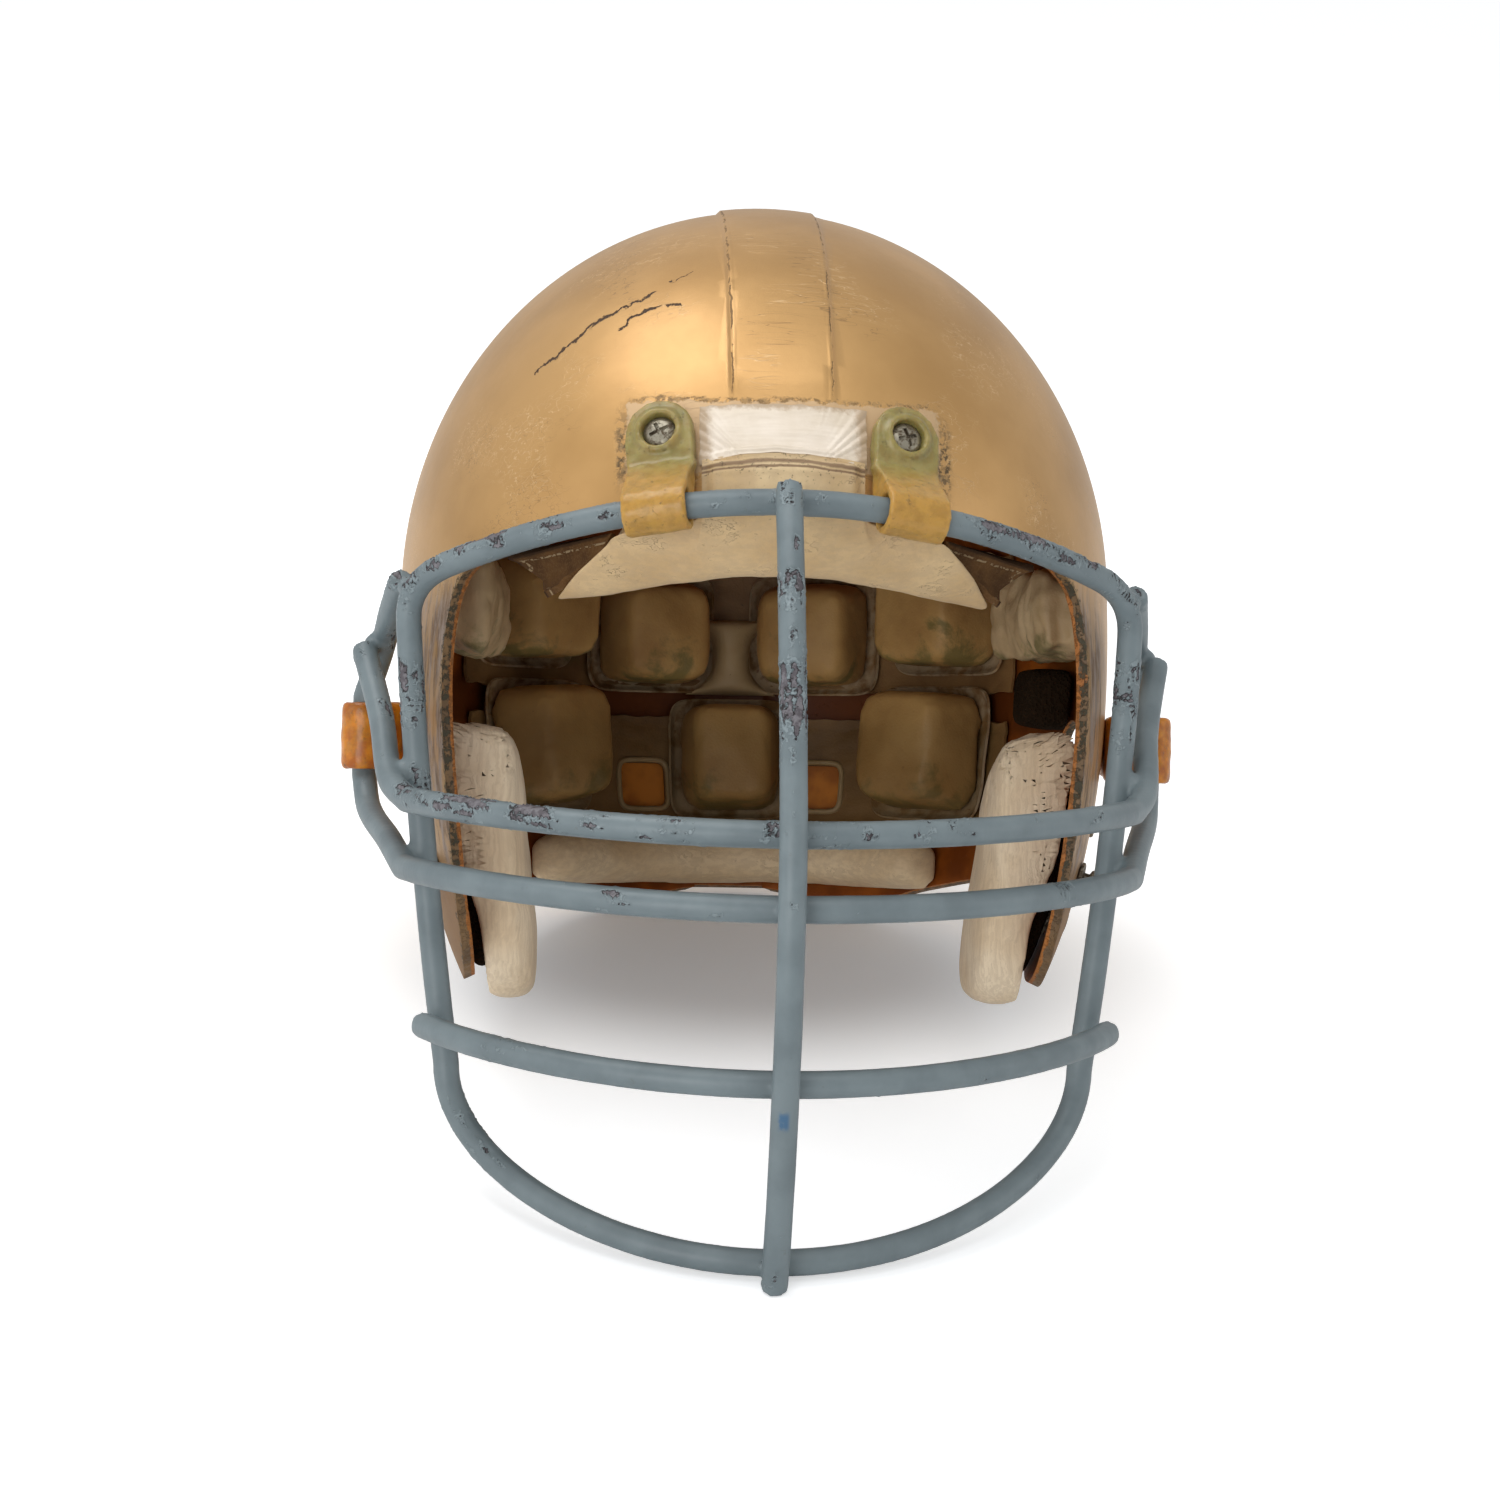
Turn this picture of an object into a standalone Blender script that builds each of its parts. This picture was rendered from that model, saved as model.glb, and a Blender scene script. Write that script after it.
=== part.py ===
"""A football helmet with a welded wire face mask, modelled piece by piece in Blender.

The helmet is drawn level, in metres: X runs to the right of someone who faces it, Y runs back from
the face, Z is up, and the origin lies in the middle of the head at the shell's widest height.  Left
and right are those of someone who faces the helmet.  At the end the whole helmet is tipped back onto
the foot of its mask and the nape of its shell, the way it stands on a table.
"""
import math

import bmesh
import bpy
from mathutils import Matrix, Vector, geometry

SIDES = (("left", -1), ("right", 1))

# Shell
SHELL_HALF_WIDTH = 0.121
SHELL_FRONT_REACH = 0.140
SHELL_BACK_REACH = 0.142
SHELL_CROWN_HEIGHT = 0.1325
SHELL_SKIRT_HEIGHT = 0.200
SHELL_WALL = 0.0038
SKIRT_POWER_SHARE = 2.2
JAW_SQUARENESS_SHARE = 1.4
RIDGE_HALF_WIDTH = 0.0150
RIDGE_BLEND = 0.0016
RIDGE_RISE = 0.0012
RIDGE_START_HEIGHT = 0.055
EAR_HOLE_RADIUS = 0.013
EAR_HOLE_BACK = 0.016
EAR_HOLE_DROP = 0.052

# Side profile of the shell's edge, as distances back from the origin and up from it
BROW_EDGE_HEIGHT = 0.0235
FACE_EDGE_SETBACK = 0.054
FACE_EDGE_REACH = SHELL_FRONT_REACH - FACE_EDGE_SETBACK
FLAP_BOTTOM_DROP = 0.129
FLAP_HEEL_BACK = 0.012
NAPE_ARCH_DROP = 0.099
NAPE_LOBE_DROP = 0.112
NAPE_EDGE_DROP = 0.105

# Fits
HARD_GAP = 0.0003
SOFT_GAP = 0.0006
WALL_GAP = 0.0010
TEE_NUT_GAP = 0.0015
OVERRUN = 0.030

# Face mask, whose wires keep their distances from the shell's front and flanks
WIRE_DIAMETER = 0.008
WELD_GAP = 0.0003
BROW_BAR_STANDOFF = 0.010
BROW_BAR_REACH = SHELL_FRONT_REACH + BROW_BAR_STANDOFF
BROW_BAR_HEIGHT = 0.022
HOOP_SIDE_INSET = 0.007
HOOP_HALF_WIDTH = SHELL_HALF_WIDTH - HOOP_SIDE_INSET
HOOP_CORNER_SETBACK = 0.045
HOOP_CORNER_REACH = SHELL_FRONT_REACH - HOOP_CORNER_SETBACK
HOOP_CORNER_DROP = 0.001
HOOP_CORNER_BEND = 0.012
HOOP_SIDE_SETBACK = 0.040
HOOP_SIDE_REACH = SHELL_FRONT_REACH - HOOP_SIDE_SETBACK
HOOP_SIDE_BOW = 0.0015
JAW_ARC_INSET = 0.022
JAW_ARC_HALF_WIDTH = SHELL_HALF_WIDTH - JAW_ARC_INSET
JAW_ARC_START_DROP = 0.150
JAW_ARC_FOOT_DROP = 0.202
JAW_ARC_STANDOFF = 0.012
JAW_ARC_REACH = SHELL_FRONT_REACH + JAW_ARC_STANDOFF
UPPER_BAR_STANDOFF = 0.050
UPPER_BAR_REACH = SHELL_FRONT_REACH + UPPER_BAR_STANDOFF
UPPER_BAR_DROP = 0.075
UPPER_BAR_SIDE_DROP = 0.068
MIDDLE_BAR_DROP = 0.096
MIDDLE_BAR_SIDE_DROP = 0.089
LOWER_BAR_STANDOFF = 0.0385
LOWER_BAR_REACH = SHELL_FRONT_REACH + LOWER_BAR_STANDOFF
LOWER_BAR_DROP = 0.1466
LOWER_BAR_SIDE_DROP = 0.136
LOWER_BAR_END = 0.0075
FACE_BAR_TOP_RISE = 0.0004
FACE_BAR_FOOT_DROP = 0.003
NOSE_BULGE = 0.004
LOOP_STANDOFF = 0.0085
LOOP_HALF_WIDTH = SHELL_HALF_WIDTH + LOOP_STANDOFF
LOOP_BACK_SETBACK = 0.093
LOOP_BACK_REACH = SHELL_FRONT_REACH - LOOP_BACK_SETBACK
LOOP_STRAIGHT_TOP = 0.036
LOOP_STRAIGHT_BOTTOM = 0.062
LOOP_TOP_STANDOFF = 0.0035
LOOP_TOP_HALF_WIDTH = SHELL_HALF_WIDTH + LOOP_TOP_STANDOFF
LOOP_TOP_DROP = 0.022
LOOP_TOP_SETBACK = 0.089
LOOP_TOP_REACH = SHELL_FRONT_REACH - LOOP_TOP_SETBACK

# Loop straps that hold the mask, with their screws and tee nuts
STRAP_BORE_GAP = 0.0009
STRAP_LOOP_WALL = 0.0024
STRAP_TAB_THICKNESS = 0.0046
FRONT_STRAP_TAB_WIDTH = 0.0208
SIDE_STRAP_TAB_WIDTH = 0.0175
STRAP_WIDTH = 0.0215
STRAP_SHOULDER = 0.0105
BOSS_RADIUS = 0.0078
BOSS_RISE = 0.0016
SCREW_HEAD_RADIUS = 0.0052
SCREW_HEAD_HEIGHT = 0.0022
SCREW_SHANK_RADIUS = 0.0020
SCREW_SLOT_WIDTH = 0.0011
SCREW_SLOT_DEPTH = 0.0012
TEE_FLANGE_RADIUS = 0.0060
TEE_FLANGE_THICKNESS = 0.0012
TEE_BARREL_WALL = 0.0011
FRONT_SCREW_SPREAD = 0.0362
FRONT_SCREW_HEIGHT = 0.0425
SIDE_SCREW_SETBACK = 0.120
SIDE_SCREW_REACH = SHELL_FRONT_REACH - SIDE_SCREW_SETBACK
SIDE_SCREW_DROP = 0.049

# Rivets: chin strap studs and the snaps of the jaw pads
STUD_SHANK_RADIUS = 0.0021
STUD_WASHER_RADIUS = 0.0062
STUD_WASHER_THICKNESS = 0.0011
STUD_NECK_RADIUS = 0.0030
STUD_CAP_RADIUS = 0.0044
STUD_HEIGHT = 0.0042
STUD_CLINCH_RADIUS = 0.0045
CHIN_STUD_SETBACK = 0.026
CHIN_STUD_REACH = FACE_EDGE_REACH - CHIN_STUD_SETBACK
CHIN_STUD_DROP = 0.092
SNAP_SETBACK = 0.050
SNAP_REACH = FACE_EDGE_REACH - SNAP_SETBACK
SNAP_FOOT_SETBACK = 0.060
SNAP_FOOT_REACH = FACE_EDGE_REACH - SNAP_FOOT_SETBACK
SNAP_UPPER_DROP = 0.074
SNAP_LOWER_DROP = 0.108

# Front strip and front pad
STRIP_HALF_WIDTH = 0.0250
STRIP_BOTTOM_HEIGHT = 0.0345
STRIP_TOP_HEIGHT = 0.0530
STRIP_THICKNESS = 0.0005
LEATHER = 0.0017
FRONT_PAD_HALF_WIDTH_TOP = 0.047
FRONT_PAD_HALF_WIDTH_BOTTOM = 0.081
FRONT_PAD_WRAP_HALF_WIDTH = 0.0210
FRONT_PAD_WRAP_HEIGHT = 0.0335
FRONT_PAD_TOP_HEIGHT = 0.0305
FRONT_PAD_BOTTOM_HEIGHT = 0.001
FRONT_PAD_DEPTH = 0.021
FRONT_PAD_SIDE_RISE = 0.006
FRONT_PAD_END_THINNING_SHARE = 0.25
FRONT_PAD_FADE_SHARE = 0.025
FRONT_PAD_FLARE_SHARE = 3
PAD_TAB_THICKNESS = 0.0030
PAD_TAB_GAP = 0.0032
PAD_TAB_OUTER_HALF_WIDTH = 0.090
PAD_TAB_TOP_HEIGHT = 0.0145
PAD_TAB_TIP_HEIGHT = -0.003

# Jaw pads
JAW_PAD_TOP_DROP = 0.043
JAW_PAD_HEEL_DROP = 0.068
JAW_PAD_BOTTOM_DROP = 0.132
JAW_PAD_SETBACK = 0.031
JAW_PAD_FRONT_REACH = FACE_EDGE_REACH - JAW_PAD_SETBACK
JAW_PAD_HEEL_REACH = 0.003
JAW_PAD_CORNER = 0.014
JAW_PAD_TOP_STACK = 0.0364
JAW_FACE_TOP_HALF_GAP = SHELL_HALF_WIDTH - JAW_PAD_TOP_STACK
JAW_PAD_BOTTOM_STACK = 0.0490
JAW_FACE_BOTTOM_HALF_GAP = SHELL_HALF_WIDTH - JAW_PAD_BOTTOM_STACK
JAW_CUSHION_DEPTH = 0.0155
JAW_BASE_SHARE = 0.86
JAW_PAD_CROWN = 0.0022
SNAP_POCKET_RADIUS = 0.0068

# Liner
LINER_SHEET = 0.0013
CELL_DEPTH = 0.026
CROWN_CELL_DEPTH = 0.022
CELL_CROWN = 0.0020
NECK_PAD_DEPTH = 0.018
TEMPLE_PAD_DEPTH = 0.0172
FOAM_BLOCK_DEPTH = 0.016
LINER_BASE = SHELL_WALL + WALL_GAP
CELL_BASE = LINER_BASE + LINER_SHEET + WALL_GAP
CELL_HALF_WIDTH = 0.0265
CELL_HALF_HEIGHT = 0.0215
UPPER_CELL_DROP = 0.006
SIDE_CELL_RISE = 0.002
LOWER_CELL_DROP = 0.0565
LOWER_SIDE_CELL_HALF_WIDTH = 0.0265
LOWER_SIDE_CELL_HALF_HEIGHT = 0.0235
BACK_CELL_HALF_WIDTH = 0.0240
CELL_PAIR_TURN = math.radians(17)
SIDE_CELL_TURN = math.radians(47)
LOWER_CELL_TURN = math.radians(44)
CROWN_CELL_HALF_WIDTH = 0.0215
CROWN_RING_INSET = 0.047
CROWN_RING_RADIUS = SHELL_HALF_WIDTH - CROWN_RING_INSET
CROWN_RING_COUNT = 6
CROWN_SHEET_INSET = 0.023
CROWN_SHEET_RADIUS = SHELL_HALF_WIDTH - CROWN_SHEET_INSET
NECK_PAD_DROP = 0.0965
NECK_PAD_TURN = math.radians(47)
NECK_PAD_HALF_HEIGHT = 0.0095
TEMPLE_PAD_TURN = math.radians(94)
TEMPLE_PAD_HEIGHT = -0.002
TEMPLE_PAD_HALF_WIDTH = 0.047
TEMPLE_PAD_HALF_HEIGHT = 0.0175
FOAM_BLOCK_TURN = math.radians(96)
FOAM_BLOCK_DROP = 0.032
FOAM_BLOCK_HALF_WIDTH = 0.013
FOAM_BLOCK_HALF_HEIGHT = 0.0110
UPPER_SHEET_TURN = math.radians(62)
UPPER_SHEET_TOP = 0.024
UPPER_SHEET_DROP = 0.0305
LOWER_SHEET_TURN = math.radians(61)
LOWER_SHEET_TOP_DROP = 0.0335
LOWER_SHEET_DROP = 0.0805
WINDOW_TURN = math.radians(18)
WINDOW_HALF_WIDTH = 0.009
WINDOW_HALF_HEIGHT = 0.0085
WINDOW_DROP = 0.0665

# Form of a cushion, as shares of its outline and of its depth
PAD_FORM_SHARES = ((0, 0), (0.55, 0), (1, 0), (1, 0.45), (0.97, 0.80), (0.88, 0.95), (0.55, 1))

# Facet counts, and how finely the outer form is followed
NORMAL_STEP_SHARE = 1 / 1024
SHELL_RINGS = 20
SHELL_SEGMENTS = 46
WIRE_ROUNDNESS = 3
BROW_POINTS = 9
MAX_WIRE_TURN = math.radians(11)
MAX_WIRE_STEP = 0.022
TURNED_SIDES = 12
BORE_SIDES = 16
PAD_OUTLINE_POINTS = 16

FINISHES = {
    "shell": ((0.62, 0.36, 0.13), 0.38, 0.55),
    "coated_wire": ((0.30, 0.37, 0.40), 0.45, 0.0),
    "clear_strap": ((0.52, 0.42, 0.16), 0.30, 0.0),
    "amber_strap": ((0.80, 0.32, 0.03), 0.30, 0.0),
    "steel": ((0.34, 0.32, 0.27), 0.45, 0.90),
    "leather": ((0.70, 0.55, 0.36), 0.60, 0.0),
    "suede": ((0.23, 0.12, 0.05), 0.85, 0.0),
    "vinyl_cell": ((0.30, 0.20, 0.10), 0.55, 0.0),
    "vinyl_sheet": ((0.36, 0.28, 0.18), 0.50, 0.0),
    "foam": ((0.05, 0.04, 0.035), 0.90, 0.0),
    "strip": ((0.80, 0.79, 0.74), 0.35, 0.0),
}


def clear_scene():
    """Remove what a new Blender file starts with."""
    for thing in list(bpy.data.objects):
        bpy.data.objects.remove(thing, do_unlink=True)


def finish(name):
    """Return the Principled material of a named finish, made once."""
    if name in bpy.data.materials:
        return bpy.data.materials[name]
    colour, roughness, metallic = FINISHES[name]
    material = bpy.data.materials.new(name)
    material.use_nodes = True
    shader = material.node_tree.nodes["Principled BSDF"]
    shader.inputs["Base Color"].default_value = (*colour, 1.0)
    shader.inputs["Roughness"].default_value = roughness
    shader.inputs["Metallic"].default_value = metallic
    material.diffuse_color = (*colour, 1.0)
    return material


def add_empty(name, parent, place=Vector()):
    """Add an empty that carries other pieces."""
    empty = bpy.data.objects.new(name, None)
    bpy.context.scene.collection.objects.link(empty)
    empty.parent = parent
    empty.location = place
    return empty


def add_piece(name, form, finish_name, parent, frame=Matrix.Identity(4)):
    """Turn a bmesh into a named object with its own copy of a finish."""
    mesh = bpy.data.meshes.new(name)
    form.to_mesh(mesh)
    form.free()
    mesh.shade_smooth()
    mesh.set_sharp_from_angle(angle=math.radians(40))
    piece = bpy.data.objects.new(name, mesh)
    piece.data.materials.append(finish(finish_name))
    bpy.context.scene.collection.objects.link(piece)
    piece.parent = parent
    piece.matrix_local = frame
    return piece


def add_cutter(name, form, parent, frame=Matrix.Identity(4)):
    """Add a hidden tool solid for a Boolean."""
    cutter = add_piece(name, form, "steel", parent, frame)
    cutter.hide_render = True
    cutter.display_type = "WIRE"
    return cutter


def combine(piece, tool, operation="DIFFERENCE"):
    """Cut, join or intersect a piece with a tool solid."""
    modifier = piece.modifiers.new(tool.name, "BOOLEAN")
    modifier.operation = operation
    modifier.solver = "EXACT"
    modifier.object = tool


def join_rings(form, first, second):
    """Bridge two rings of vertices, either of which may be a single tip."""
    count = max(len(first), len(second))
    for i in range(count):
        j = (i + 1) % count
        if len(first) == 1:
            form.faces.new((first[0], second[j], second[i]))
        elif len(second) == 1:
            form.faces.new((first[i], first[j], second[0]))
        else:
            form.faces.new((first[i], first[j], second[j], second[i]))


def loft(loops, closed=False):
    """Skin a row of loops into a closed solid; end loops are capped unless the row closes on itself."""
    form = bmesh.new()
    rings = [[form.verts.new(point) for point in loop] for loop in loops]
    for first, second in zip(rings, rings[1:]):
        join_rings(form, first, second)
    if closed:
        join_rings(form, rings[-1], rings[0])
    else:
        for ring in (rings[0], rings[-1]):
            if len(ring) > 2:
                form.faces.new(ring)
    bmesh.ops.recalc_face_normals(form, faces=form.faces)
    return form


def slab(outer, inner):
    """Close two matching grids of points into a thin solid."""
    form = bmesh.new()
    rows, columns = len(outer), len(outer[0])
    skins = [[[form.verts.new(point) for point in row] for row in grid] for grid in (outer, inner)]
    for skin in skins:
        for i in range(rows - 1):
            for j in range(columns - 1):
                form.faces.new((skin[i][j], skin[i + 1][j], skin[i + 1][j + 1], skin[i][j + 1]))
    rim = [(i, 0) for i in range(rows)]
    rim += [(rows - 1, j) for j in range(1, columns)]
    rim += [(i, columns - 1) for i in range(rows - 2, -1, -1)]
    rim += [(0, j) for j in range(columns - 2, 0, -1)]
    first, second = ([skin[i][j] for i, j in rim] for skin in skins)
    join_rings(form, first, second)
    bmesh.ops.recalc_face_normals(form, faces=form.faces)
    return form


def circle(radius, height, sides=TURNED_SIDES):
    """Ring of points around the local Z axis, or its one point where the radius is zero."""
    if radius == 0:
        return [Vector((0, 0, height))]
    turns = [2 * math.pi * i / sides for i in range(sides)]
    return [Vector((radius * math.cos(t), radius * math.sin(t), height)) for t in turns]


def turned(profile, sides=TURNED_SIDES, closed=False):
    """Solid of revolution about local Z from (radius, height) pairs."""
    return loft([circle(radius, height, sides) for radius, height in profile], closed)


def along_x(loop_yz, x_values):
    """Extrude a loop of (y, z) pairs through a list of X places."""
    return loft([[Vector((x, y, z)) for y, z in loop_yz] for x in x_values])


def smooth_route(knots, closed=False, steps=10):
    """Sample a smooth curve that passes through all the knots."""
    knots = [Vector(knot) for knot in knots]
    count = len(knots)
    tangents = []
    for i in range(count):
        before = knots[(i - 1) % count] if closed or i else knots[i]
        after = knots[(i + 1) % count] if closed or i < count - 1 else knots[i]
        tangents.append((after - before).normalized())
    route = []
    for i in range(count if closed else count - 1):
        j = (i + 1) % count
        handle = (knots[j] - knots[i]).length / 3
        pieces = geometry.interpolate_bezier(
            knots[i], knots[i] + tangents[i] * handle, knots[j] - tangents[j] * handle, knots[j], steps + 1)
        route += pieces[:-1]
    if not closed:
        route.append(knots[-1])
    return route


def thin_route(route):
    """Drop the points of a route that neither its bends nor its length need."""
    kept = [route[0]]
    heading = (route[1] - route[0]).normalized()
    for here, after in zip(route[1:-1], route[2:]):
        onward = (after - here).normalized()
        if onward.angle(heading) > MAX_WIRE_TURN or (after - kept[-1]).length > MAX_WIRE_STEP:
            kept.append(here)
            heading = onward
    kept.append(route[-1])
    return kept


def bend(start, corner, end, steps=6):
    """Points of a round bend from start to end, drawn towards a corner; both ends are left out."""
    shares = [k / steps for k in range(1, steps)]
    return [start * (1 - t) ** 2 + corner * 2 * t * (1 - t) + end * t ** 2 for t in shares]


def signed_power(value, power):
    """Power of a number that keeps its sign."""
    return math.copysign(abs(value) ** power, value)


def rounded_outline(count, power, draw_share):
    """Unit outline of a cushion: a square with round corners whose sides are drawn in."""
    outline = []
    for k in range(count):
        turn = 2 * math.pi * (k + 0.5) / count
        u = signed_power(math.cos(turn), 2 / power)
        v = signed_power(math.sin(turn), 2 / power)
        outline.append((u * (1 - draw_share * (1 - v * v)), v * (1 - draw_share * (1 - u * u))))
    return outline


def outer_form(direction):
    """Point of the shell's smooth outer form that lies in a direction from the origin."""
    d = direction.normalized()
    reach = SHELL_FRONT_REACH if d.y < 0 else SHELL_BACK_REACH
    if d.z >= 0:
        return Vector((SHELL_HALF_WIDTH * d.x, reach * d.y, SHELL_CROWN_HEIGHT * d.z))
    across = math.hypot(d.x, d.y)
    level = across ** (2 / SKIRT_POWER_SHARE)
    depth_share = abs(d.z) ** (2 / SKIRT_POWER_SHARE)
    corner = skirt_corner(depth_share) if d.y < 0 else 2
    x = SHELL_HALF_WIDTH * level * signed_power(d.x / across, 2 / corner)
    y = reach * level * signed_power(d.y / across, 2 / corner)
    return Vector((x, y, -SHELL_SKIRT_HEIGHT * depth_share))


def skirt_corner(depth_share):
    """Squareness of the jaw flaps' plan, which grows from an ellipse as they go down."""
    return 2 + JAW_SQUARENESS_SHARE * depth_share


def skirt_level(height):
    """Share of its full width that the shell has at a height."""
    if height >= 0:
        return math.sqrt(1 - (height / SHELL_CROWN_HEIGHT) ** 2)
    return (1 - (-height / SHELL_SKIRT_HEIGHT) ** SKIRT_POWER_SHARE) ** (1 / SKIRT_POWER_SHARE)


def direction_at(azimuth, height):
    """Direction to the outer form at an angle round from the front and a height."""
    if height >= 0:
        rise = height / SHELL_CROWN_HEIGHT
    else:
        rise = -((-height / SHELL_SKIRT_HEIGHT) ** (SKIRT_POWER_SHARE / 2))
    level = math.sqrt(1 - rise * rise)
    return Vector((level * math.sin(azimuth), -level * math.cos(azimuth), rise))


def direction_front(x, height):
    """Direction to the front of the outer form at a distance across and a height above the middle."""
    across = x / SHELL_HALF_WIDTH
    forward = math.sqrt(skirt_level(height) ** 2 - across ** 2)
    return Vector((across, -forward, height / SHELL_CROWN_HEIGHT))


def direction_side(side, y, height):
    """Direction to the outer form on one side at a distance back and a height below the middle."""
    depth_share = -height / SHELL_SKIRT_HEIGHT
    reach = SHELL_FRONT_REACH if y < 0 else SHELL_BACK_REACH
    corner = skirt_corner(depth_share) if y < 0 else 2
    along = math.copysign((abs(y) / (reach * skirt_level(height))) ** (corner / 2), y)
    rise = depth_share ** (SKIRT_POWER_SHARE / 2)
    level = math.sqrt(1 - rise * rise)
    return Vector((side * level * math.sqrt(1 - along * along), level * along, -rise))


def direction_crown(x, y):
    """Direction to the outer form over the crown at a place in plan."""
    reach = SHELL_FRONT_REACH if y < 0 else SHELL_BACK_REACH
    flat = Vector((x / SHELL_HALF_WIDTH, y / reach, 0))
    flat.z = math.sqrt(1 - flat.length_squared)
    return flat


def form_normal(direction):
    """Outward normal of the outer form in a direction."""
    d = direction.normalized()
    first = d.orthogonal().normalized()
    second = d.cross(first)
    small = NORMAL_STEP_SHARE
    along = outer_form(d + first * small) - outer_form(d - first * small)
    up = outer_form(d + second * small) - outer_form(d - second * small)
    return along.cross(up).normalized()


def skin_point(direction, inset=0.0):
    """Point at a depth inside the shell's outer form."""
    return outer_form(direction) - form_normal(direction) * inset


def skin_rings():
    """Places of the shell's rings as shares of its half width, with the ridge's edges among them."""
    edge = RIDGE_HALF_WIDTH / SHELL_HALF_WIDTH
    foot = (RIDGE_HALF_WIDTH + RIDGE_BLEND) / SHELL_HALF_WIDTH
    clear_of_ridge = foot + 1 / SHELL_RINGS
    even = [math.cos(math.pi * k / SHELL_RINGS) for k in range(1, SHELL_RINGS)]
    kept = [share for share in even if abs(share) > clear_of_ridge]
    return sorted(kept + [foot, edge, 0, -edge, -foot], reverse=True)


def skin_solid(inset, rise=0.0):
    """The shell's outer form as a closed solid, moved inward, with the centre ridge raised if asked."""
    edge = RIDGE_HALF_WIDTH / SHELL_HALF_WIDTH
    loops = [[skin_point(Vector((1, 0, 0)), inset)]]
    for share in skin_rings():
        loop = []
        for k in range(SHELL_SEGMENTS):
            turn = 2 * math.pi * (k + 0.5) / SHELL_SEGMENTS
            around = math.sqrt(1 - share * share)
            direction = Vector((share, around * math.cos(turn), around * math.sin(turn)))
            point = skin_point(direction, inset)
            on_ridge = abs(share) <= edge and (point.y > 0 or point.z > RIDGE_START_HEIGHT)
            loop.append(point + form_normal(direction) * (rise if on_ridge else 0))
        loops.append(loop)
    loops.append([skin_point(Vector((-1, 0, 0)), inset)])
    return loft(loops)


def edge_profile():
    """Side view of the shell's cut edge, from the brow over the jaw flap to the nape, as (y, z) pairs."""
    flap = FLAP_BOTTOM_DROP
    knots = [
        (-SHELL_FRONT_REACH, BROW_EDGE_HEIGHT),
        (-0.92 * SHELL_FRONT_REACH, 0.77 * BROW_EDGE_HEIGHT),
        (-0.80 * SHELL_FRONT_REACH, 0.30 * BROW_EDGE_HEIGHT),
        (-0.67 * SHELL_FRONT_REACH, -0.42 * BROW_EDGE_HEIGHT),
        (-1.02 * FACE_EDGE_REACH, -0.18 * flap),
        (-FACE_EDGE_REACH, -0.33 * flap),
        (-0.98 * FACE_EDGE_REACH, -0.54 * flap),
        (-0.89 * FACE_EDGE_REACH, -0.74 * flap),
        (-0.74 * FACE_EDGE_REACH, -0.90 * flap),
        (-0.53 * FACE_EDGE_REACH, -0.985 * flap),
        (-0.27 * FACE_EDGE_REACH, -flap),
        (-0.05 * FACE_EDGE_REACH, -0.95 * flap),
        (FLAP_HEEL_BACK, -0.85 * flap),
        (0.21 * SHELL_BACK_REACH, -NAPE_ARCH_DROP),
        (0.42 * SHELL_BACK_REACH, -0.985 * NAPE_ARCH_DROP),
        (0.64 * SHELL_BACK_REACH, -0.985 * NAPE_EDGE_DROP),
        (0.78 * SHELL_BACK_REACH, -NAPE_LOBE_DROP),
        (0.88 * SHELL_BACK_REACH, -NAPE_EDGE_DROP),
    ]
    curve = smooth_route([(0, y, z) for y, z in knots], steps=3)
    profile = [(point.y, point.z) for point in curve]
    front, back = -SHELL_FRONT_REACH - OVERRUN, SHELL_BACK_REACH + OVERRUN
    floor = -SHELL_SKIRT_HEIGHT - OVERRUN
    return [(front, floor), (front, BROW_EDGE_HEIGHT)] + profile + [(back, -NAPE_EDGE_DROP), (back, floor)]


def profile_height(y):
    """Height of the shell's edge at a distance back, along the brow and the top of the face opening."""
    brow = edge_profile()[1:]
    for (y0, z0), (y1, z1) in zip(brow, brow[1:]):
        if y0 <= y <= y1:
            return z0 + (z1 - z0) * (y - y0) / (y1 - y0)
    return brow[0][1]


def brow_edge_height(x):
    """Height of the shell's front edge over its whole wall at a distance across."""
    height = BROW_EDGE_HEIGHT
    for _ in range(8):
        height = profile_height(skin_point(direction_at_x(x, height), SHELL_WALL + WALL_GAP).y)
    return height


def seat_frame(place, outward, along):
    """Frame with Z outward and X as near along as it can be, at a place."""
    z = outward.normalized()
    y = z.cross(along).normalized()
    x = y.cross(z)
    frame = Matrix((x, y, z)).transposed().to_4x4()
    frame.translation = place
    return frame


def strap_frame(bar_place, bar_heading, direction):
    """Frame of a loop strap: on the shell at its screw, X along the wire that the strap holds."""
    heading = bar_heading.normalized()
    normal = form_normal(direction)
    outward = normal - heading * normal.dot(heading)
    return seat_frame(outer_form(direction), outward, heading)


def hoop_side(height):
    """Centre of the hoop's side wire at a height, on the right."""
    span = JAW_ARC_START_DROP - HOOP_CORNER_DROP
    share = (-height - HOOP_CORNER_DROP) / span
    x = HOOP_HALF_WIDTH + (JAW_ARC_HALF_WIDTH - HOOP_HALF_WIDTH) * share
    y = HOOP_CORNER_REACH + (HOOP_SIDE_REACH - HOOP_CORNER_REACH) * min(1, 4 * share)
    return Vector((x + HOOP_SIDE_BOW * 4 * share * (1 - share), -y, height))


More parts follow.
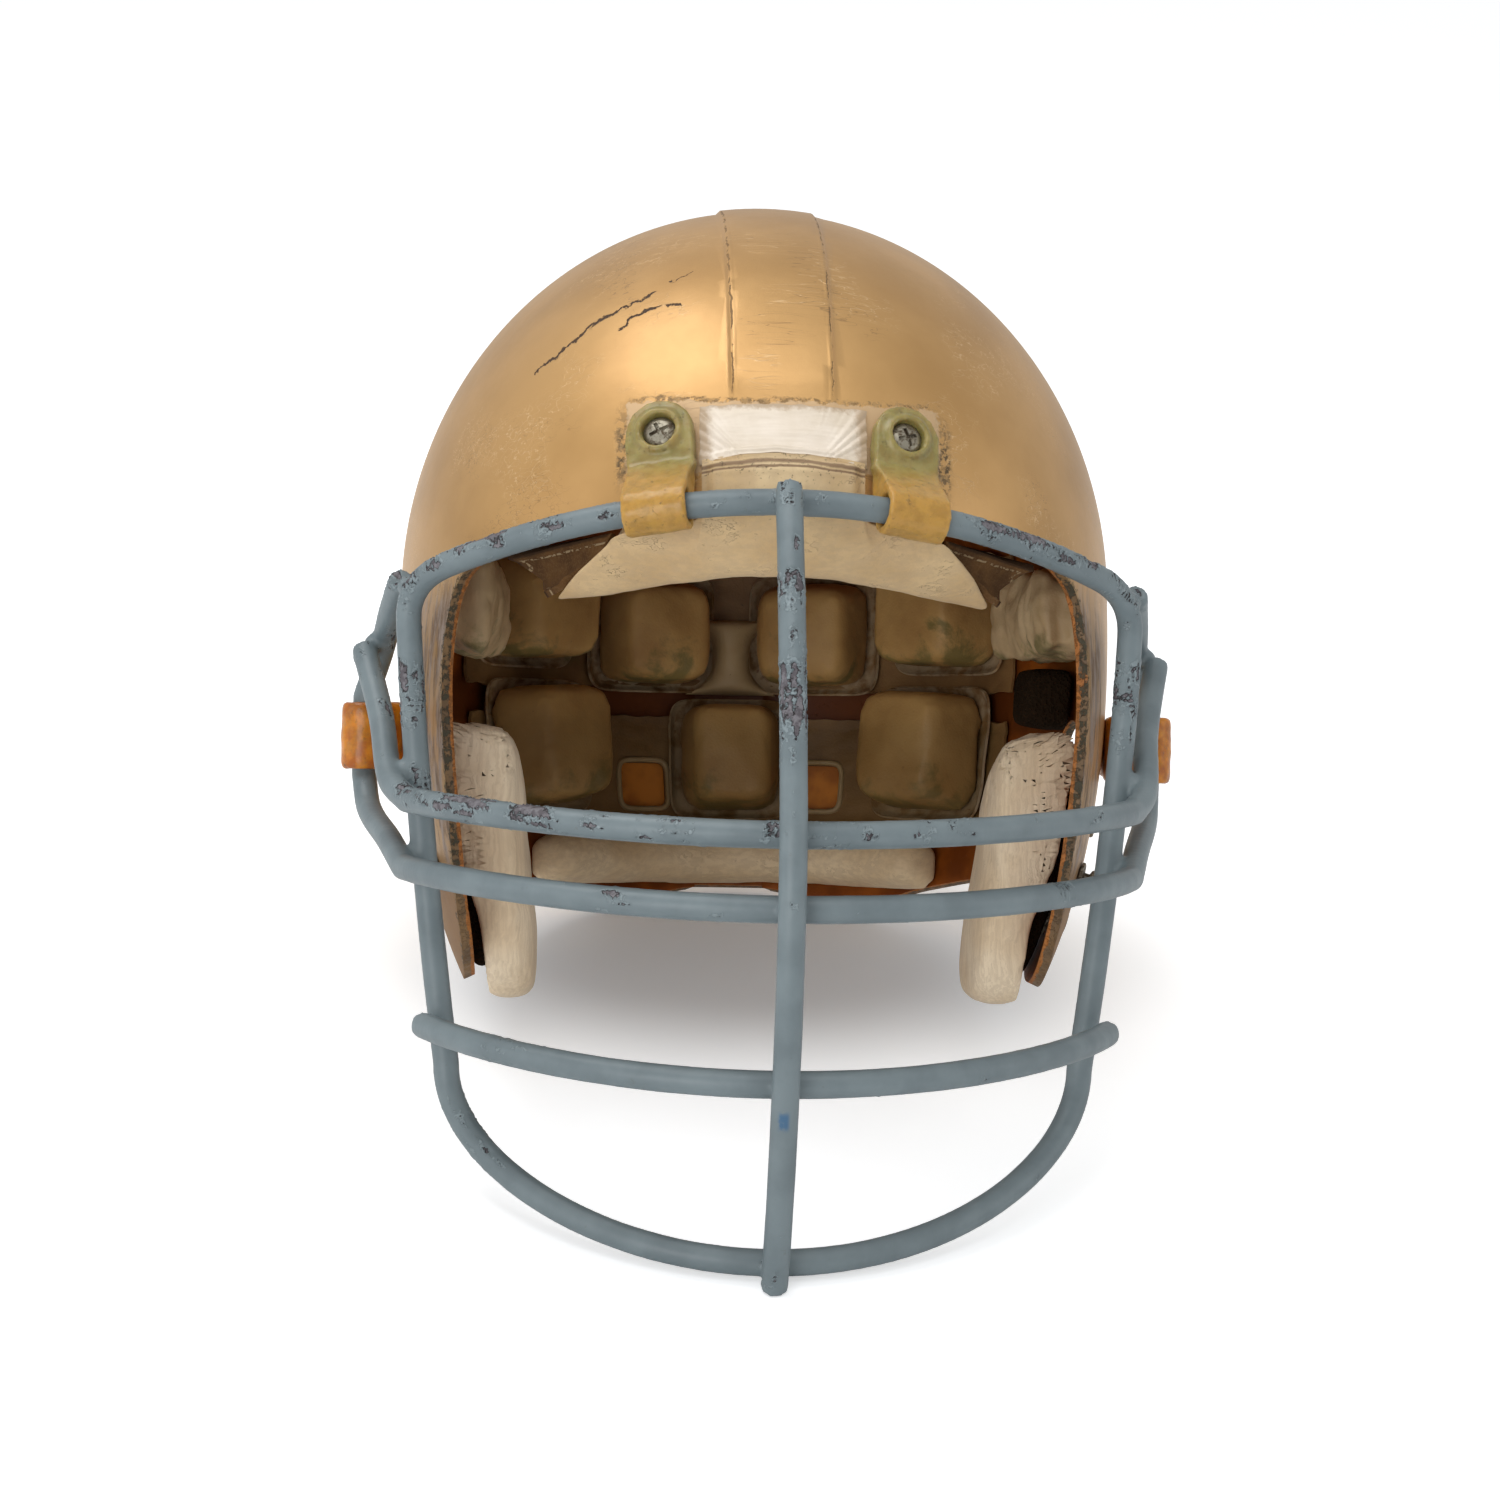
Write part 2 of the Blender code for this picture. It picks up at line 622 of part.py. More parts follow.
def half_hoop():
    """Right half of the hoop from the middle of the brow bar to the middle of the jaw bar."""
    corner = Vector((HOOP_HALF_WIDTH, -HOOP_CORNER_REACH, -HOOP_CORNER_DROP))
    drop = BROW_BAR_REACH - HOOP_CORNER_REACH
    radius = (HOOP_HALF_WIDTH ** 2 + drop ** 2) / (2 * drop)
    last = HOOP_HALF_WIDTH - HOOP_CORNER_BEND
    brow = []
    for k in range(BROW_POINTS):
        x = last * k / (BROW_POINTS - 1)
        back = radius - math.sqrt(radius ** 2 - x ** 2)
        sink = (BROW_BAR_HEIGHT + HOOP_CORNER_DROP) * (x / HOOP_HALF_WIDTH) ** 2
        brow.append(Vector((x, back - BROW_BAR_REACH, BROW_BAR_HEIGHT - sink)))
    lead = brow[-1]
    below = hoop_side(-HOOP_CORNER_DROP - HOOP_CORNER_BEND)
    heights = [below.z + (-JAW_ARC_START_DROP - below.z) * k / 7 for k in range(8)]
    sides = [hoop_side(height) for height in heights]
    jaw = []
    for k in range(1, 11):
        turn = math.pi / 2 * k / 10
        x = JAW_ARC_HALF_WIDTH * math.cos(turn)
        z = -JAW_ARC_START_DROP - (JAW_ARC_FOOT_DROP - JAW_ARC_START_DROP) * math.sin(turn)
        forward = (JAW_ARC_REACH - HOOP_SIDE_REACH) * (1 - math.cos(turn) ** 2)
        jaw.append(Vector((x, -HOOP_SIDE_REACH - forward, z)))
    return brow + bend(lead, corner, below) + sides + jaw


def mirrored(route):
    """The same route on the other side."""
    return [Vector((-p.x, p.y, p.z)) for p in route]


def hoop_route():
    """The closed hoop: brow bar, both sides and the jaw bar."""
    half = half_hoop()
    return thin_route(half + mirrored(half)[::-1][1:-1])


def cross_bar_radius(reach, side_height):
    """Plan radius of a cross bar that laps the outside of the hoop's sides."""
    post = hoop_side(side_height)
    lap = WIRE_DIAMETER + WELD_GAP
    forward = reach + post.y
    return (post.x ** 2 + forward ** 2 - lap ** 2) / (2 * (forward - lap))


def cross_bar_point(x, reach, drop, side_drop):
    """Point of a cross bar at a distance across: an arc in plan that rises towards the sides."""
    radius = cross_bar_radius(reach, -side_drop)
    rise = (drop - side_drop) * (x / HOOP_HALF_WIDTH) ** 2
    return Vector((x, radius - math.sqrt(radius ** 2 - x ** 2) - reach, rise - drop))


def half_cross_bar(reach, drop, side_drop, last, steps=10):
    """Right half of a cross bar, from the middle to a distance across."""
    return [cross_bar_point(last * k / steps, reach, drop, side_drop) for k in range(steps + 1)]


def lower_bar_route():
    """The single lower cross bar, whose stub ends stand past the hoop."""
    post = hoop_side(-LOWER_BAR_SIDE_DROP)
    half = half_cross_bar(LOWER_BAR_REACH, LOWER_BAR_DROP, LOWER_BAR_SIDE_DROP, post.x + LOWER_BAR_END)
    return thin_route(mirrored(half)[::-1][:-1] + half)


def loop_top():
    """Centre of the middle bar where the side loop turns forward, on the right."""
    return Vector((LOOP_TOP_HALF_WIDTH, -LOOP_TOP_REACH, -LOOP_TOP_DROP))


def upper_bar_route():
    """The upper cross bar: across the front, then up the front of each side loop."""
    knee = hoop_side(-UPPER_BAR_SIDE_DROP).x + 0.35 * WIRE_DIAMETER
    half = half_cross_bar(UPPER_BAR_REACH, UPPER_BAR_DROP, UPPER_BAR_SIDE_DROP, knee)
    end = half[-1]
    top = loop_top() + Vector((0.62, -0.98, 0.16)) * WIRE_DIAMETER
    climb = smooth_route([
        end,
        end.lerp(top, 0.20) + Vector((0.30, 0.20, -0.45)) * WIRE_DIAMETER,
        end.lerp(top, 0.60) + Vector((0, 0.25, -0.35)) * WIRE_DIAMETER,
        top,
    ], steps=6)
    half += climb[1:]
    return thin_route(mirrored(half)[::-1][:-1] + half)


def middle_bar_route():
    """The middle cross bar: across the front, up the back of each side loop and forward to the hoop."""
    knee = hoop_side(-MIDDLE_BAR_SIDE_DROP).x + 0.75 * WIRE_DIAMETER
    half = half_cross_bar(UPPER_BAR_REACH, MIDDLE_BAR_DROP, MIDDLE_BAR_SIDE_DROP, knee)
    end = half[-1]
    low = Vector((LOOP_HALF_WIDTH, -LOOP_BACK_REACH, -LOOP_STRAIGHT_BOTTOM))
    high = Vector((LOOP_HALF_WIDTH, -LOOP_BACK_REACH, -LOOP_STRAIGHT_TOP))
    corner = Vector((HOOP_HALF_WIDTH, -HOOP_CORNER_REACH, -HOOP_CORNER_DROP))
    back = smooth_route([
        end,
        end.lerp(low, 0.35) + Vector((0, 0, -0.25)) * WIRE_DIAMETER,
        end.lerp(low, 0.78) + Vector((0.15, 0.35, -0.55)) * WIRE_DIAMETER,
        low,
    ], steps=6)
    straight = [low.lerp(high, share) for share in (0.33, 0.67)]
    stop = corner + Vector((0.25, 0.62, 0.10)) * WIRE_DIAMETER
    arch = loop_top().lerp(stop, 0.5) + Vector((0, 0, 0.25)) * WIRE_DIAMETER
    over = smooth_route([high, loop_top(), arch, stop], steps=6)
    half += back[1:] + straight + over
    return thin_route(mirrored(half)[::-1][:-1] + half)


def face_bar_route():
    """The upright bar, laid over the front of every cross bar from the brow to the jaw."""
    lap = WIRE_DIAMETER + WELD_GAP
    bulge = Vector((0, -NOSE_BULGE, 0))
    brow = Vector((0, -BROW_BAR_REACH, BROW_BAR_HEIGHT))
    upper = Vector((0, -UPPER_BAR_REACH, -UPPER_BAR_DROP))
    middle = Vector((0, -UPPER_BAR_REACH, -MIDDLE_BAR_DROP))
    lower = Vector((0, -LOWER_BAR_REACH, -LOWER_BAR_DROP))
    foot = Vector((0, -JAW_ARC_REACH, -JAW_ARC_FOOT_DROP))
    knots = [
        brow,
        brow.lerp(upper, 0.35) + bulge,
        brow.lerp(upper, 0.70) + bulge,
        upper,
        middle,
        middle.lerp(lower, 0.5) + bulge / 2,
        lower,
        lower.lerp(foot, 0.5) + bulge / 2,
        foot,
    ]
    profile = smooth_route(knots, steps=6)
    route = []
    for k, point in enumerate(profile):
        heading = profile[min(k + 1, len(profile) - 1)] - profile[max(k - 1, 0)]
        outward = Vector((0, heading.z, -heading.y)).normalized()
        route.append(point + outward * lap)
    route[0] += (route[0] - route[1]).normalized() * FACE_BAR_TOP_RISE
    route[-1] += (route[-1] - route[-2]).normalized() * FACE_BAR_FOOT_DROP
    return thin_route(route)


def add_wire(name, route, parent, closed=False):
    """Add one vinyl dipped wire of the mask as a bevelled curve."""
    curve = bpy.data.curves.new(name, "CURVE")
    curve.dimensions = "3D"
    curve.bevel_depth = WIRE_DIAMETER / 2
    curve.bevel_resolution = WIRE_ROUNDNESS
    curve.use_fill_caps = not closed
    spline = curve.splines.new("POLY")
    spline.points.add(len(route) - 1)
    for knot, point in zip(spline.points, route):
        knot.co = (*point, 1)
    spline.use_cyclic_u = closed
    wire = bpy.data.objects.new(name, curve)
    wire.data.materials.append(finish("coated_wire"))
    bpy.context.scene.collection.objects.link(wire)
    wire.parent = parent
    return wire


def add_mask(parent):
    """Add the five wires of the face mask."""
    add_wire("mask_hoop", hoop_route(), parent, closed=True)
    add_wire("mask_upper_cross_bar", upper_bar_route(), parent)
    add_wire("mask_middle_cross_bar", middle_bar_route(), parent)
    add_wire("mask_lower_cross_bar", lower_bar_route(), parent)
    add_wire("mask_face_bar", face_bar_route(), parent)


def hull_outline(points):
    """Convex outline of a set of flat points, counter clockwise."""
    points = sorted(set(points))
    chains = []
    for row in (points, points[::-1]):
        chain = []
        for point in row:
            while len(chain) > 1 and cross(chain[-2], chain[-1], point) <= 0:
                chain.pop()
            chain.append(point)
        chains.append(chain[:-1])
    return chains[0] + chains[1]


def cross(a, b, c):
    """Twice the area of a flat triangle, positive where it turns left."""
    return (b[0] - a[0]) * (c[1] - a[1]) - (b[1] - a[1]) * (c[0] - a[0])


def strap_wire_place(frame, bar_place):
    """Where the wire crosses a strap's own middle plane, as (y, z) in the strap's frame."""
    local = frame.inverted() @ bar_place
    return local.y, local.z


def add_strap(name, frame, bar_place, tab_width, finish_name, parent):
    """Add one loop strap: a round ended tab under a screw and a loop round the wire."""
    bar_y, bar_z = strap_wire_place(frame, bar_place)
    toward = math.copysign(1, bar_y)
    bore = WIRE_DIAMETER / 2 + STRAP_BORE_GAP
    back = 2 * HARD_GAP
    front = back + STRAP_TAB_THICKNESS
    ring = [(bar_y + (bore + STRAP_LOOP_WALL) * math.cos(t), bar_z + (bore + STRAP_LOOP_WALL) * math.sin(t))
            for t in (2 * math.pi * k / BORE_SIDES for k in range(BORE_SIDES))]
    shoulder = toward * STRAP_SHOULDER
    reach = toward * (abs(bar_y) - bore)
    outline = hull_outline(ring + [(shoulder, back), (shoulder, front), (reach, back)])
    half = STRAP_WIDTH / 2
    strap = add_piece(name, along_x(outline, (-half, half)), finish_name, parent, frame)
    tab = [(tab_width / 2 * math.cos(t), tab_width / 2 * math.sin(t))
           for t in (math.pi * k / 10 for k in range(11))]
    tab = [(x, -toward * y) for x, y in tab]
    tab += [(-tab_width / 2, 1.3 * shoulder), (tab_width / 2, 1.3 * shoulder)]
    plate = loft([[Vector((x, y, z)) for x, y in tab] for z in (back, front)])
    combine(strap, add_cutter(name + "_tab", plate, parent, frame), "UNION")
    root = (back + front) / 2
    boss = turned([(0, root), (BOSS_RADIUS, root), (BOSS_RADIUS, front),
                   (BOSS_RADIUS - BOSS_RISE / 2, front + BOSS_RISE), (0, front + BOSS_RISE)], BORE_SIDES)
    combine(strap, add_cutter(name + "_boss", boss, parent, frame), "UNION")
    seat = screw_seat_height()
    hole = SCREW_SHANK_RADIUS + TEE_BARREL_WALL
    recess = SCREW_HEAD_RADIUS + HARD_GAP
    bores = turned([(0, back - OVERRUN), (hole, back - OVERRUN), (hole, seat), (recess, seat),
                    (recess, front + OVERRUN), (0, front + OVERRUN)], TURNED_SIDES)
    combine(strap, add_cutter(name + "_screw_bore", bores, parent, frame))
    wire_bore = loft([[Vector((x, bar_y + bore * math.cos(t), bar_z + bore * math.sin(t)))
                       for t in (2 * math.pi * k / BORE_SIDES for k in range(BORE_SIDES))]
                      for x in (-STRAP_WIDTH, STRAP_WIDTH)])
    combine(strap, add_cutter(name + "_wire_bore", wire_bore, parent, frame))


def screw_seat_height():
    """Height of the screw head's underside over the shell."""
    return 2 * HARD_GAP + STRAP_TAB_THICKNESS / 2


def add_screw(name, frame, parent):
    """Add a cross recessed screw that runs through strap and shell into its tee nut."""
    under = screw_seat_height() + HARD_GAP
    tip = -SHELL_WALL - TEE_NUT_GAP - TEE_FLANGE_THICKNESS
    top = under + SCREW_HEAD_HEIGHT
    profile = [(0, tip), (SCREW_SHANK_RADIUS, tip), (SCREW_SHANK_RADIUS, under), (SCREW_HEAD_RADIUS, under),
               (0.96 * SCREW_HEAD_RADIUS, under + 0.35 * SCREW_HEAD_HEIGHT),
               (0.70 * SCREW_HEAD_RADIUS, under + 0.82 * SCREW_HEAD_HEIGHT), (0, top)]
    screw = add_piece(name, turned(profile), "steel", parent, frame)
    arm, half = 0.55 * SCREW_HEAD_RADIUS, SCREW_SLOT_WIDTH / 2
    corners = [(arm, -half), (arm, half), (half, half), (half, arm), (-half, arm), (-half, half),
               (-arm, half), (-arm, -half), (-half, -half), (-half, -arm), (half, -arm), (half, -half)]
    heights = (top - SCREW_SLOT_DEPTH, top + SCREW_SLOT_DEPTH)
    recess = loft([[Vector((x, y, z)) for x, y in corners] for z in heights])
    combine(screw, add_cutter(name + "_recess", recess, parent, frame))


def add_tee_nut(name, frame, parent):
    """Add the flanged nut inside the shell, its barrel in the shell's hole."""
    bore = SCREW_SHANK_RADIUS + HARD_GAP
    barrel = SCREW_SHANK_RADIUS + TEE_BARREL_WALL
    inner = -SHELL_WALL - TEE_NUT_GAP
    end = -HARD_GAP
    profile = [(bore, inner - TEE_FLANGE_THICKNESS), (TEE_FLANGE_RADIUS, inner - TEE_FLANGE_THICKNESS),
               (TEE_FLANGE_RADIUS, inner), (barrel, inner), (barrel, end), (bore, end)]
    add_piece(name, turned(profile, closed=True), "steel", parent, frame)


def drill_shell(shell, name, frame, radius, parent):
    """Drill a round hole through the shell at a fastener's seat."""
    depth = SHELL_WALL + OVERRUN / 3
    drill = turned([(0, -depth), (radius, -depth), (radius, depth), (0, depth)], 12)
    combine(shell, add_cutter(name + "_hole", drill, parent, frame))


def add_stud(name, frame, inward, parent):
    """Add a riveted stud: flat headed post, washer, shank through the shell and a clinched foot."""
    gap, foot_gap = (WALL_GAP, HARD_GAP) if inward else (HARD_GAP, WALL_GAP)
    washer = gap + STUD_WASHER_THICKNESS
    foot = -SHELL_WALL - foot_gap
    profile = [
        (0, foot - STUD_WASHER_THICKNESS),
        (STUD_CLINCH_RADIUS, foot - STUD_WASHER_THICKNESS),
        (STUD_CLINCH_RADIUS, foot),
        (STUD_SHANK_RADIUS, foot),
        (STUD_SHANK_RADIUS, gap),
        (STUD_WASHER_RADIUS, gap),
        (STUD_WASHER_RADIUS, washer),
        (STUD_NECK_RADIUS, washer),
        (STUD_NECK_RADIUS, washer + 0.45 * STUD_HEIGHT),
        (STUD_CAP_RADIUS, washer + 0.62 * STUD_HEIGHT),
        (STUD_CAP_RADIUS, washer + 0.92 * STUD_HEIGHT),
        (0.8 * STUD_CAP_RADIUS, washer + STUD_HEIGHT),
        (0, washer + STUD_HEIGHT),
    ]
    add_piece(name, turned(profile), "steel", parent, frame)


def add_straps(shell, parent):
    """Add the four loop straps with their screws and tee nuts, and drill the shell for them."""
    hole = SCREW_SHANK_RADIUS + TEE_BARREL_WALL + HARD_GAP
    brow = half_hoop()[:BROW_POINTS]
    near = min(range(1, BROW_POINTS - 1), key=lambda k: abs(brow[k].x - FRONT_SCREW_SPREAD))
    for side_name, side in SIDES:
        bar_place, heading = crossing(brow, near, side)
        seat = direction_front(side * FRONT_SCREW_SPREAD, FRONT_SCREW_HEIGHT)
        front = strap_frame(bar_place, heading * side, seat)
        bar_place = wire_in_plane(brow, side, front)
        level = -(LOOP_STRAIGHT_TOP + LOOP_STRAIGHT_BOTTOM) / 2
        post = Vector((side * LOOP_HALF_WIDTH, -LOOP_BACK_REACH, level))
        seat = direction_side(side, -SIDE_SCREW_REACH, -SIDE_SCREW_DROP)
        flank = strap_frame(post, Vector((0, 0, side)), seat)
        for where, frame, place, tab_width, finish_name in (
                ("front", front, bar_place, FRONT_STRAP_TAB_WIDTH, "clear_strap"),
                ("side", flank, post, SIDE_STRAP_TAB_WIDTH, "amber_strap")):
            label = f"{where}_strap_{side_name}"
            add_strap(label, frame, place, tab_width, finish_name, parent)
            add_screw(f"{label}_screw", frame, parent)
            add_tee_nut(f"{label}_tee_nut", frame, parent)
            drill_shell(shell, label, frame, hole, parent)


def crossing(route, k, side):
    """Place and heading of a route near one of its points, on one side."""
    place, heading = route[k].copy(), route[k + 1] - route[k - 1]
    place.x *= side
    heading.x *= side
    return place, heading


def wire_in_plane(route, side, frame):
    """Point where a wire crosses the middle plane of a strap's frame."""
    to_local = frame.inverted()
    points = [to_local @ Vector((side * p.x, p.y, p.z)) for p in route]
    for first, second in zip(points, points[1:]):
        if first.x * second.x <= 0:
            share = first.x / (first.x - second.x)
            return frame @ first.lerp(second, share)
    return frame @ points[-1]


def add_shell(parent):
    """Add the moulded shell: a hollow crown with jaw flaps, a raised centre band and ear holes."""
    shell = add_piece("shell", skin_solid(0.0, RIDGE_RISE), "shell", parent)
    combine(shell, add_cutter("shell_hollow", skin_solid(SHELL_WALL), parent))
    wide = SHELL_HALF_WIDTH + OVERRUN
    combine(shell, add_cutter("shell_edge", along_x(edge_profile(), (-wide, wide)), parent))
    for side_name, side in SIDES:
        place = Vector((side * SHELL_HALF_WIDTH, EAR_HOLE_BACK, -EAR_HOLE_DROP))
        drill_shell(shell, f"ear_{side_name}", seat_frame(place, Vector((side, 0, 0)), Vector((0, 1, 0))),
                    EAR_HOLE_RADIUS, parent)
    return shell


def side_seat(side, y, drop, inward=False):
    """Frame on a flank of the shell, on its outer face looking out or on its inner face looking in."""
    direction = direction_side(side, y, -drop)
    normal = form_normal(direction)
    if inward:
        return seat_frame(skin_point(direction, SHELL_WALL), -normal, Vector((0, 0, 1)))
    return seat_frame(outer_form(direction), normal, Vector((0, 0, 1)))


def snap_seats(side):
    """Frames of the two snaps of one jaw pad, on the shell's inner face."""
    return (side_seat(side, -SNAP_REACH, SNAP_UPPER_DROP, True),
            side_seat(side, -SNAP_FOOT_REACH, SNAP_LOWER_DROP, True))


def add_rivets(shell, parent):
    """Add the chin strap studs and the jaw pad snaps."""
    hole = STUD_SHANK_RADIUS + HARD_GAP
    for side_name, side in SIDES:
        outer = side_seat(side, -CHIN_STUD_REACH, CHIN_STUD_DROP)
        add_stud(f"chin_strap_stud_{side_name}", outer, False, parent)
        drill_shell(shell, f"chin_{side_name}", outer, hole, parent)
        for level, frame in zip(("upper", "lower"), snap_seats(side)):
            add_stud(f"jaw_snap_{side_name}_{level}", frame, True, parent)
            drill_shell(shell, f"snap_{side_name}_{level}", frame, hole, parent)


def cushion(place_at, inset, depth, crown, half_width, half_height, draw_share=0.05, power=4.5,
            count=PAD_OUTLINE_POINTS):
    """Crowned cushion on the shell's inner wall; place_at turns two offsets into a direction."""
    outline = rounded_outline(count, power, draw_share)
    loops = []
    for spread, rise in PAD_FORM_SHARES:
        level = inset + depth * rise
        points = outline if spread else [(0, 0)]
        loops.append([skin_point(place_at(u * spread * half_width, v * spread * half_height), level)
                      for u, v in points])
    loops.append([skin_point(place_at(0, 0), inset + depth + crown)])
    return loft(loops)


def on_wall(azimuth, height):
    """Chart of the wall: offsets round the shell and up from a place."""
    reach = (SHELL_HALF_WIDTH + SHELL_BACK_REACH) / 2 * skirt_level(height)
    return lambda u, v: direction_at(azimuth + u / reach, height + v)


def on_crown(x, y):
    """Chart of the crown: offsets in plan from a place, turned to face the middle."""
    turn = math.atan2(x, -y) if x or y else 0
    middle = direction_crown(x, y)
    right = Vector((math.cos(turn), math.sin(turn), 0))
    right -= middle * right.dot(middle)
    right.normalize()
    up = middle.cross(right)
    radius = (SHELL_HALF_WIDTH + SHELL_CROWN_HEIGHT) / 2
    return lambda u, v: middle + right * (u / radius) + up * (v / radius)


def wall_sheet(turn, top, bottom, columns, rows):
    """Thin sheet on the back of the shell's inner wall, between two heights."""
    grids = []
    for inset in (LINER_BASE, LINER_BASE + LINER_SHEET):
        grid = []
        for i in range(columns + 1):
            azimuth = math.pi + turn * (2 * i / columns - 1)
            grid.append([skin_point(direction_at(azimuth, top + (bottom - top) * j / rows), inset)
                         for j in range(rows + 1)])
        grids.append(grid)
    return slab(*grids)


def neck_pad_form():
    """Long roll along the nape: one rounded section carried round the shell and drawn in at its ends."""
    section_shares = ((0, -0.94), (0.45, -1), (0.82, -0.86), (0.98, -0.42), (1, 0.1), (0.93, 0.6),
                      (0.72, 0.92), (0.35, 1), (0, 0.94))
    end_shares = ((1.0, 0.62), (0.975, 0.85), (0.93, 0.97))
    middle = [1 - 2 * k / 12 for k in range(1, 12)]
    stations = list(end_shares) + [(share, 1) for share in middle]
    stations += [(-share, fill) for share, fill in end_shares[::-1]]
    loops = []
    for share, fill in stations:
        azimuth = math.pi - NECK_PAD_TURN * share
        loops.append([skin_point(direction_at(azimuth, NECK_PAD_HALF_HEIGHT * v * fill - NECK_PAD_DROP),
                                 LINER_BASE + NECK_PAD_DEPTH * rise * fill) for rise, v in section_shares])
    return loft(loops)


def add_liner(parent):
    """Add the vinyl liner: sheets on the shell, cells on the sheets, and the side and neck pads."""
    upper = wall_sheet(UPPER_SHEET_TURN, UPPER_SHEET_TOP, -UPPER_SHEET_DROP, 18, 5)
    add_piece("liner_upper_sheet", upper, "vinyl_sheet", parent)
    lower = add_piece("liner_lower_sheet",
                      wall_sheet(LOWER_SHEET_TURN, -LOWER_SHEET_TOP_DROP, -LOWER_SHEET_DROP, 18, 4),
                      "vinyl_sheet", parent)
    for side_name, side in SIDES:
        azimuth = math.pi - side * WINDOW_TURN
        direction = direction_at(azimuth, -WINDOW_DROP)
        frame = seat_frame(outer_form(direction), form_normal(direction), Vector((0, 0, 1)))
        corners = [(WINDOW_HALF_HEIGHT * v, WINDOW_HALF_WIDTH * u) for u, v in rounded_outline(12, 5, 0)]
        opening = loft([[Vector((x, y, z)) for x, y in corners] for z in (-OVERRUN, OVERRUN)])
        combine(lower, add_cutter(f"window_{side_name}", opening, parent, frame))
    crown = []
    for inset in (LINER_BASE, LINER_BASE + LINER_SHEET):
        rings = [[skin_point(Vector((0, 0, 1)), inset)]]
        for k in range(1, 7):
            radius = CROWN_SHEET_RADIUS * k / 6
            turns = [2 * math.pi * i / 36 for i in range(36)]
            rings.append([skin_point(direction_crown(radius * math.sin(t), -radius * math.cos(t)), inset)
                          for t in turns])
        crown.append(rings)
    add_piece("liner_crown_sheet", loft(crown[0] + crown[1][::-1]), "vinyl_sheet", parent)

    cells = [("back", 0, -LOWER_CELL_DROP, BACK_CELL_HALF_WIDTH, CELL_HALF_HEIGHT)]
    for side_name, side in SIDES:
        cells.append((f"upper_{side_name}", side * CELL_PAIR_TURN, -UPPER_CELL_DROP,
                      CELL_HALF_WIDTH, CELL_HALF_HEIGHT))
        cells.append((f"side_{side_name}", side * SIDE_CELL_TURN, SIDE_CELL_RISE,
                      CELL_HALF_WIDTH, CELL_HALF_HEIGHT))
        cells.append((f"lower_{side_name}", side * LOWER_CELL_TURN, -LOWER_CELL_DROP + SIDE_CELL_RISE * 2,
                      LOWER_SIDE_CELL_HALF_WIDTH, LOWER_SIDE_CELL_HALF_HEIGHT))
    for label, turn, height, half_width, half_height in cells:
        form = cushion(on_wall(math.pi - turn, height), CELL_BASE, CELL_DEPTH, CELL_CROWN,
                       half_width, half_height)
        add_piece(f"liner_cell_{label}", form, "vinyl_cell", parent)

    spots = [(0, 0)]
    for k in range(CROWN_RING_COUNT):
        turn = 2 * math.pi * k / CROWN_RING_COUNT
        spots.append((CROWN_RING_RADIUS * math.sin(turn), -CROWN_RING_RADIUS * math.cos(turn)))
    for k, (x, y) in enumerate(spots):
        form = cushion(on_crown(x, y), CELL_BASE, CROWN_CELL_DEPTH, CELL_CROWN,
                       CROWN_CELL_HALF_WIDTH, CROWN_CELL_HALF_WIDTH, power=3.5, count=14)
        add_piece(f"crown_cell_{k + 1}", form, "vinyl_cell", parent)

    add_piece("neck_pad", neck_pad_form(), "leather", parent)
    for side_name, side in SIDES:
        temple = cushion(on_wall(side * TEMPLE_PAD_TURN, TEMPLE_PAD_HEIGHT), LINER_BASE, TEMPLE_PAD_DEPTH,
                         CELL_CROWN, TEMPLE_PAD_HALF_WIDTH, TEMPLE_PAD_HALF_HEIGHT)
        add_piece(f"temple_pad_{side_name}", temple, "vinyl_sheet", parent)
    block = cushion(on_wall(FOAM_BLOCK_TURN, -FOAM_BLOCK_DROP), LINER_BASE, FOAM_BLOCK_DEPTH, 0,
                    FOAM_BLOCK_HALF_WIDTH, FOAM_BLOCK_HALF_HEIGHT, 0.0, 6)
    add_piece("foam_block", block, "foam", parent)


def jaw_pad_outline():
    """Side view of a jaw pad as round cornered (y, z) pairs."""
    corners = [
        Vector((-JAW_PAD_FRONT_REACH, -JAW_PAD_TOP_DROP)),
        Vector((-0.93 * JAW_PAD_FRONT_REACH, -0.985 * JAW_PAD_BOTTOM_DROP)),
        Vector((-JAW_PAD_HEEL_REACH, -JAW_PAD_BOTTOM_DROP)),
        Vector((-JAW_PAD_HEEL_REACH, -JAW_PAD_HEEL_DROP)),
    ]
    outline = []
    for k, corner in enumerate(corners):
        before, after = corners[k - 1], corners[(k + 1) % len(corners)]
        start = corner + (before - corner).normalized() * JAW_PAD_CORNER
        end = corner + (after - corner).normalized() * JAW_PAD_CORNER
        outline += [start] + bend(start, corner, end, 4) + [end]
    return outline


def jaw_face(z):
    """Distance of a jaw pad's inner face from the middle plane at a height."""
    share = (-z - JAW_PAD_TOP_DROP) / (JAW_PAD_BOTTOM_DROP - JAW_PAD_TOP_DROP)
    return JAW_FACE_TOP_HALF_GAP + (JAW_FACE_BOTTOM_HALF_GAP - JAW_FACE_TOP_HALF_GAP) * share


def jaw_layer(side, levels):
    """Solid of a jaw pad's outline through (spread share, distance out from its inner face) levels."""
    outline = jaw_pad_outline()
    middle = sum(outline, Vector((0, 0))) / len(outline)
    loops = []
    for spread, out in levels:
        flat = [middle + (point - middle) * spread for point in outline] if spread else [middle]
        loops.append([Vector((side * (jaw_face(z) + out), y, z)) for y, z in flat])
    return loft(loops)


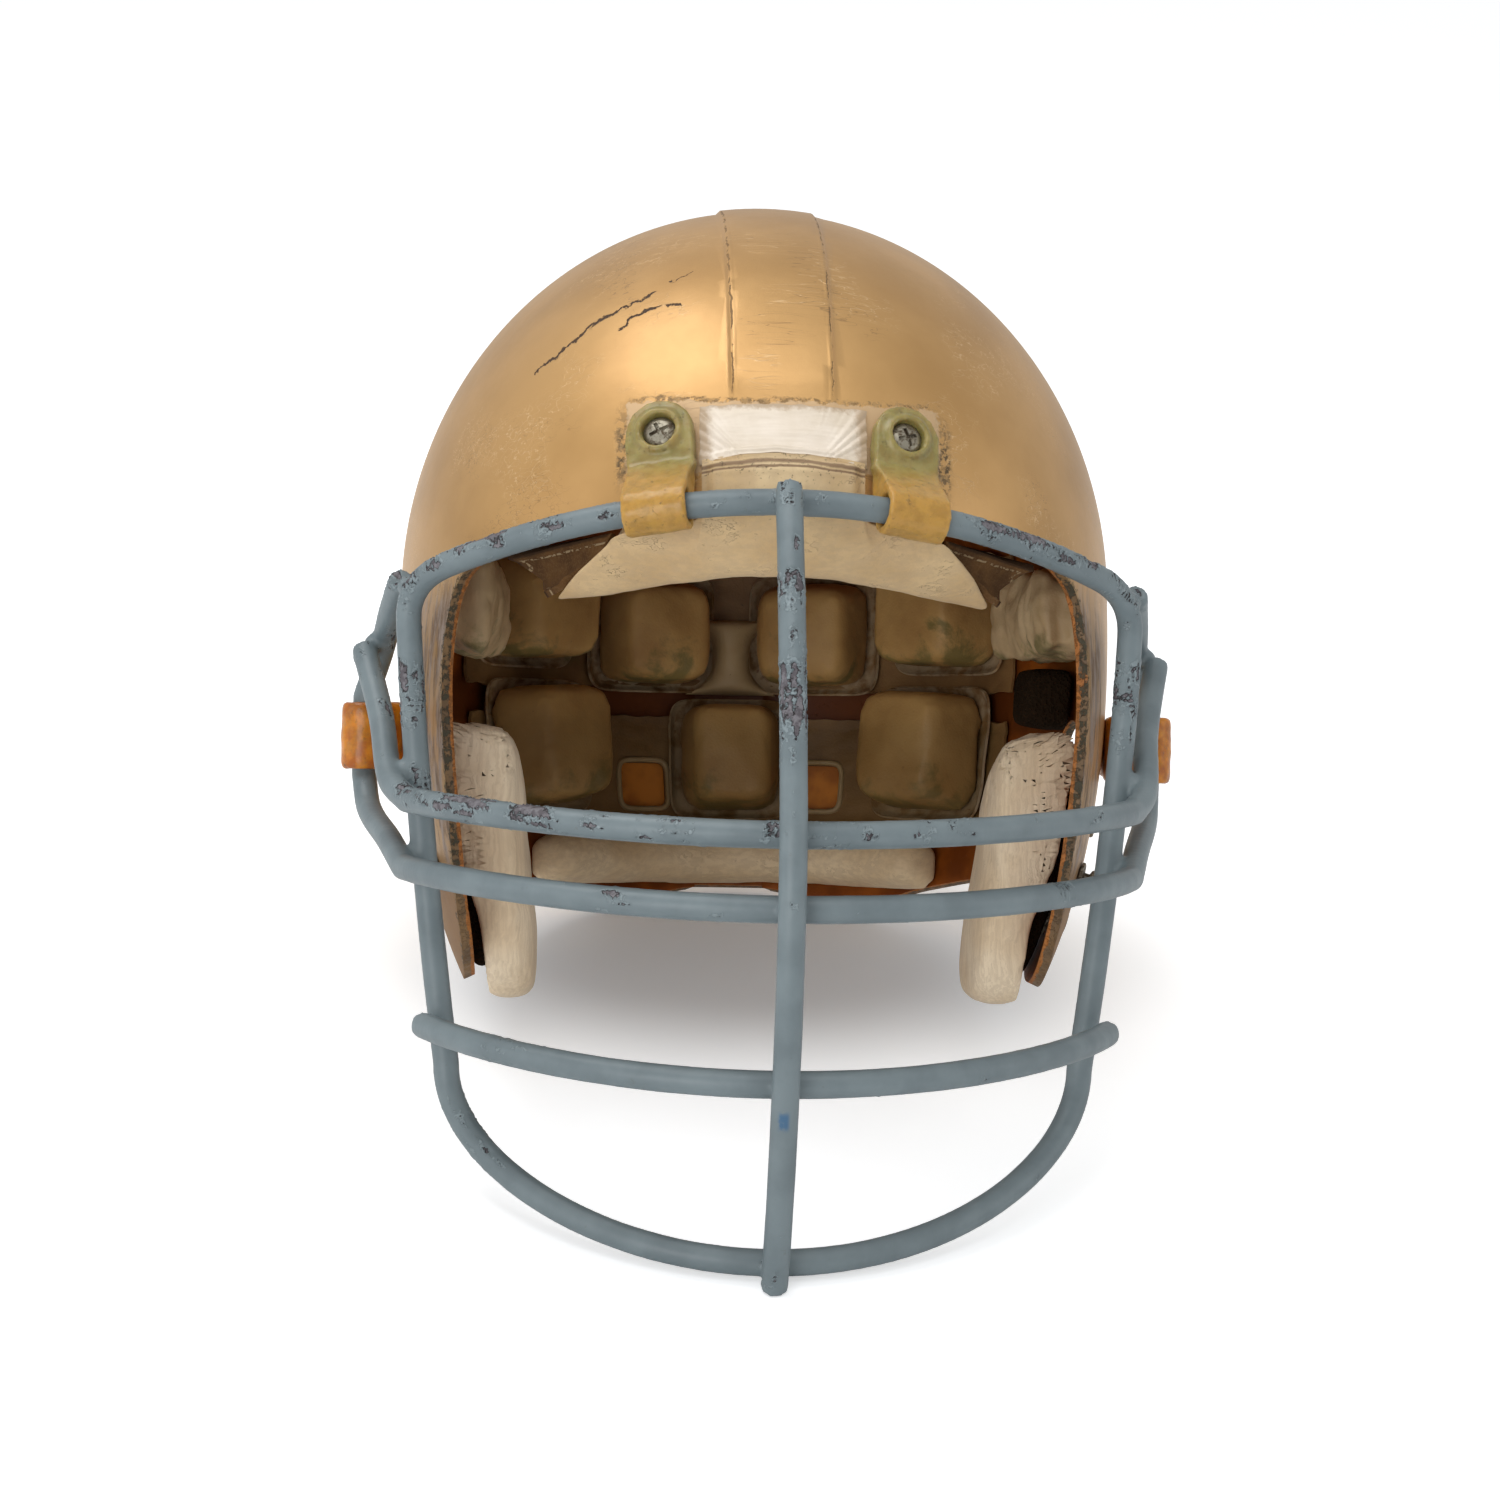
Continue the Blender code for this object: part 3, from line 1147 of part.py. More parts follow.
def add_jaw_pads(parent):
    """Add the two snap in jaw pads, each a base and a cushion on an empty at its slide."""
    rim = JAW_CUSHION_DEPTH
    for side_name, side in SIDES:
        slide = add_empty(f"jaw_pad_{side_name}_slide", parent)
        cavity = add_cutter(f"jaw_cavity_{side_name}", skin_solid(SHELL_WALL + WALL_GAP), slide)
        cushion_form = jaw_layer(side, (
            (1, rim - HARD_GAP), (1, 0.55 * rim), (0.985, 0.28 * rim), (0.93, 0.09 * rim), (0.80, 0),
            (0.45, -0.7 * JAW_PAD_CROWN), (0, -JAW_PAD_CROWN)))
        add_piece(f"jaw_pad_{side_name}_cushion", cushion_form, "leather", slide)
        base_form = jaw_layer(side, ((JAW_BASE_SHARE, rim), (JAW_BASE_SHARE, rim + OVERRUN)))
        base = add_piece(f"jaw_pad_{side_name}_base", base_form, "foam", slide)
        combine(base, cavity, "INTERSECT")
        for level, frame in zip(("upper", "lower"), snap_seats(side)):
            deep = WALL_GAP + STUD_WASHER_THICKNESS + STUD_HEIGHT + SOFT_GAP
            pocket = turned([(0, -OVERRUN), (SNAP_POCKET_RADIUS, -OVERRUN), (SNAP_POCKET_RADIUS, deep),
                             (0, deep)])
            combine(base, add_cutter(f"pocket_{side_name}_{level}", pocket, slide, frame))


def add_front_strip(parent):
    """Add the blank strip on the brow, between the straps."""
    columns, rows = 8, 3
    grids = []
    for lift in (SOFT_GAP + STRIP_THICKNESS, SOFT_GAP):
        grid = []
        for i in range(columns + 1):
            x = STRIP_HALF_WIDTH * (2 * i / columns - 1)
            heights = [STRIP_BOTTOM_HEIGHT + (STRIP_TOP_HEIGHT - STRIP_BOTTOM_HEIGHT) * j / rows
                       for j in range(rows + 1)]
            grid.append([skin_point(direction_front(x, height), -lift) for height in heights])
        grids.append(grid)
    add_piece("front_strip", slab(*grids), "strip", parent)


def front_pad_half_width(height):
    """Half width of the front pad at a height: it flares into a point at the bottom."""
    span = FRONT_PAD_TOP_HEIGHT - FRONT_PAD_BOTTOM_HEIGHT + FRONT_PAD_SIDE_RISE
    fall = min(1, max(0, (FRONT_PAD_TOP_HEIGHT - height) / span))
    flare = FRONT_PAD_HALF_WIDTH_BOTTOM - FRONT_PAD_HALF_WIDTH_TOP
    return FRONT_PAD_HALF_WIDTH_TOP + flare * fall ** FRONT_PAD_FLARE_SHARE


def front_pad_section(share, wrap=None):
    """One cross section of the front pad, at a share of its half width from the middle.

    Where wrap is a number, the leather goes round the brow edge and that share of the way up the shell.
    """
    spread = abs(share)
    outside = SOFT_GAP + LEATHER
    inside = SHELL_WALL + WALL_GAP
    depth = inside + FRONT_PAD_DEPTH * (1 - FRONT_PAD_END_THINNING_SHARE * spread ** 4)
    top = FRONT_PAD_TOP_HEIGHT
    bottom = FRONT_PAD_BOTTOM_HEIGHT - FRONT_PAD_SIDE_RISE * spread ** 2
    span = top - bottom
    edge = brow_edge_height(share * front_pad_half_width(BROW_EDGE_HEIGHT / 2)) - WALL_GAP
    if wrap is None:
        lip = [(0.30 * inside, edge), (0.22 * inside, edge - 0.2 * LEATHER),
               (0.20 * inside, edge - 0.5 * LEATHER), (0.25 * inside, edge - LEATHER)]
        heel = 0.5 * inside
    else:
        high = edge + (FRONT_PAD_WRAP_HEIGHT - edge) * wrap
        lip = [(-SOFT_GAP, high), (-outside, high), (-outside, edge - 0.2 * LEATHER),
               (-0.6 * outside, edge - LEATHER)]
        heel = -0.5 * SOFT_GAP
    low = edge - bottom
    section = lip + [
        (0.15 * depth, edge - 0.45 * low), (0.38 * depth, edge - 0.80 * low), (0.66 * depth, bottom),
        (0.88 * depth, bottom + 0.08 * span), (depth, bottom + 0.32 * span), (depth, bottom + 0.62 * span),
        (0.88 * depth, top - 0.08 * span), (0.6 * depth, top), (inside, top - 0.03 * span), (inside, edge),
        (heel, edge),
    ]
    return [skin_point(direction_at_x(share * front_pad_half_width(height), height), inset)
            for inset, height in section]


def direction_at_x(x, height):
    """Direction to the front of the outer form at a distance across, above or below the middle."""
    if height >= 0:
        return direction_front(x, height)
    depth_share = -height / SHELL_SKIRT_HEIGHT
    across_share = abs(x) / (SHELL_HALF_WIDTH * skirt_level(height))
    sine = across_share ** (skirt_corner(depth_share) / 2)
    rise = depth_share ** (SKIRT_POWER_SHARE / 2)
    level = math.sqrt(1 - rise * rise)
    return Vector((math.copysign(level * sine, x), -level * math.sqrt(1 - sine * sine), -rise))


def add_front_pad(parent):
    """Add the leather front pad, wrapped over the brow edge, and the suede tab at each of its ends."""
    wrap_end = FRONT_PAD_WRAP_HALF_WIDTH / FRONT_PAD_HALF_WIDTH_TOP
    fade = FRONT_PAD_FADE_SHARE
    half = [(0, 1), (wrap_end / 3, 1), (2 * wrap_end / 3, 1), (wrap_end, 1), (wrap_end + fade, 0.12),
            (wrap_end + 2 * fade, 0), (wrap_end + 3 * fade, None), (0.80, None), (0.93, None), (1.0, None)]
    stations = [(-share, wrap) for share, wrap in half[:0:-1]] + half
    form = loft([front_pad_section(share, wrap) for share, wrap in stations])
    add_piece("front_pad", form, "leather", parent)
    inset = SHELL_WALL + WALL_GAP
    tip = front_pad_half_width(PAD_TAB_TIP_HEIGHT) + PAD_TAB_GAP + 2 * LEATHER
    taper = tip - PAD_TAB_OUTER_HALF_WIDTH
    for side_name, side in SIDES:
        grids = []
        for level in (inset, inset + PAD_TAB_THICKNESS):
            grid = []
            for i in range(5):
                grid.append([])
                for j in range(4):
                    fall = j / 3
                    height = PAD_TAB_TOP_HEIGHT + (PAD_TAB_TIP_HEIGHT - PAD_TAB_TOP_HEIGHT) * fall
                    inner = front_pad_half_width(height) + PAD_TAB_GAP
                    outer = PAD_TAB_OUTER_HALF_WIDTH + taper * fall ** 2
                    x = inner + (outer - inner) * i / 4
                    grid[-1].append(skin_point(direction_at_x(side * x, height), level))
            grids.append(grid)
        add_piece(f"front_pad_tab_{side_name}", slab(*grids), "suede", parent)


def evaluated_points(piece):
    """World points of a piece as its modifiers leave it."""
    graph = bpy.context.evaluated_depsgraph_get()
    ready = piece.evaluated_get(graph)
    mesh = ready.to_mesh()
    points = [piece.matrix_world @ vertex.co for vertex in mesh.vertices]
    ready.to_mesh_clear()
    return points


def stand_on_table(helmet):
    """Tip the helmet onto the mask's foot and the shell's nape, with its box centred over the origin."""
    bpy.context.view_layer.update()
    low = []
    for name in ("mask_face_bar", "mask_hoop", "shell"):
        piece = bpy.data.objects[name]
        low += [(round(point.y, 6), round(point.z, 6)) for point in evaluated_points(piece)]
    outline = hull_outline(low)
    for start, end in zip(outline, outline[1:] + outline[:1]):
        if start[0] < 0 < end[0]:
            slope = math.atan2(end[1] - start[1], end[0] - start[0])
            break
    helmet.rotation_euler = (-slope, 0, 0)
    bpy.context.view_layer.update()
    points = []
    for piece in bpy.data.objects:
        if piece.type in {"MESH", "CURVE"} and not piece.hide_render:
            points += evaluated_points(piece)
    lows = [min(point[axis] for point in points) for axis in range(3)]
    highs = [max(point[axis] for point in points) for axis in range(3)]
    helmet.location = (-(lows[0] + highs[0]) / 2, -(lows[1] + highs[1]) / 2, -lows[2])
    bpy.context.view_layer.update()


def main():
    clear_scene()
    helmet = add_empty("helmet", None)
    shell = add_shell(helmet)
    add_mask(helmet)
    add_straps(shell, helmet)
    add_rivets(shell, helmet)
    add_front_strip(helmet)
    add_front_pad(helmet)
    add_liner(helmet)
    add_jaw_pads(helmet)
    stand_on_table(helmet)


main()
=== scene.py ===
"""The finished look of an old football helmet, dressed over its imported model.

Lengths are in metres.  Pieces are shaped in the helmet's own level frame: X to the viewer's right, Y back
from the face, Z up, with the origin in the middle of the head.  They are then tipped to where it stands.
"""
import logging
import math
from dataclasses import dataclass, field
from enum import Enum
from itertools import combinations, pairwise
from typing import Callable, Sequence, Union

import bpy
from mathutils import Euler, Matrix, Vector, geometry, kdtree, noise


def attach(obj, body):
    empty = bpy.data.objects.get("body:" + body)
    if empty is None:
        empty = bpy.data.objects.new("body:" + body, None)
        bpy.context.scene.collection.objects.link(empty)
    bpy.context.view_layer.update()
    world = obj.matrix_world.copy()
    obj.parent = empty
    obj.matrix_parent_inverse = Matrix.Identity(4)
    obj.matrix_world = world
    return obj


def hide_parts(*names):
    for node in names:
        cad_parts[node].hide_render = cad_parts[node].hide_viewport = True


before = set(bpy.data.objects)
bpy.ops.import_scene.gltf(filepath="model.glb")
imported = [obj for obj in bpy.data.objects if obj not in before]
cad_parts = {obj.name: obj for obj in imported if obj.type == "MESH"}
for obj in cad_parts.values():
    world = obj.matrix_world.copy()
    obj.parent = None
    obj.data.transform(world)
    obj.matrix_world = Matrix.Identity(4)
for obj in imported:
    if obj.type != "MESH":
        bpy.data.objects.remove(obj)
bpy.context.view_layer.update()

LOG = logging.getLogger("helmet")

Piece = bpy.types.Object
Material = bpy.types.Material
Place = Callable[[float, float], Vector]
Height = Callable[[Vector, Vector], float]
Colour = tuple[float, float, float]
Value = Union["Tap", float, Colour]


class Side(Enum):
    """The two sides of the helmet, as seen by someone who faces it."""

    LEFT = -1
    RIGHT = 1

    @property
    def label(self) -> str:
        """Return the word that piece names use."""
        return self.name.lower()


class Body(Enum):
    """The rigid bodies that pieces ride on."""

    HELMET = "helmet"
    JAW_PAD_LEFT = "jaw_pad_left"
    JAW_PAD_RIGHT = "jaw_pad_right"

    @classmethod
    def jaw_pad(cls, side: Side) -> "Body":
        """Return the body of one jaw pad."""
        return cls(f"jaw_pad_{side.label}")


class Slot(Enum):
    """The record's material slots."""

    SHELL = "shell"
    WIRE = "mask_wire"
    STEEL = "steel_fastener"
    SNAP = "snap_metal"
    CLEAR_STRAP = "clear_strap"
    AMBER_STRAP = "amber_strap"
    STRIP = "brow_strip"
    LEATHER = "pad_leather"
    SUEDE = "suede_tab"
    FOAM = "dark_foam"
    CELL = "vinyl_cell"
    SHEET = "vinyl_sheet"


# ------------------------------------------------------------------ shader maths


def joined(operation: str, swapped: bool = False) -> "Callable[..., Tap]":
    """Return a method that joins a tap and a value with one of Blender's math operations.

    Args:
        operation: Blender's name of the operation.
        swapped: Whether the value comes first.

    Returns:
        The method.
    """

    def method(tap: "Tap", other: Value = 0.0) -> "Tap":
        """Join the two with the operation.

        Args:
            tap: The tap.
            other: The value.

        Returns:
            The tap of the result.
        """
        pair, kind = (other, tap) if swapped else (tap, other), "ShaderNodeMath"
        if any(isinstance(x, tuple) or isinstance(x, Tap) and x.socket.type != "VALUE" for x in pair):
            pair, kind = [(x, x, x) if isinstance(x, (int, float)) else x for x in pair], "ShaderNodeVectorMath"
        return tap.shade.add(kind, {"operation": operation}, dict(enumerate(pair)))

    return method


@dataclass(frozen=True)
class Tap:
    """One socket of a material's nodes, which adds nodes when it is used in sums."""

    shade: "Shade"
    socket: bpy.types.NodeSocket

    __add__, __radd__ = joined("ADD"), joined("ADD", True)
    __sub__, __rsub__ = joined("SUBTRACT"), joined("SUBTRACT", True)
    __mul__, __rmul__ = joined("MULTIPLY"), joined("MULTIPLY", True)
    __abs__, least, most, power = joined("ABSOLUTE"), joined("MINIMUM"), joined("MAXIMUM"), joined("POWER")

    def ramp(self, low: float, high: float) -> "Tap":
        """Return a smooth step from 0 at low to 1 at high; high may lie below low."""
        ends = {1: low, 2: high, 3: 0.0, 4: 1.0} if low < high else {1: high, 2: low, 3: 1.0, 4: 0.0}
        return self.shade.add("ShaderNodeMapRange", {"interpolation_type": "SMOOTHSTEP"}, {0: self, **ends})

    def mix(self, first: Value, second: Value) -> "Tap":
        """Return a colour between two, with this number as the share of the second."""
        return self.shade.add("ShaderNodeMix", {"data_type": "RGBA"}, {0: self, 6: first, 7: second}, 2)

    def over(self, base: Value, colour: Value, share: float) -> "Tap":
        """Return a base colour with another laid over it, as far as this mask and a share let it."""
        return (self * share).mix(base, colour)

    def parts(self) -> tuple["Tap", "Tap", "Tap"]:
        """Return the three numbers of a vector."""
        return tuple(self.shade.add("ShaderNodeSeparateXYZ", {}, {0: self}, k) for k in range(3))


class Shade:
    """The nodes of one Principled material."""

    def __init__(self, name: str) -> None:
        """Start a new material.

        Args:
            name: Its name.
        """
        self.material = bpy.data.materials.new(name)
        self.material.use_nodes = True
        self.tree = self.material.node_tree
        self.surface = self.tree.nodes["Principled BSDF"]

    def add(self, kind: str, settings: dict, inputs: dict, output: int | str = 0) -> Tap:
        """Add one node.

        Args:
            kind: Blender's name of the node's type.
            settings: Properties, set first because they change the sockets.
            inputs: Values or taps by socket name or number.
            output: The socket that the returned tap carries.

        Returns:
            The tap of the chosen output.
        """
        node = self.tree.nodes.new(kind)
        for key, value in settings.items():
            setattr(node, key, value)
        for key, value in inputs.items():
            self.feed(node.inputs[key], value)
        return Tap(self, node.outputs[output])

    def feed(self, socket: bpy.types.NodeSocket, value: Value) -> None:
        """Link a tap to a socket, or set the socket's own value.

        Args:
            socket: The socket to feed.
            value: A tap or a plain value.
        """
        if isinstance(value, Tap):
            self.tree.links.new(value.socket, socket)
        elif socket.type == "RGBA":
            socket.default_value = (*value, 1.0)
        else:
            socket.default_value = value

    def place(self) -> Tap:
        """Return the place on the object in the helmet's level frame.

        Returns:
            The tap of the result.
        """
        spot = self.add("ShaderNodeTexCoord", {}, {}, "Object")
        inputs = {"Vector": spot, "Location": HELMET_PLACE, "Rotation": (HELMET_TIP, 0.0, 0.0)}
        return self.add("ShaderNodeMapping", {"vector_type": "TEXTURE"}, inputs)

    def noise(self, spot: Tap, size: float, detail: float = 3.0, rough: float = 0.5, warp: float = 0.0) -> Tap:
        """Return fractal noise whose blotches are about one size across."""
        inputs = {"Vector": spot, "Scale": 1 / size, "Detail": detail, "Roughness": rough, "Distortion": warp}
        return self.add("ShaderNodeTexNoise", {}, inputs)

    def waver(self, spot: Tap, size: float, reach: float, detail: float = 3.0, rough: float = 0.5) -> Tap:
        """Return noise about zero, which makes a line wander by up to half a reach."""
        return (self.noise(spot, size, detail, rough) - 0.5) * reach

    def pores(self, spot: Tap, size: float) -> Tap:
        """Return how far a place is from the middle of its pore."""
        return self.add("ShaderNodeTexVoronoi", {"feature": "F1"}, {"Vector": spot, "Scale": 1 / size})

    def drawn(self, spot: Tap, scale: Colour, turn: Colour = (0.0, 0.0, 0.0)) -> Tap:
        """Return a place that is turned and then scaled along each axis, to draw a pattern out."""
        return self.add("ShaderNodeMapping", {}, {"Vector": spot, "Rotation": turn, "Scale": scale})

    def streaks(self, spot: Tap, turn: Colour, length: float, width: float) -> Tap:
        """Return noise drawn out along one heading, for scratches and grain."""
        return self.noise(self.drawn(spot, (1 / length, 1 / width, 1 / width), turn), 1.0, 2.0)

    def record(self, name: str) -> Tap:
        """Return a number stored on the mesh."""
        return self.add("ShaderNodeAttribute", {"attribute_name": name}, {}, "Fac")

    def bump(self, height: Tap, depth: float) -> Tap:
        """Return a normal that a height from 0 to 1 raises by a depth."""
        return self.add("ShaderNodeBump", {}, {"Height": height, "Distance": depth, "Strength": 1.0})

    def finish(self, **inputs: Value) -> Material:
        """Set the surface's sockets, with words joined by underscores, and return the material.

        Args:
            inputs: Taps or values by socket name.

        Returns:
            The material.
        """
        for key, value in inputs.items():
            self.feed(self.surface.inputs[key.replace("_", " ")], value)
        return self.material


HELMET_TIP = -0.34585
HELMET_PLACE = (0.0, 0.0438, 0.14348)
HELMET = Matrix.Translation(HELMET_PLACE) @ Euler((HELMET_TIP, 0, 0)).to_matrix().to_4x4()


@dataclass(frozen=True)
class Finish:
    """A named finish; each kind of finish draws its own nodes."""

    name: str
    colour: Colour
    dark: Colour
    roughness: float = 0.5

    def material(self) -> Material:
        """Return the finish's material, made once."""
        found = bpy.data.materials.get(self.name)
        return found if found else self.draw(Shade(self.name))

    def draw(self, shade: Shade) -> Material:
        """Draw the nodes on a new shade."""
        raise NotImplementedError

    def ground(self, clouds: Tap, low: float = 0.35, high: float = 0.65) -> Tap:
        """Return the base colour, clouded from dark to light."""
        return clouds.ramp(low, high).mix(self.dark, self.colour)


@dataclass(frozen=True)
class GoldPaint(Finish):
    """Worn satin gold paint with scratches, cracked seams along the ridge and a long branching crack."""

    seam: float = 0.0153
    cracks: tuple = ()
    pale: Colour = (0.86, 0.63, 0.36)
    nick: Colour = (0.22, 0.12, 0.05)
    groove: Colour = (0.060, 0.028, 0.010)
    film: Colour = (0.66, 0.52, 0.36)
    scuff: Colour = (0.35, 0.285, 0.25)
    scuff_dark: Colour = (0.16, 0.100, 0.065)
    tip: Colour = (0.24, 0.13, 0.055)
    tip_dark: Colour = (0.17, 0.085, 0.032)
    dirt: Colour = (0.30, 0.20, 0.09)
    dirt_dark: Colour = (0.035, 0.030, 0.016)

    def draw(self, shade: Shade) -> Material:
        """Draw the paint.

        Args:
            shade: The material's nodes.

        Returns:
            The material.
        """
        spot = shade.place()
        x, y, z = spot.parts()
        bent = shade.drawn(spot, (1.0, 1.0, 0.16))
        clouds, dents, fine = shade.noise(spot, 0.05, 4), shade.noise(spot, 0.011), shade.noise(spot, 0.0022)
        scratch = self._scratches(shade, spot, (0.2, 0.5, 0.7), (0.3, 1.1, 2.2))
        nicks = self._scratches(shade, spot, (0.9, -0.4, -0.5), (1.4, 0.2, 0.9))
        marks = self._seam(shade, spot, x, y, z).most(self._crack(shade, spot, x, y, z))
        film, grime = self._film(shade, spot, x, y, z)
        streak = shade.noise(bent, 0.005, 5, 0.7).ramp(0.44, 0.56)
        zone = y.ramp(-0.045, -0.066) * z.ramp(0.012, -0.012) * z.ramp(-0.118, -0.09)
        scuffs = (streak * 0.60 + 0.40) * zone * 0.92
        tip = z.ramp(-0.080, -0.096) * y.ramp(-0.005, -0.030)
        worn = self._rim_wear(shade, spot, y).most(grime)
        base = scratch.over(self.ground(clouds, 0.32, 0.70), self.pale, 0.58)
        base = marks.mix(nicks.over(base, self.nick, 0.5), self.groove)
        base = film.mix(base, self.film)
        base = scuffs.mix(base, shade.noise(bent, 0.0030, 5, 0.7).ramp(0.40, 0.60).mix(self.scuff_dark, self.scuff))
        base = tip.over(base, clouds.ramp(0.3, 0.7).mix(self.tip_dark, self.tip), 0.9)
        base = worn.mix(base, shade.noise(spot, 0.002).ramp(0.48, 0.60).mix(self.dirt_dark, self.dirt))
        flaws = (marks + worn + film + scuffs).least(1.0)
        dull = flaws.most(tip)
        ridge = abs(abs(x) - self.seam).ramp(0.0016, 0.0004) * z.ramp(0.05, 0.06)
        raised = fine * 0.05 + dents * 0.20 + scratch * 0.12 + ridge * dents * 0.5 + film * 0.2
        return shade.finish(Base_Color=base, Roughness=fine * 0.10 + self.roughness + dull * 0.25 + scratch * 0.10,
                            Metallic=0.62 - dull * 0.55, Normal=shade.bump(raised - marks * 0.9 - worn * 0.3, 0.0005),
                            Coat_Weight=0.25 - dull * 0.25, Coat_Roughness=0.28)

    def _scratches(self, shade: Shade, spot: Tap, *turns: Colour) -> Tap:
        """Return scratches along a few headings, gathered in patches.

        Args:
            shade: The material's nodes.
            spot: The place.
            turns: The headings, as turns about each axis.

        Returns:
            The tap of the result.
        """
        gate = shade.noise(spot, 0.03 + 0.004 * turns[0][0], 2).ramp(0.50, 0.62)
        lines = None
        for turn in turns:
            band = abs(shade.streaks(spot, turn, 0.055, 0.004) - 0.5).ramp(0.008, 0.0)
            lines = band if lines is None else lines.most(band)
        return lines * gate

    def _seam(self, shade: Shade, spot: Tap, x: Tap, y: Tap, z: Tap) -> Tap:
        """Return the broken paint along the ridge's edges.

        Args:
            shade: The material's nodes.
            spot: The place.
            x: Distance to the viewer's right.
            y: Distance back.
            z: Height.

        Returns:
            The tap of the result.
        """
        waver = shade.waver(spot, 0.005, 0.0022, 4, 0.65)
        line = abs(abs(x) - self.seam + waver).ramp(0.00034, 0.00008)
        broken = shade.noise(spot, 0.007, 5, 0.7).ramp(0.46, 0.54)
        return line * (broken * 0.60 + 0.05) * y.ramp(-0.02, 0.0).most(z.ramp(0.054, 0.060))

    def _crack(self, shade: Shade, spot: Tap, x: Tap, y: Tap, z: Tap) -> Tap:
        """Return the long branching crack.

        Args:
            shade: The material's nodes.
            spot: The place.
            x: Distance to the viewer's right.
            y: Distance back.
            z: Height.

        Returns:
            The tap of the result.
        """
        waver = shade.waver(spot, 0.005, 0.0036, 4, 0.65)
        near = None
        for line in self.cracks:
            for (x0, z0, width), (x1, z1, _) in pairwise(line):
                dx, dz = x1 - x0, z1 - z0
                span = dx * dx + dz * dz
                share = ((x - x0) * (dx / span) + (z - z0) * (dz / span)).least(1.0).most(0.0)
                off_x, off_z = x - x0 - share * dx + waver, z - z0 - share * dz - waver
                off = (off_x * off_x + off_z * off_z) * (1 / (0.62 * width) ** 2)
                near = off if near is None else near.least(off)
        return near.ramp(1.0, 0.3) * y.ramp(0.0, -0.01)

    def _film(self, shade: Shade, spot: Tap, x: Tap, y: Tap, z: Tap) -> tuple[Tap, Tap]:
        """Return where old film runs on behind the straps, and the grime along its edges.

        Args:
            shade: The material's nodes.
            spot: The place.
            x: Distance to the viewer's right.
            y: Distance back.
            z: Height.

        Returns:
            The film and the grime.
        """
        waver = shade.waver(spot, 0.0045, 0.006, 5, 0.7)
        across = abs(x - 0.0010) + waver
        up = abs(z - 0.0430) + waver
        film = across.ramp(0.0482, 0.0476) * up.ramp(0.0114, 0.0108)
        side = abs(across - 0.0492).ramp(0.0030, 0.0006) * up.ramp(0.0190, 0.0090) * z.ramp(0.057, 0.040)
        top = abs(up - 0.0118).ramp(0.0013, 0.0002) * across.ramp(0.0500, 0.0440) * z.ramp(0.045, 0.05)
        specks = shade.noise(spot, 0.0024, 5, 0.75).ramp(0.44, 0.56)
        front = y.ramp(-0.09, -0.10)
        return film * 0.45 * front, side.most(top * 0.7) * specks * 0.85 * front

    def _rim_wear(self, shade: Shade, spot: Tap, y: Tap) -> Tap:
        """Return the paint that has flaked off beside the cut edge."""
        speck = shade.noise(spot, 0.0028, 5, 0.75)
        return (speck - shade.record("edge_distance") * 95.0).ramp(0.40, 0.48) * 0.8 * y.ramp(-0.045, -0.055)


@dataclass(frozen=True)
class Amber(Finish):
    """Orange moulded plastic that shows inside the shell, with painted shade in the gap between the rows of cells and
    a painted lighter band where it shows through the windows.
    """

    # Painted shade: the dark amber in the gap between the rows of cells.
    between: Colour = (0.100, 0.024, 0.004)
    # Painted light: the brighter amber where it shows through the windows, clouded down to the streak colour.
    windows: Colour = (0.60, 0.21, 0.028)
    streak: Colour = (0.34, 0.105, 0.012)
    speck: Colour = (0.06, 0.035, 0.015)

    def draw(self, shade: Shade) -> Material:
        """Draw the plastic.

        Args:
            shade: The material's nodes.

        Returns:
            The material.
        """
        spot = shade.place()
        _, y, z = spot.parts()
        clouds = shade.noise(spot, 0.02, 4)
        specks = shade.noise(spot, 0.0025, 5, 0.75).ramp(0.62, 0.70)
        behind = y.ramp(0.0, 0.03)
        # The gap band between the rows is painted shade; the window band is painted light.
        gap = z.ramp(-0.022, -0.028) * z.ramp(-0.047, -0.041) * behind
        painted_window_light = z.ramp(-0.052, -0.057) * z.ramp(-0.080, -0.076) * behind
        base = gap.over(specks.over(self.ground(clouds), self.speck, 0.35), self.between, 0.85)
        base = painted_window_light.over(base, clouds.ramp(0.40, 0.60).mix(self.streak, self.windows), 0.85)
        return shade.finish(Base_Color=base, Roughness=clouds * 0.15 + self.roughness, Specular_IOR_Level=0.25,
                            Normal=shade.bump(clouds * 0.6 + specks * 0.4, 0.0003))


@dataclass(frozen=True)
class WornRim(Finish):
    """The shell's cut edge: brown paint on its outer half, flaked to dirt, and orange plastic inside."""

    plastic: Colour = (0.50, 0.16, 0.018)
    dirt: Colour = (0.050, 0.046, 0.026)

    def draw(self, shade: Shade) -> Material:
        """Draw the edge.

        Args:
            shade: The material's nodes.

        Returns:
            The material.
        """
        spot = shade.place()
        height = spot.parts()[2]
        clouds = shade.noise(spot, 0.012, 4)
        inner = (shade.record("wall_depth") + shade.waver(spot, 0.006, 0.9, 5, 0.7)).ramp(0.64, 0.72)
        bare = shade.noise(spot, 0.010, 4, 0.6).ramp(0.58, 0.64) * height.ramp(-0.060, -0.020)
        specks = shade.noise(spot, 0.0022, 5, 0.75).ramp(0.47, 0.55)
        base = bare.most(inner).over(self.ground(clouds), self.plastic, 0.85)
        base = (specks * height.ramp(-0.110, -0.085) * (1.0 - inner * 0.6)).over(base, self.dirt, 0.9)
        return shade.finish(Base_Color=base, Roughness=specks * 0.2 + self.roughness,
                            Normal=shade.bump(clouds * 0.3 - specks * 0.5, 0.0005))


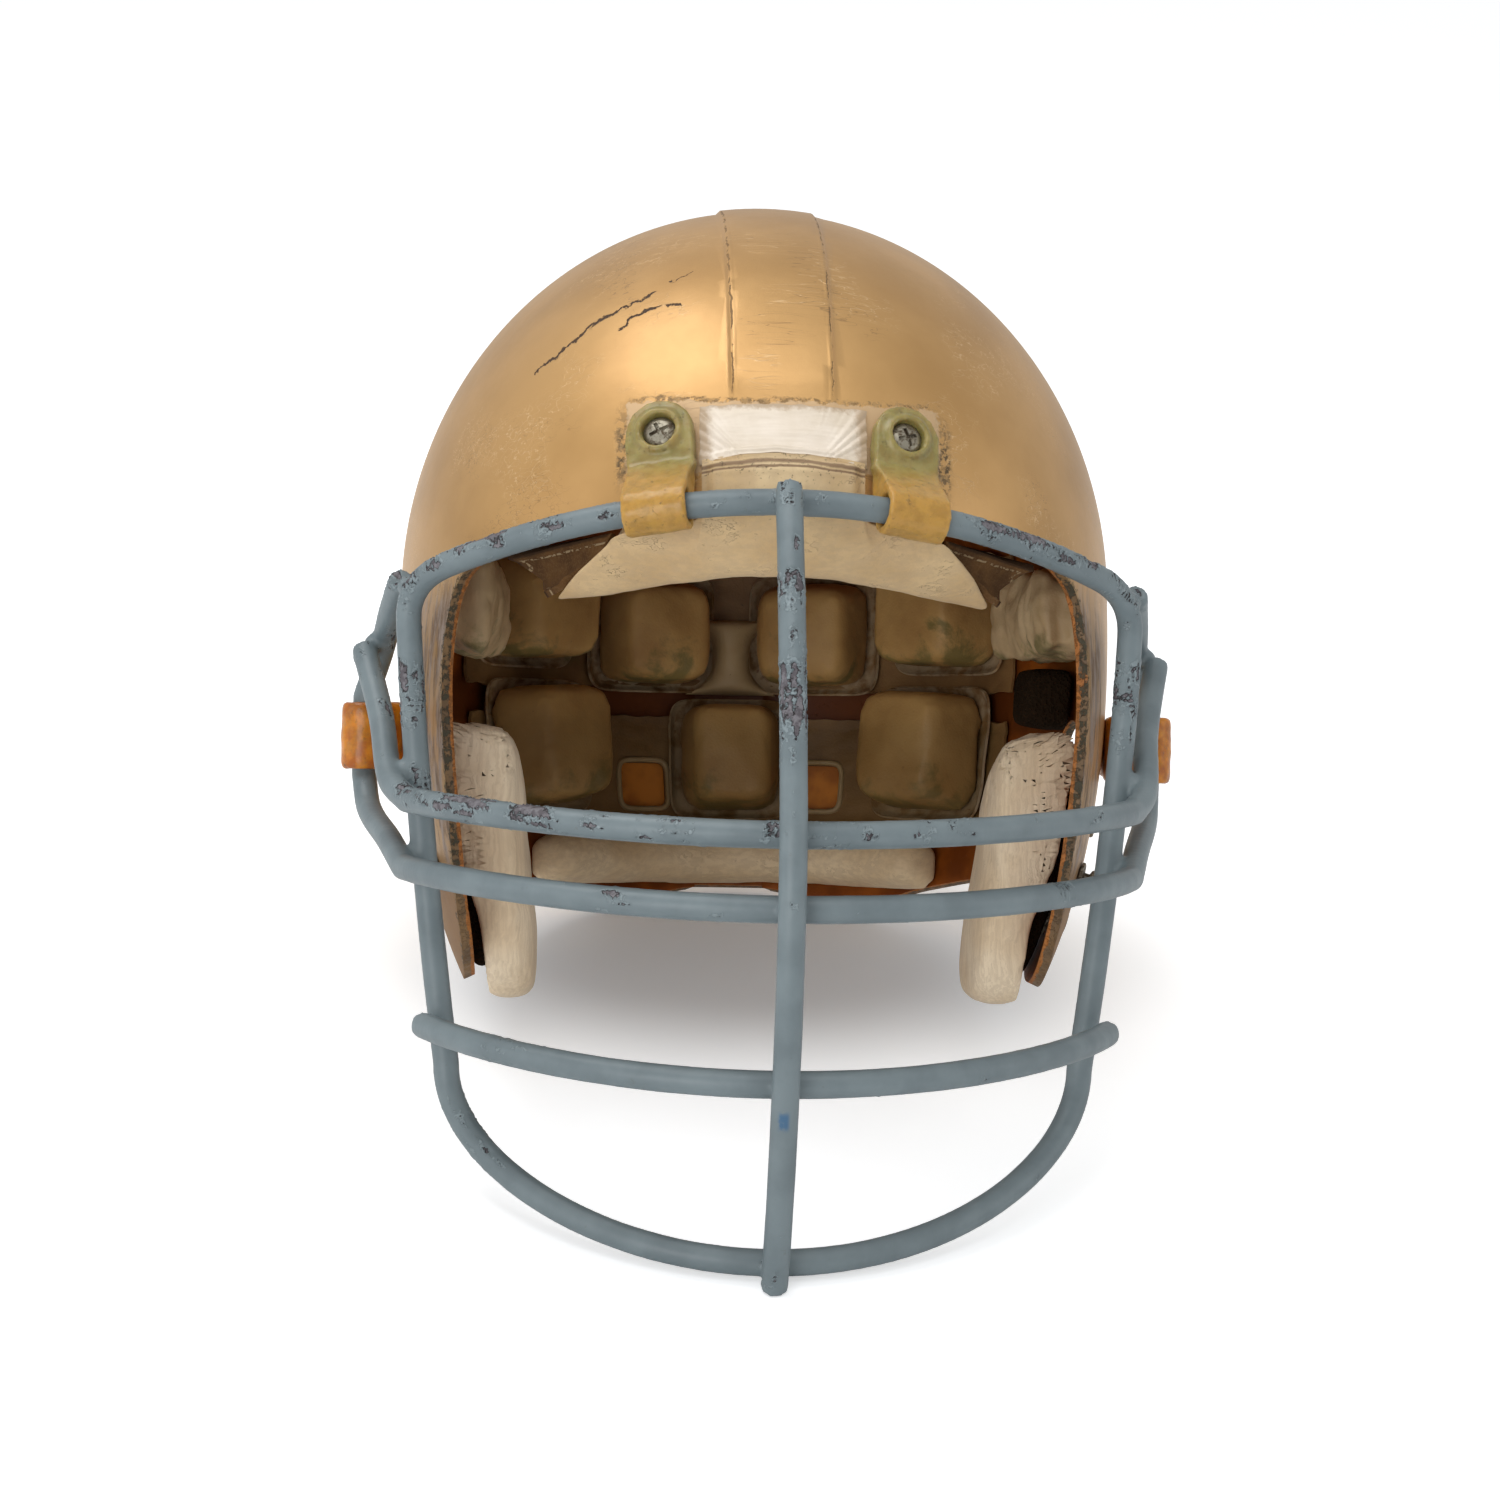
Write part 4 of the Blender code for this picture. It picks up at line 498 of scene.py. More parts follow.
@dataclass(frozen=True)
class DippedWire(Finish):
    """Blue grey vinyl dip with scuffs that are dark at the edge and bare inside, with a raised lip round them that is
    painted pale as a highlight.
    """

    primer: Colour = (0.185, 0.175, 0.190)
    primer_dark: Colour = (0.085, 0.075, 0.085)
    # Painted highlight: the pale colour on the raised lip round each scuff.
    pale: Colour = (0.42, 0.50, 0.53)
    dirt: Colour = (0.12, 0.13, 0.12)
    torn: Colour = (0.028, 0.020, 0.022)
    smudge: Colour = (0.02, 0.11, 0.24)

    def draw(self, shade: Shade) -> Material:
        """Draw the dip.

        Args:
            shade: The material's nodes.

        Returns:
            The material.
        """
        spot = shade.place()
        x, y, z = spot.parts()
        tone, grain = shade.noise(spot, 0.014, 4), shade.noise(spot, 0.0016)
        chip = shade.record("chip") + shade.waver(spot, 0.0022, 0.55, 4, 0.7)
        bare, lip_and_highlight = chip.ramp(0.555, 0.595), abs(chip - 0.45).ramp(0.07, 0.02)
        edge = abs(chip - 0.565).ramp(0.044, 0.016) * shade.noise(spot, 0.0018, 4, 0.7).ramp(0.38, 0.48)
        dirt = shade.noise(spot, 0.004, 5, 0.7).ramp(0.64, 0.72)
        inner = shade.noise(spot, 0.0025, 4, 0.7).ramp(0.40, 0.60).mix(self.primer_dark, self.primer)
        smudge = shade.noise(spot, 0.003, 4).ramp(0.40, 0.56) * abs(z + 0.1560).ramp(0.0036, 0.0012)
        smudge = smudge * abs(x + 0.0005).ramp(0.0022, 0.0008) * y.ramp(-0.160, -0.163)
        # The pale colour on the raised lip round each scuff is a painted highlight.
        base = lip_and_highlight.over(dirt.over(self.ground(tone, 0.3, 0.7), self.dirt, 0.35), self.pale, 0.28)
        base = edge.mix(bare.mix(base, inner), self.torn)
        bump = shade.bump(tone * 0.30 + grain * 0.06 + lip_and_highlight * 0.30 - bare * 0.45 - edge * 0.3, 0.0006)
        return shade.finish(Base_Color=smudge.over(base, self.smudge, 0.8), Normal=bump, Coat_Weight=0.08,
                            Roughness=bare * 0.2 + grain * 0.10 + self.roughness, Coat_Roughness=0.3)


@dataclass(frozen=True)
class StrapVinyl(Finish):
    """Old clear vinyl that has yellowed, more so in its loop."""

    loop: Colour = (0.62, 0.36, 0.07)
    turn_height: float = 0.032
    deep: Colour = (0.24, 0.13, 0.025)
    stain: Colour = (0.10, 0.075, 0.02)

    def draw(self, shade: Shade) -> Material:
        """Draw the vinyl.

        Args:
            shade: The material's nodes.

        Returns:
            The material.
        """
        spot = shade.place()
        clouds = shade.noise(spot, 0.006, 4)
        height = spot.parts()[2] + (clouds - 0.5) * 0.006
        base = height.ramp(self.turn_height + 0.004, self.turn_height - 0.005).mix(self.ground(clouds), self.loop)
        base = shade.noise(spot, 0.004, 5, 0.65).ramp(0.42, 0.66).over(base, self.deep, 0.35)
        stain = shade.noise(spot, 0.0026, 5, 0.7).ramp(0.58, 0.70)
        return shade.finish(Base_Color=stain.over(base, self.stain, 0.6), Roughness=clouds * 0.15 + self.roughness,
                            Normal=shade.bump(clouds + stain * 0.2, 0.0005), Specular_IOR_Level=0.35,
                            Coat_Weight=0.25, Coat_Roughness=0.12, Subsurface_Weight=0.35,
                            Subsurface_Scale=0.006, Subsurface_Radius=(1.0, 0.6, 0.2))


@dataclass(frozen=True)
class Steel(Finish):
    """Plated steel with tarnish and rust in its corners."""

    def draw(self, shade: Shade) -> Material:
        """Draw the steel.

        Args:
            shade: The material's nodes.

        Returns:
            The material.
        """
        spot = shade.place()
        rust = shade.noise(spot, 0.0022, 5, 0.7).ramp(0.46, 0.62)
        brush = shade.noise(spot, 0.0006, 2)
        return shade.finish(Base_Color=rust.mix(self.colour, self.dark), Metallic=0.9 - rust * 0.6,
                            Normal=shade.bump(brush * 0.3 + rust * 0.7, 0.00012),
                            Roughness=rust * 0.3 + brush * 0.1 + self.roughness)


@dataclass(frozen=True)
class Leather(Finish):
    """Cream leather with hair cracks along its grain, pores and handling dirt."""

    grain: tuple = (1.0, 1.0, 0.16)
    hair: float = 0.0016
    soil: float = 0.5
    crack: float = 0.38
    soiled: Colour = (0.40, 0.26, 0.13)
    fibre: Colour = (0.50, 0.35, 0.21)
    split: Colour = (0.22, 0.14, 0.08)
    speck: Colour = (0.20, 0.13, 0.07)
    grime: Colour = (0.09, 0.055, 0.025)

    def draw(self, shade: Shade) -> Material:
        """Draw the leather.

        Args:
            shade: The material's nodes.

        Returns:
            The material.
        """
        spot = shade.place()
        bent = shade.add("ShaderNodeVectorMath", {"operation": "ADD"}, {0: spot, 1: shade.waver(spot, 0.012, 0.006)})
        clouds, pores = shade.noise(spot, 0.022, 5), shade.noise(spot, 0.0008, 2)
        fibre = shade.noise(shade.drawn(bent, self.grain), self.hair, 3, 0.6)
        cracks = abs(fibre - 0.5).ramp(0.010, 0.002) * shade.noise(spot, 0.011, 5, 0.6).ramp(0.50, 0.62) * self.crack
        soil = shade.noise(spot, 0.008, 6, 0.75).ramp(0.56, 0.74) * self.soil
        specks = shade.noise(spot, 0.0017, 4, 0.7).ramp(0.66, 0.72) * self.soil
        base = soil.over(self.ground(clouds, 0.30, 0.70), self.soiled, 0.6)
        base = cracks.mix(fibre.ramp(0.35, 0.65).over(base, self.fibre, 0.32), self.split)
        base = self.tint(shade, spot, specks.over(base, self.speck, 0.22))
        return shade.finish(Base_Color=base, Roughness=pores * 0.12 + self.roughness, Sheen_Weight=0.10,
                            Normal=shade.bump(pores * 0.10 + clouds * 0.4 + fibre * 0.25 - cracks, 0.0005),
                            Sheen_Roughness=0.5)

    def tint(self, shade: Shade, spot: Tap, base: Tap) -> Tap:
        """Return the colour with brow grime: small dark specks near the leather's rolled edge."""
        specks = shade.noise(spot, 0.0014, 5, 0.75).ramp(0.60, 0.68) * spot.parts()[2].ramp(0.008, 0.022)
        return specks.over(base, self.grime, 0.5)


@dataclass(frozen=True)
class LipLeather(Leather):
    """Leather with dark fold lines along its upper edge, painted as shade in the creases."""

    folds: tuple = ((0.0356, 0.0005), (0.0340, 0.0003))
    # Painted shade: the dark colour of the creases.
    fold: Colour = (0.13, 0.060, 0.025)
    grime: Colour = (0.05, 0.035, 0.015)

    def tint(self, shade: Shade, spot: Tap, base: Tap) -> Tap:
        """Return the colour with the folds drawn in as painted crease shade.

        Args:
            shade: The material's nodes.
            spot: The place.
            base: The colour below.

        Returns:
            The tap of the result.
        """
        x, _, z = spot.parts()
        level = z + shade.waver(spot, 0.008, 0.0016, 4, 0.6) + x * x * 4.2
        # Each fold is a dark line of painted shade.
        for height, width in self.folds:
            base = abs(level - height).ramp(width * 2.0, width * 0.6).over(base, self.fold, 0.75)
        specks = shade.noise(spot, 0.0016, 5, 0.75).ramp(0.58, 0.66) * z.ramp(0.026, 0.031)
        return specks.over(base, self.grime, 0.7)


@dataclass(frozen=True)
class Suede(Finish):
    """Brown split leather with nap, rubbed places and a stitched hem."""

    rubbed: Colour = (0.24, 0.135, 0.060)
    cut: Colour = (0.028, 0.013, 0.006)
    thread: Colour = (0.42, 0.30, 0.17)

    def draw(self, shade: Shade) -> Material:
        """Draw the nap.

        Args:
            shade: The material's nodes.

        Returns:
            The material.
        """
        spot = shade.place()
        nap, clouds = shade.noise(spot, 0.0007, 3, 0.7), shade.noise(spot, 0.010, 5)
        hem = shade.record("hem") + shade.waver(spot, 0.004, 0.0006, 2)
        stitch = abs(hem - 0.0026).ramp(0.0005, 0.0002) * shade.noise(spot, 0.0011, 1).ramp(0.46, 0.52)
        base = nap.ramp(0.45, 0.65).over(self.ground(clouds, 0.35, 0.66), self.rubbed, 0.30)
        base = stitch.over(hem.ramp(0.0014, 0.0004).over(base, self.cut, 0.8), self.thread, 0.8)
        return shade.finish(Base_Color=base, Roughness=nap * 0.1 + self.roughness, Specular_IOR_Level=0.2,
                            Normal=shade.bump(nap * 0.5 + clouds * 0.5 + stitch * 0.5, 0.0005))


@dataclass(frozen=True)
class PadVinyl(Finish):
    """Heat formed vinyl of the liner, tan, with green and brown stains."""

    stain: Colour = (0.115, 0.120, 0.035)
    pale: Colour = (0.62, 0.50, 0.33)
    shadow: Colour = (0.125, 0.070, 0.018)
    speck: Colour = (0.06, 0.045, 0.02)
    spread: float = 0.5

    def draw(self, shade: Shade) -> Material:
        """Draw the vinyl.

        Args:
            shade: The material's nodes.

        Returns:
            The material.
        """
        spot = shade.place()
        clouds, grain = shade.noise(spot, 0.030, 5), shade.noise(spot, 0.0009)
        patch = shade.noise(spot, 0.020, 6, 0.65, 0.4) + shade.record("low") * 0.20
        patch = patch.ramp(0.70 - 0.12 * self.spread, 0.84 - 0.1 * self.spread)
        worn = shade.record("crest") * shade.noise(spot, 0.008, 4, 0.6).ramp(0.35, 0.60)
        specks = shade.noise(spot, 0.0030, 5, 0.75).ramp(0.66, 0.72)
        base = patch.over(self.ground(clouds, 0.30, 0.70), self.stain, 0.70)
        base = specks.over(worn.over(base, self.pale, 0.45), self.speck, 0.6)
        base = spot.parts()[2].ramp(-0.026, -0.048).over(base, self.shadow, 0.52)
        return shade.finish(Base_Color=base, Roughness=grain * 0.15 + self.roughness, Specular_IOR_Level=0.30,
                            Normal=shade.bump(grain * 0.25 + clouds * 0.75, 0.0005))


@dataclass(frozen=True)
class Foam(Finish):
    """Open foam with visible pores."""

    pore: float = 0.0012

    def draw(self, shade: Shade) -> Material:
        """Draw the pores.

        Args:
            shade: The material's nodes.

        Returns:
            The material.
        """
        spot = shade.place()
        pores = shade.pores(spot, self.pore).ramp(0.25, 0.75)
        clouds = shade.noise(spot, 0.015, 3)
        base = (pores * 0.35 + clouds * 0.65).mix(self.dark, self.colour)
        return shade.finish(Base_Color=base, Roughness=pores * 0.08 + self.roughness, Specular_IOR_Level=0.05,
                            Normal=shade.bump(pores, 0.0003))


@dataclass(frozen=True)
class StripFilm(Finish):
    """White printed film that has gone cream, with soiled and peeled edges."""

    half_width: float = 0.0250
    middle: float = 0.04375
    half_height: float = 0.00925
    soiled: Colour = (0.40, 0.26, 0.13)

    def draw(self, shade: Shade) -> Material:
        """Draw the film.

        Args:
            shade: The material's nodes.

        Returns:
            The material.
        """
        spot = shade.place()
        x, _, z = spot.parts()
        clouds = shade.noise(spot, 0.012, 4)
        waver = shade.waver(spot, 0.004, 0.006, 5, 0.7)
        near_end = (abs(x) + waver).ramp(self.half_width - 0.0045, self.half_width - 0.001)
        near_edge = (abs(z - self.middle) + waver).ramp(self.half_height - 0.0022, self.half_height)
        base = near_end.most(near_edge).over(self.ground(clouds, 0.3, 0.7), self.soiled, 0.75)
        creases = shade.streaks(spot, (0.0, 0.5, 0.0), 0.030, 0.0035)
        return shade.finish(Base_Color=base, Roughness=clouds * 0.12 + self.roughness, Coat_Weight=0.5,
                            Normal=shade.bump(creases, 0.0006), Coat_Roughness=0.12)


SCUFFS = (
    (-0.1035, 0.0100, 0.013, 0.80), (-0.0910, 0.0141, 0.013, 0.75), (-0.0728, 0.0166, 0.015, 0.70),
    (-0.0520, 0.0193, 0.007, 0.50), (-0.0213, 0.0221, 0.005, 0.62), (-0.0134, 0.0222, 0.004, 0.50),
    (0.0097, 0.0222, 0.004, 0.62), (0.0247, 0.0213, 0.004, 0.40), (0.0611, 0.0178, 0.011, 0.72),
    (0.0763, 0.0128, 0.011, 0.85), (0.0921, 0.0093, 0.012, 0.80), (0.1090, 0.0013, 0.010, 0.62),
    (0.0002, 0.0234, 0.007, 0.66), (0.0, 0.0083, 0.004, 0.62), (0.0003, -0.0051, 0.009, 0.90),
    (0.0008, -0.0197, 0.006, 0.55), (0.0005, -0.0369, 0.017, 0.92), (-0.0024, -0.0520, 0.006, 0.60),
    (-0.0051, -0.0735, 0.004, 0.60), (0.0001, -0.0943, 0.0025, 0.85), (-0.0025, -0.2033, 0.006, 0.55),
    (-0.1155, -0.0020, 0.009, 0.75), (-0.1159, -0.0129, 0.009, 0.55), (-0.1145, -0.0347, 0.013, 0.90),
    (-0.1137, -0.0440, 0.006, 0.70), (0.1130, -0.0017, 0.010, 0.50), (0.1127, -0.0302, 0.014, 0.82),
    (0.1120, -0.0459, 0.008, 0.60), (-0.1083, -0.0655, 0.010, 0.70), (-0.0930, -0.0676, 0.014, 0.95),
    (-0.0737, -0.0703, 0.013, 0.85), (-0.0537, -0.0742, 0.008, 0.62), (-0.0341, -0.0747, 0.010, 0.70),
    (-0.0063, -0.0769, 0.004, 0.55), (0.0214, -0.0745, 0.004, 0.62), (0.0380, -0.0735, 0.005, 0.66),
    (0.0505, -0.0730, 0.007, 0.66), (0.0940, -0.0691, 0.005, 0.60), (-0.0499, -0.0960, 0.006, 0.70),
    (-0.0646, -0.0934, 0.005, 0.45), (0.0202, -0.0970, 0.003, 0.45), (-0.0725, -0.1400, 0.007, 0.52),
    (0.0594, -0.1466, 0.003, 0.75), (-0.1240, -0.0250, 0.010, 0.50), (0.1250, -0.0300, 0.010, 0.45),
)

CRACKS = (
    ((-0.0757, 0.0662, 0.0006), (-0.0710, 0.0702, 0.0008), (-0.0642, 0.0762, 0.0009), (-0.0586, 0.0807, 0.0010),
     (-0.0537, 0.0838, 0.0008), (-0.0474, 0.0877, 0.0006), (-0.0425, 0.0895, 0.0007), (-0.0381, 0.0922, 0.0005)),
    ((-0.0499, 0.0794, 0.0007), (-0.0462, 0.0828, 0.0008), (-0.0400, 0.0860, 0.0008), (-0.0308, 0.0873, 0.0005)),
    ((-0.0337, 0.0958, 0.0004), (-0.0268, 0.0997, 0.0004)),
)

GOLD = GoldPaint("worn_gold_paint", (0.655, 0.385, 0.145), (0.525, 0.295, 0.100), 0.345, cracks=CRACKS)
SHELL_INNER = Amber("amber_shell_inside", (0.36, 0.095, 0.009), (0.17, 0.038, 0.004), 0.40)
SHELL_RIM = WornRim("worn_painted_rim", (0.255, 0.145, 0.058), (0.155, 0.088, 0.038), 0.50)
DIP = DippedWire("scuffed_grey_dip", (0.185, 0.230, 0.246), (0.145, 0.183, 0.198), 0.38)
CLEAR = StrapVinyl("yellowed_clear_vinyl", (0.36, 0.29, 0.10), (0.26, 0.22, 0.070), 0.25, (0.52, 0.29, 0.060))
AMBER = StrapVinyl("amber_vinyl", (0.66, 0.235, 0.010), (0.38, 0.10, 0.005), 0.24, (0.66, 0.235, 0.010), -0.2)
TARNISHED = Steel("tarnished_steel", (0.36, 0.33, 0.26), (0.10, 0.07, 0.04), 0.34)
SNAP_METAL = Steel("dull_snap_metal", (0.30, 0.26, 0.20), (0.09, 0.06, 0.035), 0.40)
CREAM = Leather("cream_leather", (0.74, 0.53, 0.28), (0.60, 0.40, 0.19), 0.50, (0.5, 1.0, 1.0), 0.0019, 0.45)
LIP = LipLeather("folded_brow_leather", (0.74, 0.56, 0.32), (0.60, 0.42, 0.21), 0.55, (0.7, 1.0, 0.7), 0.0035, 0.7)
PAD_CREAM = Leather("creased_pad_leather", (0.93, 0.77, 0.56), (0.80, 0.62, 0.41), 0.62, (1.0, 1.0, 0.05), 0.0011,
                    soil=0.30, crack=0.10)
NECK_CREAM = Leather("smooth_neck_leather", (0.86, 0.68, 0.44), (0.72, 0.53, 0.31), 0.52, (0.5, 1.0, 1.0), 0.0019,
                     soil=0.35, crack=0.20)
SUEDE = Suede("brown_suede", (0.150, 0.072, 0.024), (0.085, 0.040, 0.014), 0.85)
CELL_VINYL = PadVinyl("stained_cell_vinyl", (0.62, 0.375, 0.135), (0.42, 0.230, 0.076), 0.42, spread=0.9)
# A darker copy of the cell vinyl: painted shade on the sheets and trays between and behind the cells, over their
# stains.
SHADED_SHEET_VINYL = PadVinyl("stained_sheet_vinyl", (0.30, 0.165, 0.062), (0.14, 0.068, 0.024), 0.44, spread=0.8)
BONE_VINYL = PadVinyl("bone_vinyl", (0.62, 0.455, 0.255), (0.42, 0.290, 0.140), 0.38, spread=0.2)
TEMPLE_VINYL = PadVinyl("crumpled_cream_vinyl", (0.80, 0.60, 0.350), (0.52, 0.36, 0.185), 0.40, spread=0.55)
BLACK_FOAM = Foam("dark_foam_rubber", (0.034, 0.020, 0.011), (0.014, 0.009, 0.005), 0.92)
STRIP = StripFilm("blank_cream_film", (0.86, 0.755, 0.63), (0.74, 0.63, 0.49), 0.30)


# ------------------------------------------------------------------ modelling steps


class Bench:
    """Modelling steps that act on one object at a time."""

    @staticmethod
    def alone(piece: Piece) -> None:
        """Make a piece the only selected object.

        Args:
            piece: The piece.
        """
        bpy.ops.object.select_all(action="DESELECT")
        piece.select_set(True)
        bpy.context.view_layer.objects.active = piece

    @staticmethod
    def add(operator: Callable[..., object], name: str = "", **settings: object) -> Piece:
        """Add a primitive with nothing else selected, and name it.

        Args:
            operator: The operator that adds it.
            name: Its name.
            settings: What Blender's operator or modifier is given.

        Returns:
            The piece.
        """
        bpy.ops.object.select_all(action="DESELECT")
        operator(**settings)
        piece = bpy.context.object
        piece.name = name or piece.name
        return piece

    @staticmethod
    def edit(piece: Piece, *steps: Callable[[], object]) -> None:
        """Run edit mode steps on the whole of a piece.

        Args:
            piece: The piece.
            steps: What to run, each with the whole piece selected.
        """
        Bench.alone(piece)
        bpy.ops.object.mode_set(mode="EDIT")
        for step in steps:
            bpy.ops.mesh.select_all(action="SELECT")
            step()
        bpy.ops.object.mode_set(mode="OBJECT")

    @staticmethod
    def weld(piece: Piece, distance: float = 0.000002) -> None:
        """Join vertices that coincide and turn all faces outward."""
        Bench.edit(piece, lambda: bpy.ops.mesh.remove_doubles(threshold=distance),
                   lambda: bpy.ops.mesh.normals_make_consistent(inside=False))

    @staticmethod
    def modify(piece: Piece, kind: str, **settings: object) -> None:
        """Add a modifier, set it and apply it.

        Args:
            piece: The piece.
            kind: Blender's name of the modifier.
            settings: What Blender's operator or modifier is given.
        """
        Bench.alone(piece)
        modifier = piece.modifiers.new(kind.lower(), kind)
        for key, value in settings.items():
            setattr(modifier, key, value)
        bpy.ops.object.modifier_apply(modifier=modifier.name)

    @staticmethod
    def subdivide(piece: Piece, levels: int) -> None:
        """Smooth a piece with applied subdivision."""
        Bench.modify(piece, "SUBSURF", levels=levels, render_levels=levels)

    @staticmethod
    def thicken(piece: Piece, thickness: float, **settings: object) -> None:
        """Give a sheet its thickness, half of it on each side unless the settings say otherwise."""
        Bench.modify(piece, "SOLIDIFY", thickness=thickness, **{"offset": 0, **settings})

    @staticmethod
    def remesh(piece: Piece, voxel: float, iterations: int = 0, factor: float = 0.5) -> None:
        """Give a piece even faces, which merges what overlaps, and smooth them.

        Args:
            piece: The piece.
            voxel: Size of its faces.
            iterations: How often it is smoothed.
            factor: How strongly each time.
        """
        Bench.modify(piece, "REMESH", mode="VOXEL", voxel_size=voxel)
        if iterations:
            Bench.modify(piece, "SMOOTH", factor=factor, iterations=iterations)

    @staticmethod
    def soften(piece: Piece, width: float, degrees: float) -> None:
        """Round the edges that turn by more than an angle."""
        Bench.modify(piece, "BEVEL", width=width, segments=2, limit_method="ANGLE", angle_limit=math.radians(degrees))

    @staticmethod
    def cut(piece: Piece, tool: Piece) -> None:
        """Cut with a tool, which is then removed."""
        Bench.modify(piece, "BOOLEAN", object=tool, operation="DIFFERENCE", solver="EXACT")
        bpy.data.objects.remove(tool, do_unlink=True)

    @staticmethod
    def grid(name: str, columns: int, rows: int, place: Place, thickness: float = 0.0) -> Piece:
        """Add a grid, lay each vertex at its place, weld what meets and thicken it.

        Args:
            name: Its name.
            columns: Faces across.
            rows: Faces along.
            place: The place of each share across and along.
            thickness: How thick the sheet gets.

        Returns:
            The piece.
        """
        piece = Bench.add(bpy.ops.mesh.primitive_grid_add, name, x_subdivisions=columns, y_subdivisions=rows, size=1)
        for vertex in piece.data.vertices:
            vertex.co = place(round(vertex.co.x + 0.5, 6), round(vertex.co.y + 0.5, 6))
        Bench.weld(piece)
        if thickness:
            Bench.thicken(piece, thickness)
        return piece

    @staticmethod
    def lathe(name: str, profile: Sequence[tuple[float, float]], sides: int = 40) -> Piece:
        """Turn (radius, height) pairs about Z: a circle that is extruded up and scaled, step by step.

        Args:
            name: Its name.
            profile: The pairs, from one end to the other.
            sides: Faces around.

        Returns:
            The piece.
        """
        radius, height = profile[0]
        piece = Bench.add(bpy.ops.mesh.primitive_circle_add, name, vertices=sides, radius=radius, fill_type="NGON",
                          location=(0, 0, height))
        bpy.ops.object.transform_apply(location=True, rotation=False, scale=False)
        bpy.ops.object.mode_set(mode="EDIT")
        bpy.ops.mesh.select_all(action="SELECT")
        for (radius, height), (wide, high) in pairwise(profile):
            bpy.ops.mesh.extrude_region_move(TRANSFORM_OT_translate={"value": (0, 0, high - height)})
            bpy.ops.transform.resize(value=(wide / radius, wide / radius, 1), center_override=(0, 0, high))
        bpy.ops.object.mode_set(mode="OBJECT")
        Bench.weld(piece)
        return piece

    @staticmethod
    def tube(name: str, points: Sequence[Vector], radius: float, closed: bool, sides: int,
             swell: Callable[[Vector], float] = lambda point: 1.0) -> Piece:
        """Add a round tube along points, as a mesh.

        Args:
            name: Its name.
            points: The middle line.
            radius: Its radius.
            closed: Whether the ends meet.
            sides: Faces around.
            swell: Its share of the radius at each point.

        Returns:
            The piece.
        """
        curve = bpy.data.curves.new(name, "CURVE")
        curve.dimensions = "3D"
        curve.bevel_depth = radius
        curve.bevel_resolution = sides
        curve.use_fill_caps = not closed
        spline = curve.splines.new("POLY")
        spline.points.add(len(points) - 1)
        for knot, point in zip(spline.points, points):
            knot.co = (*point, 1)
            knot.radius = swell(point)
        spline.use_cyclic_u = closed
        piece = bpy.data.objects.new(name, curve)
        bpy.context.scene.collection.objects.link(piece)
        Bench.alone(piece)
        bpy.ops.object.convert(target="MESH")
        return bpy.context.object

    @staticmethod
    def copy(name: str, source: Piece) -> Piece:
        """Copy an object with a mesh of its own.

        Args:
            name: Its name.
            source: The object to copy.

        Returns:
            The piece.
        """
        piece = bpy.data.objects.new(name, source.data.copy())
        bpy.context.scene.collection.objects.link(piece)
        piece.data.materials.clear()
        return piece

    @staticmethod
    def packed(name: str, node: str) -> Piece:
        """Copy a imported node, lay the copy level and merge its vertices.

        Args:
            name: Its name.
            node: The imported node.

        Returns:
            The piece.
        """
        piece = Bench.copy(name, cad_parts[node])
        piece.data.transform(HELMET.inverted())
        Bench.weld(piece, 0.00002)
        return piece

    @staticmethod
    def join(pieces: Sequence[Piece]) -> Piece:
        """Join pieces into the first.

        Args:
            pieces: The pieces.

        Returns:
            The piece.
        """
        Bench.alone(pieces[0])
        for piece in pieces[1:]:
            piece.select_set(True)
        bpy.ops.object.join()
        return bpy.context.object

    @staticmethod
    def span(piece: Piece, axis: int) -> tuple[float, float]:
        """Return the lowest and the highest number that a piece's vertices have on an axis."""
        numbers = [vertex.co[axis] for vertex in piece.data.vertices]
        return min(numbers), max(numbers)

    @staticmethod
    def move(piece: Piece, moves: Sequence[float]) -> None:
        """Move each vertex along its normal.

        Args:
            piece: The piece.
            moves: How far each vertex goes.
        """
        spots = [vertex.co + vertex.normal * move for vertex, move in zip(piece.data.vertices, moves)]
        for vertex, spot in zip(piece.data.vertices, spots):
            vertex.co = spot

    @staticmethod
    def push(piece: Piece, height: Height) -> None:
        """Move each vertex along its normal by a height that its place and normal give."""
        Bench.move(piece, [height(vertex.co, vertex.normal) for vertex in piece.data.vertices])

    @staticmethod
    def store(piece: Piece, name: str, values: Sequence[float]) -> None:
        """Store a number on each vertex for the material to read."""
        piece.data.attributes.new(name, "FLOAT", "POINT").data.foreach_set("value", values)

    @staticmethod
    def mark(piece: Piece, name: str, value: Height) -> None:
        """Store a number that each vertex's place and normal give."""
        Bench.store(piece, name, [value(vertex.co, vertex.normal) for vertex in piece.data.vertices])

    @staticmethod
    def done(piece: Piece, slot: Slot, *finishes: Finish, nodes: Sequence[str] = (), padded: float | None = None,
             sharp: float = 50, body: Body = Body.HELMET) -> None:
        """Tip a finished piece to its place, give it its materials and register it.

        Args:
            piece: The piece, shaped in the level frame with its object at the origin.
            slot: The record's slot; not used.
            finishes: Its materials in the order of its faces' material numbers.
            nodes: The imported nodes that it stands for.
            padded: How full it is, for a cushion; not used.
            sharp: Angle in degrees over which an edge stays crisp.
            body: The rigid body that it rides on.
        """
        piece.data.transform(HELMET)
        numbers = [face.material_index for face in piece.data.polygons]
        piece.data.materials.clear()
        for finish in finishes:
            piece.data.materials.append(finish.material())
        piece.data.polygons.foreach_set("material_index", [min(k, len(finishes) - 1) for k in numbers])
        Bench.alone(piece)
        bpy.ops.object.shade_smooth_by_angle(angle=math.radians(sharp))
        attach(piece, body.value)
        if nodes:
            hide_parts(*nodes)
        LOG.info("%s: %d faces on %s", piece.name, len(piece.data.polygons), body.value)


